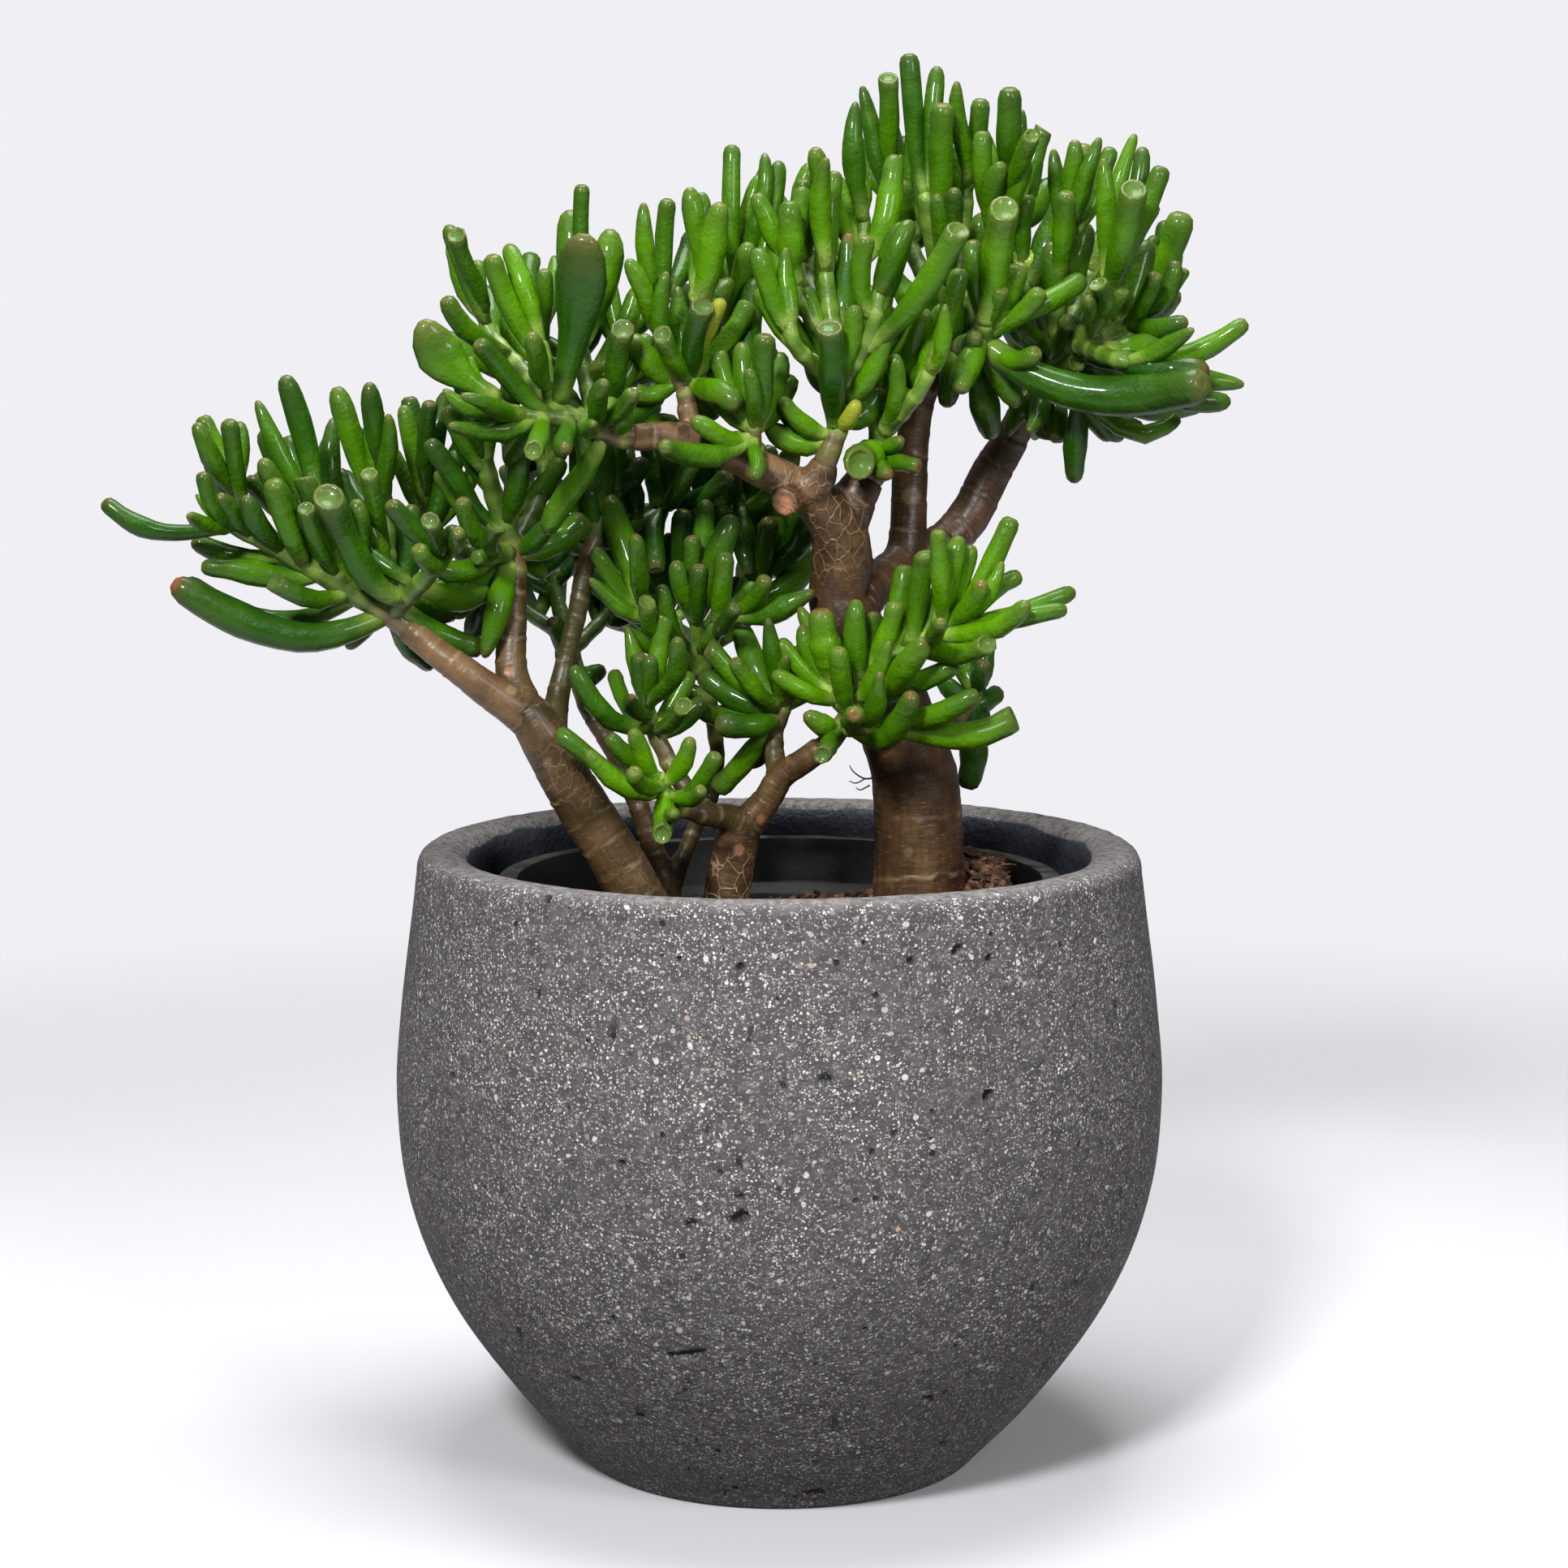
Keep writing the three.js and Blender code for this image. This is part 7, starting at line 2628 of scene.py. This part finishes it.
    def _spots(self, points: Array, marks: Sequence[Mark]) -> Array:
        """Finds how strongly typed marks cover points.

        Args:
            points: rows of three.
            marks: the marks.

        Returns:
            The cover of each point, from 0 to 1.
        """
        cover = np.zeros(len(points))
        for mark in marks:
            away = np.linalg.norm(points - place(*mark.place), axis=1)
            away += Noise(mark.reach * 0.5, self.spot_noise, mark.reach).at(points) * self.spot_edge
            full = 1 - smooth_step(away, mark.reach * self.spot_core, mark.reach)
            cover = np.maximum(cover, full * mark.strength)
        return cover

    def _with_rootlets(self, piece: Object, tube: Object) -> Object:
        """Gives the stem with its fine aerial roots.

        Args:
            piece: The stem.
            tube: The line that it follows.

        Returns:
            The stem with its roots.
        """
        form, roots = points_of(tube.data), Copies(piece)
        for rows in self.rootlets:
            line = Line(Chain.typed(rows).smoothed(self.rootlet_steps))
            mesh = roots.add(tube, line.tube(form) * MM)
            write_attribute(mesh, "bark_grain", 0, 0, 0)
            write_attribute(mesh, "bark_marks", 0, 0, 0)
            write_attribute(mesh, "bark_tone", 0, 1, 0)
        return roots.joined(piece.name)


STEM_PLANS = (
    Stem(
        "trunk_main", seed=3,
        cuts=(Mark((1, 426, -26), 6.2),),
        nets=(Mark((19, 415, -10), 26, 0.7), Mark((10, 432, -14), 18, 0.5)),
        # Pale marks: the first is a painted highlight, a pale spot that stands in for a glint on the bole;
        # the second is a pale ring scar.
        rings=(Mark((57, 272, -7), 3.2, 0.35), Mark((58, 430, 40), 5, 0.7)),
        green={"mid_twig": 0.2, "rear_shoot": 0.5},
        # Darker limbs: partly darker bark, partly painted shade, strongest on the rear shoot, which lies
        # behind in shadow.
        dark={"rear_shoot": 0.8, "back_limb": 0.35, "right_limb": 0.3, "bole": 0.3},
        tan={"mid_limb": 0.9, "mid_twig": 0.7, "knot_twig": 0.5, "crown_stub": 0.4},
        rootlets=(
            ((44, 306, 0, 0.5), (38, 305, -5, 0.4), (33, 308, -8, 0.3), (31, 311, -9, 0.2)),
            ((38, 305, -5, 0.35), (34, 303, -8, 0.3), (31, 304, -10, 0.2)),
            ((40, 302, -3, 0.4), (36, 300, -6, 0.3), (34, 301, -8, 0.2)),
        ),
    ),
    Stem(
        "trunk_left", seed=7,
        cuts=(Mark((-120, 353, -22), 3.2, 0.6),),
        nets=(Mark((-60, 246, -24), 34, 0.16), Mark((-94, 308, -26), 20, 0.3)),
        rings=(
            Mark((-99, 341, -22), 5), Mark((-125, 340, -26), 3.5), Mark((-119, 344, -26), 3, 0.7),
            Mark((-92, 317, -28), 3.4, 0.6), Mark((-103, 312, -30), 2.6, 0.5),
        ),
        green={"inner_stub": 0.35, "dark_twig": 1.0, "bole": 0.2},
        # Painted shade: the dark twig lies in deep shadow behind the heads and is painted darker.
        dark={"dark_twig": 0.8, "bole": 0.1},
        tan={"arm": 0.5, "inner_stub": 0.3, "bole": 0.15},
    ),
    Stem(
        "trunk_centre", seed=12,
        cuts=(Mark((-18, 273, -24), 3.0, 0.45), Mark((-8, 287, -21), 2.4, 0.35)),
        nets=(Mark((-25, 250, -22), 27),),
        green={"small_twig": 0.6, "low_twig": 0.7, "left_arm": 0.4, "right_arm": 0.15},
    ),
    Stem("trunk_slim", seed=15, green={"bole": 0.25, "fork": 0.6}, dark={"bole": 0.35, "fork": 0.5}),
)


# The heads of leaves

# A leaf pattern is ten half widths long. Its rings are (height, half width, half thickness, rim, cup).
LEAF_FORMS: dict[Tip, Rows] = {
    Tip.CUP: (
        (0, 0.6, 0.6, 0, 0), (1.6, 0.68, 0.68, 0, 0), (3.8, 0.88, 0.86, 0, 0), (6.4, 0.96, 0.94, 0, 0),
        (8.3, 0.9, 0.88, 0, 0), (9.25, 0.96, 0.95, 0, 0), (9.8, 0.93, 0.93, 0.2, 0),
        (9.92, 0.82, 0.82, 1, 0), (9.8, 0.68, 0.68, 0.2, 0.7), (9.6, 0.4, 0.4, 0, 1),
    ),
    Tip.BLUNT: (
        (0, 0.56, 0.56, 0, 0), (1.6, 0.68, 0.68, 0, 0), (3.8, 0.88, 0.86, 0, 0), (6.2, 0.96, 0.94, 0, 0),
        (8.1, 0.9, 0.88, 0, 0), (9.05, 0.91, 0.91, 0, 0), (9.62, 0.76, 0.76, 0.1, 0),
        (9.88, 0.44, 0.44, 0.9, 0.1), (9.8, 0.16, 0.16, 0.5, 0.4),
    ),
    Tip.ROUND: (
        (0, 0.56, 0.56, 0, 0), (1.6, 0.7, 0.7, 0, 0), (3.8, 0.95, 0.92, 0, 0), (6.2, 1, 0.98, 0, 0),
        (8.1, 0.92, 0.9, 0, 0), (9.0, 0.83, 0.83, 0, 0), (9.6, 0.62, 0.62, 0.1, 0),
        (9.88, 0.32, 0.32, 0.8, 0.1), (9.9, 0.12, 0.12, 0.6, 0.3),
    ),
    Tip.POINT: (
        (0, 0.6, 0.6, 0, 0), (1.8, 0.78, 0.74, 0, 0), (4, 1, 0.96, 0, 0), (6.4, 0.95, 0.92, 0, 0),
        (8.2, 0.72, 0.72, 0, 0), (9.2, 0.54, 0.54, 0, 0), (9.8, 0.32, 0.32, 0.5, 0),
        (9.97, 0.13, 0.13, 1, 0),
    ),
    Tip.SPOON: (
        (0, 0.42, 0.8, 0, 0), (2, 0.46, 0.8, 0, 0), (4.4, 0.62, 0.86, 0, 0), (6.4, 0.9, 1, 0, 0),
        (8, 1, 0.98, 0, 0), (9.1, 0.86, 0.86, 0.2, 0), (9.7, 0.56, 0.6, 0.8, 0), (9.95, 0.24, 0.24, 1, 0.2),
    ),
}


@dataclass(frozen=True)
class PatternRule:
    """How the leaf patterns are modelled and laid along a leaf, in half widths or millimetres."""

    length: float = 10.0
    tip: float = 8.5
    sides: int = 8
    steps: int = 12
    fine_sides: int = 12
    fine_steps: int = 24
    fine_rings: int = 3
    fine_width: float = 10.5
    fine_length: float = 50.0
    plumpness: float = 1.08
    tip_reach: float = 1.2
    waves: tuple[float, float] = (9, 17)
    second_wave: float = 0.6
    cup_slope: float = 0.4
    facing_slope: float = 0.5
    slope_heights: tuple[float, float] = (7.8, 9.4)


PATTERN = PatternRule()


@dataclass(frozen=True)
class LeafLook:
    """How leaves vary in tip, tint and blush, and the painted shade that darkens leaves that reach back and
    listed leaves that lie in shadow.
    """

    seed: int = 31
    cup_share: float = 0.04
    blunt_share: float = 0.4
    round_share: float = 0.38
    spoon_width: float = 16.0
    stoutness: float = 0.86
    tint_spread: float = 0.24
    depth_shade: float = 0.004
    blushed: float = 0.09
    strong_blush: float = 0.9
    usual_blush: float = 0.3
    open_blush: float = 0.3
    wobble: float = 0.08
    bow: float = 0.09
    hook: float = 0.12
    wave: float = 0.04
    upturn: float = 0.07
    facing_lean: float = -20.0
    facing_share: float = 0.2
    yellow_tips: Rows = ((34, 471), (-27, 516))
    yellowness: float = 0.45
    shaded_tips: Rows = ((187, 481), (131, 436), (-34, 512), (187, 483), (157, 494), (22, 503), (-85, 543))
    shade_darkening: float = 0.4
    cups: Rows = (
        (98, 554), (141, 523), (107, 586), (-34, 512), (34, 444), (-180, 439), (-125, 416), (-43, 337),
        (103, 333), (20, 316), (22, 503), (47, 610), (154, 564), (-107, 451), (-52, 282),
    )
    scabs: Rows = ((157, 494), (61, 341), (-254, 397), (-267, 391), (47, 439))
    scab_blush: float = 2.5
    reach: float = 3.5

    def choose(self, leaf: Leaf, tone: float, stream: Stream) -> None:
        """Chooses a leaf's tip, tint, blush, roll and wobble.

        Args:
            leaf: the leaf.
            tone: how light its head is painted, partly painted light and shade.
            stream: what the rest is drawn from.
        """
        lot = stream.draw()
        if self._listed(leaf, self.cups):
            leaf.tip, leaf.turn_to_eye, leaf.thickness = Tip.CUP, True, leaf.width * RULE.roundness
            leaf.tint = tone + stream.either_side(self.tint_spread)
        elif leaf.width > self.spoon_width and leaf.thickness < leaf.width * self.stoutness:
            leaf.tip = Tip.SPOON
        elif leaf.width > FILL.young_width[1]:
            deeper = float(leaf.tip_point[1] - leaf.start[1])
            leaf.turn_to_eye = deeper <= self.facing_lean and lot < self.facing_share
            lot = 0 if leaf.turn_to_eye else lot
            leaf.thickness = max(leaf.thickness, leaf.width * self.stoutness)
            shares = np.cumsum((self.cup_share, self.blunt_share, self.round_share))
            leaf.tip = (Tip.CUP, Tip.BLUNT, Tip.ROUND, Tip.POINT)[int(np.searchsorted(shares, lot))]
            leaf.tint = tone + stream.either_side(self.tint_spread)
            # Painted shade: a leaf whose tip lies further back than its root is darkened.
            leaf.tint -= max(0.0, deeper) * self.depth_shade
        strong = stream.draw() < self.blushed
        leaf.blush = self.strong_blush if strong else self.usual_blush * stream.draw()
        leaf.roll = stream.angle()
        leaf.wobble = stream.either_side(self.wobble)
        leaf.bow = stream.either_side(self.bow)
        leaf.hook = stream.either_side(self.hook)
        leaf.wave = stream.either_side(self.wave)
        leaf.upturn = self.upturn
        if leaf.tip in (Tip.CUP, Tip.SPOON):
            leaf.blush *= self.open_blush
        if self._listed(leaf, self.yellow_tips):
            leaf.yellow = self.yellowness
        # Painted shade: the listed leaves that lie in shadow are darkened.
        if self._listed(leaf, self.shaded_tips):
            leaf.tint -= self.shade_darkening
        if self._listed(leaf, self.scabs):
            leaf.tip, leaf.blush = Tip.ROUND, self.scab_blush

    def _listed(self, leaf: Leaf, places: Rows) -> bool:
        """Tells whether a leaf's tip is seen at one of the places."""
        seen = seen_at(leaf.tip_point)
        return any(math.hypot(seen[0] - across, seen[1] - up) < self.reach for across, up in places)


class LeafPatterns:
    """One pattern for each way a leaf ends, from which every leaf is copied."""

    def __init__(self, leaf_skin: bpy.types.Material) -> None:
        """Models the patterns, each for usual leaves and finer for stout and long ones.

        Args:
            leaf_skin: The leaves' material.
        """
        self.patterns: dict[tuple[Tip, bool], tuple[Object, Array]] = {}
        for tip, rows in LEAF_FORMS.items():
            for fine, sides in ((False, PATTERN.sides), (True, PATTERN.fine_sides)):
                rings = self._finer(rows) if fine else rows
                pattern = ring_by_ring(f"leaf_{tip.value}", [ring[:3] for ring in rings], sides)
                heights, _, _, rim, cup = (np.repeat(column, sides) for column in np.array(rings).T)
                write_attribute(pattern.data, "leaf_place", heights / PATTERN.length, rim, cup)
                pattern.data.materials.append(leaf_skin)
                self.patterns[tip, fine] = (pattern, points_of(pattern.data))

    @staticmethod
    def _finer(rows: Rows) -> Rows:
        """Gives a form's rings with more of them in each long span.

        Args:
            rows: The rings.

        Returns:
            The rings with the added ones.
        """
        found: list[Row] = []
        for low, high in zip(rows, rows[1:]):
            steps = PATTERN.fine_rings if high[0] - low[0] > 1 else 1
            for k in range(steps):
                found.append(tuple(start + (stop - start) * k / steps for start, stop in zip(low, high)))
        return (*found, rows[-1])

    def add_leaf(self, leaf: Leaf, leaves: Copies) -> None:
        """Adds a leaf, bent along its curve, to a head's copies.

        Args:
            leaf: the leaf.
            leaves: the head's copies.
        """
        fine = leaf.width > PATTERN.fine_width
        fine = bool(fine or np.linalg.norm(leaf.tip_point - leaf.start) > PATTERN.fine_length)
        pattern, form = self.patterns[leaf.tip, fine]
        wide, thick = leaf.width / 2 * PATTERN.plumpness, leaf.thickness / 2 * PATTERN.plumpness
        curve = leaf.curve(PATTERN.fine_steps if fine else PATTERN.steps)
        line = Line(Chain(curve, np.full(len(curve), wide)))
        height = form[:, 2]
        length = line.length + PATTERN.tip_reach
        below_tip = length - (PATTERN.length - PATTERN.tip) * wide
        in_tip = length - (PATTERN.length - height) * wide
        run = np.where(height > PATTERN.tip, in_tip, height / PATTERN.tip * below_tip)
        part, (slow, quick) = height / PATTERN.length, PATTERN.waves
        uneven = 1 + leaf.wobble * np.sin(part * slow + leaf.roll)
        uneven += leaf.wobble * PATTERN.second_wave * np.sin(part * quick)
        across, front = form[:, 0] * uneven, form[:, 1] * uneven
        if leaf.tip is Tip.CUP:
            slope = PATTERN.facing_slope * front
            if not leaf.turn_to_eye:
                slope = PATTERN.cup_slope * (across * math.sin(leaf.roll) + front * math.cos(leaf.roll))
            run = run + slope * wide * smooth_step(height, *PATTERN.slope_heights)
        mesh = leaves.add(pattern, line.wrap(across * wide, front * thick, run) * MM)
        write_attribute(mesh, "leaf_tone", leaf.tint, leaf.blush, leaf.yellow)

    def remove(self) -> None:
        """Removes the patterns."""
        for pattern, _ in self.patterns.values():
            bpy.data.objects.remove(pattern)


@dataclass
class TwigPattern:
    """The pattern of a green twig, from which every twig is copied, in millimetres."""

    skin: bpy.types.Material
    rings: int = 20
    sides: int = 10
    end: Rows = ((0.985, 0.86, 0.86), (1, 0.45, 0.45))
    steps: int = 5
    sunk: float = 3
    sunk_taper: float = 0.96
    first_joint: float = 7.0
    joint_gap: float = 11.0
    joint_width: float = 1.7
    girth: float = 0.94
    swelling: float = 0.1
    woody: tuple[float, float] = (8, 34)
    side_woody: tuple[float, float] = (0, 12)
    side_share: float = 0.35

    def __post_init__(self) -> None:
        """Models a tube with a rounded end."""
        heights = [(k / self.rings, 1, 1) for k in range(self.rings)] + list(self.end)
        self.pattern = ring_by_ring("twig", heights, self.sides)
        self.pattern.data.materials.append(self.skin)
        self.form = points_of(self.pattern.data)

    def add_twig(self, twig: Twig, tint: float, leaves: Copies) -> None:
        """Adds a twig with its swollen joints to a head's copies.

        Args:
            twig: the twig.
            tint: how light its head is painted, partly painted light and shade.
            leaves: the head's copies.
        """
        chain = twig.chain.smoothed(self.steps)
        if twig.first:
            back = unit(chain.points[0] - chain.points[1])
            foot = Chain(chain.points[:1] + back * self.sunk, chain.radii[:1] * self.sunk_taper)
            chain = foot.joined_to(chain)
        line = Line(chain)
        run = self.form[:, 2] * line.length
        joints = np.arange(self.first_joint, line.length, self.joint_gap)
        near = bell(run[:, None], joints[None], self.joint_width).max(1, initial=0)
        swollen = self.form.copy()
        swollen[:, :2] *= (self.girth + self.swelling * near)[:, None]
        mesh = leaves.add(self.pattern, line.tube(swollen) * MM)
        reach, share = (self.woody, 1.0) if twig.first else (self.side_woody, self.side_share)
        write_attribute(mesh, "leaf_place", self.form[:, 2], near, 0)
        write_attribute(mesh, "leaf_tone", tint, share * (1 - smooth_step(run, *reach)), 0)

    def remove(self) -> None:
        """Removes the pattern."""
        bpy.data.objects.remove(self.pattern)


class Foliage:
    """All the heads of finger leaves on their green twigs."""

    def __init__(self, heads: Sequence[Head]) -> None:
        """Takes the grown heads and makes their finishes.

        Args:
            heads: The grown heads.
        """
        self.heads = heads
        self.look = LeafLook()
        self.leaf_skin, self.twig_skin = LeafFinish().material(), TwigFinish().material()

    def build(self) -> None:
        """Models each head and sets it in place."""
        patterns, twigs = LeafPatterns(self.leaf_skin), TwigPattern(self.twig_skin)
        stream = Stream(self.look.seed)
        for head in self.heads:
            copies = Copies()
            for leaf in head.leaves:
                self.look.choose(leaf, head.plan.tone, stream)
                patterns.add_leaf(leaf, copies)
            for twig in head.twigs:
                twigs.add_twig(twig, head.plan.tone, copies)
            piece = copies.joined(head.plan.name.replace("foliage", "head"))
            LOG.info("%s: %d leaves", piece.name, len(head.leaves))
            set_in_place(piece, (), head.plan.name)
        patterns.remove()
        twigs.remove()


# The studio


@dataclass(frozen=True)
class Lamp:
    """A soft square light, in metres and watts, aimed at a point."""

    name: str
    place: tuple[float, float, float]
    size: float
    power: float
    aim: tuple[float, float, float] = (0, 0, 0.35)

    def hang(self) -> None:
        """Adds the light to the scene."""
        choose()
        bpy.ops.object.light_add(type="AREA", location=self.place)
        lamp = bpy.context.object
        lamp.name = f"light_{self.name}"
        lamp.data.size, lamp.data.energy = self.size, self.power
        way = np.array(self.place) - np.array(self.aim)
        level = math.hypot(way[0], way[1])
        lamp.rotation_euler = (math.atan2(level, way[2]), 0, math.atan2(way[1], way[0]) + math.pi / 2)


@dataclass
class Studio:
    """A pale floor that fades into a pale surround, soft lights and the camera, in metres."""

    backdrop: Paint = paint(240, 239, 243)
    floor_tone: Paint = paint(226, 225, 229)
    floor_radius: float = 3.0
    floor_sides: int = 128
    fade: tuple[float, float] = (0.55, 1.5)
    surround: float = 0.14
    camera_place: tuple[float, float, float] = (0.002, -1.452, 0.484)
    pitch: float = 7.12
    lens: float = 75.65
    sensor: float = 36
    lamps: tuple[Lamp, ...] = (
        Lamp("key", (-0.6, -1.8, 1.65), 0.35, 52, (0, 0, 0.33)),
        Lamp("fill", (0.95, -1.5, 1.2), 0.5, 14),
        Lamp("top", (0.0, 0.1, 1.9), 0.9, 30),
    )

    def build(self) -> None:
        """Sets up floor, surround, lights and camera."""
        scene = bpy.context.scene
        scene.view_settings.view_transform = "Standard"
        scene.view_settings.look = "None"
        self._floor()
        self._surround(scene)
        for lamp in self.lamps:
            lamp.hang()
        camera = bpy.data.cameras.new("camera")
        camera.lens, camera.sensor_width = self.lens, self.sensor
        holder = bpy.data.objects.new("camera", camera)
        holder.location = self.camera_place
        holder.rotation_euler = (math.radians(90 - self.pitch), 0, 0)
        scene.collection.objects.link(holder)
        scene.camera = holder

    def _floor(self) -> None:
        """Adds the floor, whose material fades away far from the planter."""
        choose()
        size = {"vertices": self.floor_sides, "radius": self.floor_radius}
        bpy.ops.mesh.primitive_circle_add(**size, fill_type="NGON")
        floor = bpy.context.object
        floor.name = "floor"
        floor.visible_diffuse = False
        recipe = Recipe("pale_floor", Roughness=0.85, Specular_IOR_Level=0.2, Base_Color=self.floor_tone)
        across, depth, _ = recipe.parts(recipe.place)
        squares = recipe.sum("ADD", recipe.times(across, across), recipe.times(depth, depth))
        away = recipe.sum("SQRT", squares)
        shown = recipe.sum("SUBTRACT", 1.0, recipe.step(away, *self.fade))
        recipe.tree.links.new(shown, recipe.shader.inputs["Alpha"])
        floor.data.materials.append(recipe.material)

    def _surround(self, scene: bpy.types.Scene) -> None:
        """Lights the scene evenly, and shows the backdrop's tone behind it.

        Args:
            scene: The scene.
        """
        world = bpy.data.worlds.new("surround")
        scene.world = world
        world.use_nodes = True
        tree = world.node_tree
        tree.nodes.clear()
        path, mix, out = (
            tree.nodes.new(kind)
            for kind in ("ShaderNodeLightPath", "ShaderNodeMixShader", "ShaderNodeOutputWorld")
        )
        light, shown = (tree.nodes.new("ShaderNodeBackground") for _ in range(2))
        light.inputs["Color"].default_value = (1, 1, 1, 1)
        light.inputs["Strength"].default_value = self.surround
        shown.inputs["Color"].default_value = self.backdrop
        tree.links.new(path.outputs["Is Camera Ray"], mix.inputs[0])
        tree.links.new(light.outputs[0], mix.inputs[1])
        tree.links.new(shown.outputs[0], mix.inputs[2])
        tree.links.new(mix.outputs[0], out.inputs["Surface"])


LIMB_RINGS = 30
LIMB_SIDES = 16


def main() -> None:
    """Builds the potted plant piece by piece."""
    logging.basicConfig(level=logging.INFO, format="%(message)s")
    for pot in (Planter(), NurseryPot(), PottingMix()):
        pot.dress(pot.build())
    tube = ring_by_ring("limb", [(k / LIMB_RINGS, 1, 1) for k in range(LIMB_RINGS + 1)], LIMB_SIDES)
    bark = BarkFinish().material()
    for stem in STEM_PLANS:
        stem.dress(stem.build(tube), bark)
    bpy.data.objects.remove(tube)
    Foliage(Plant().grow()).build()
    Studio().build()


if __name__ == "__main__":
    main()
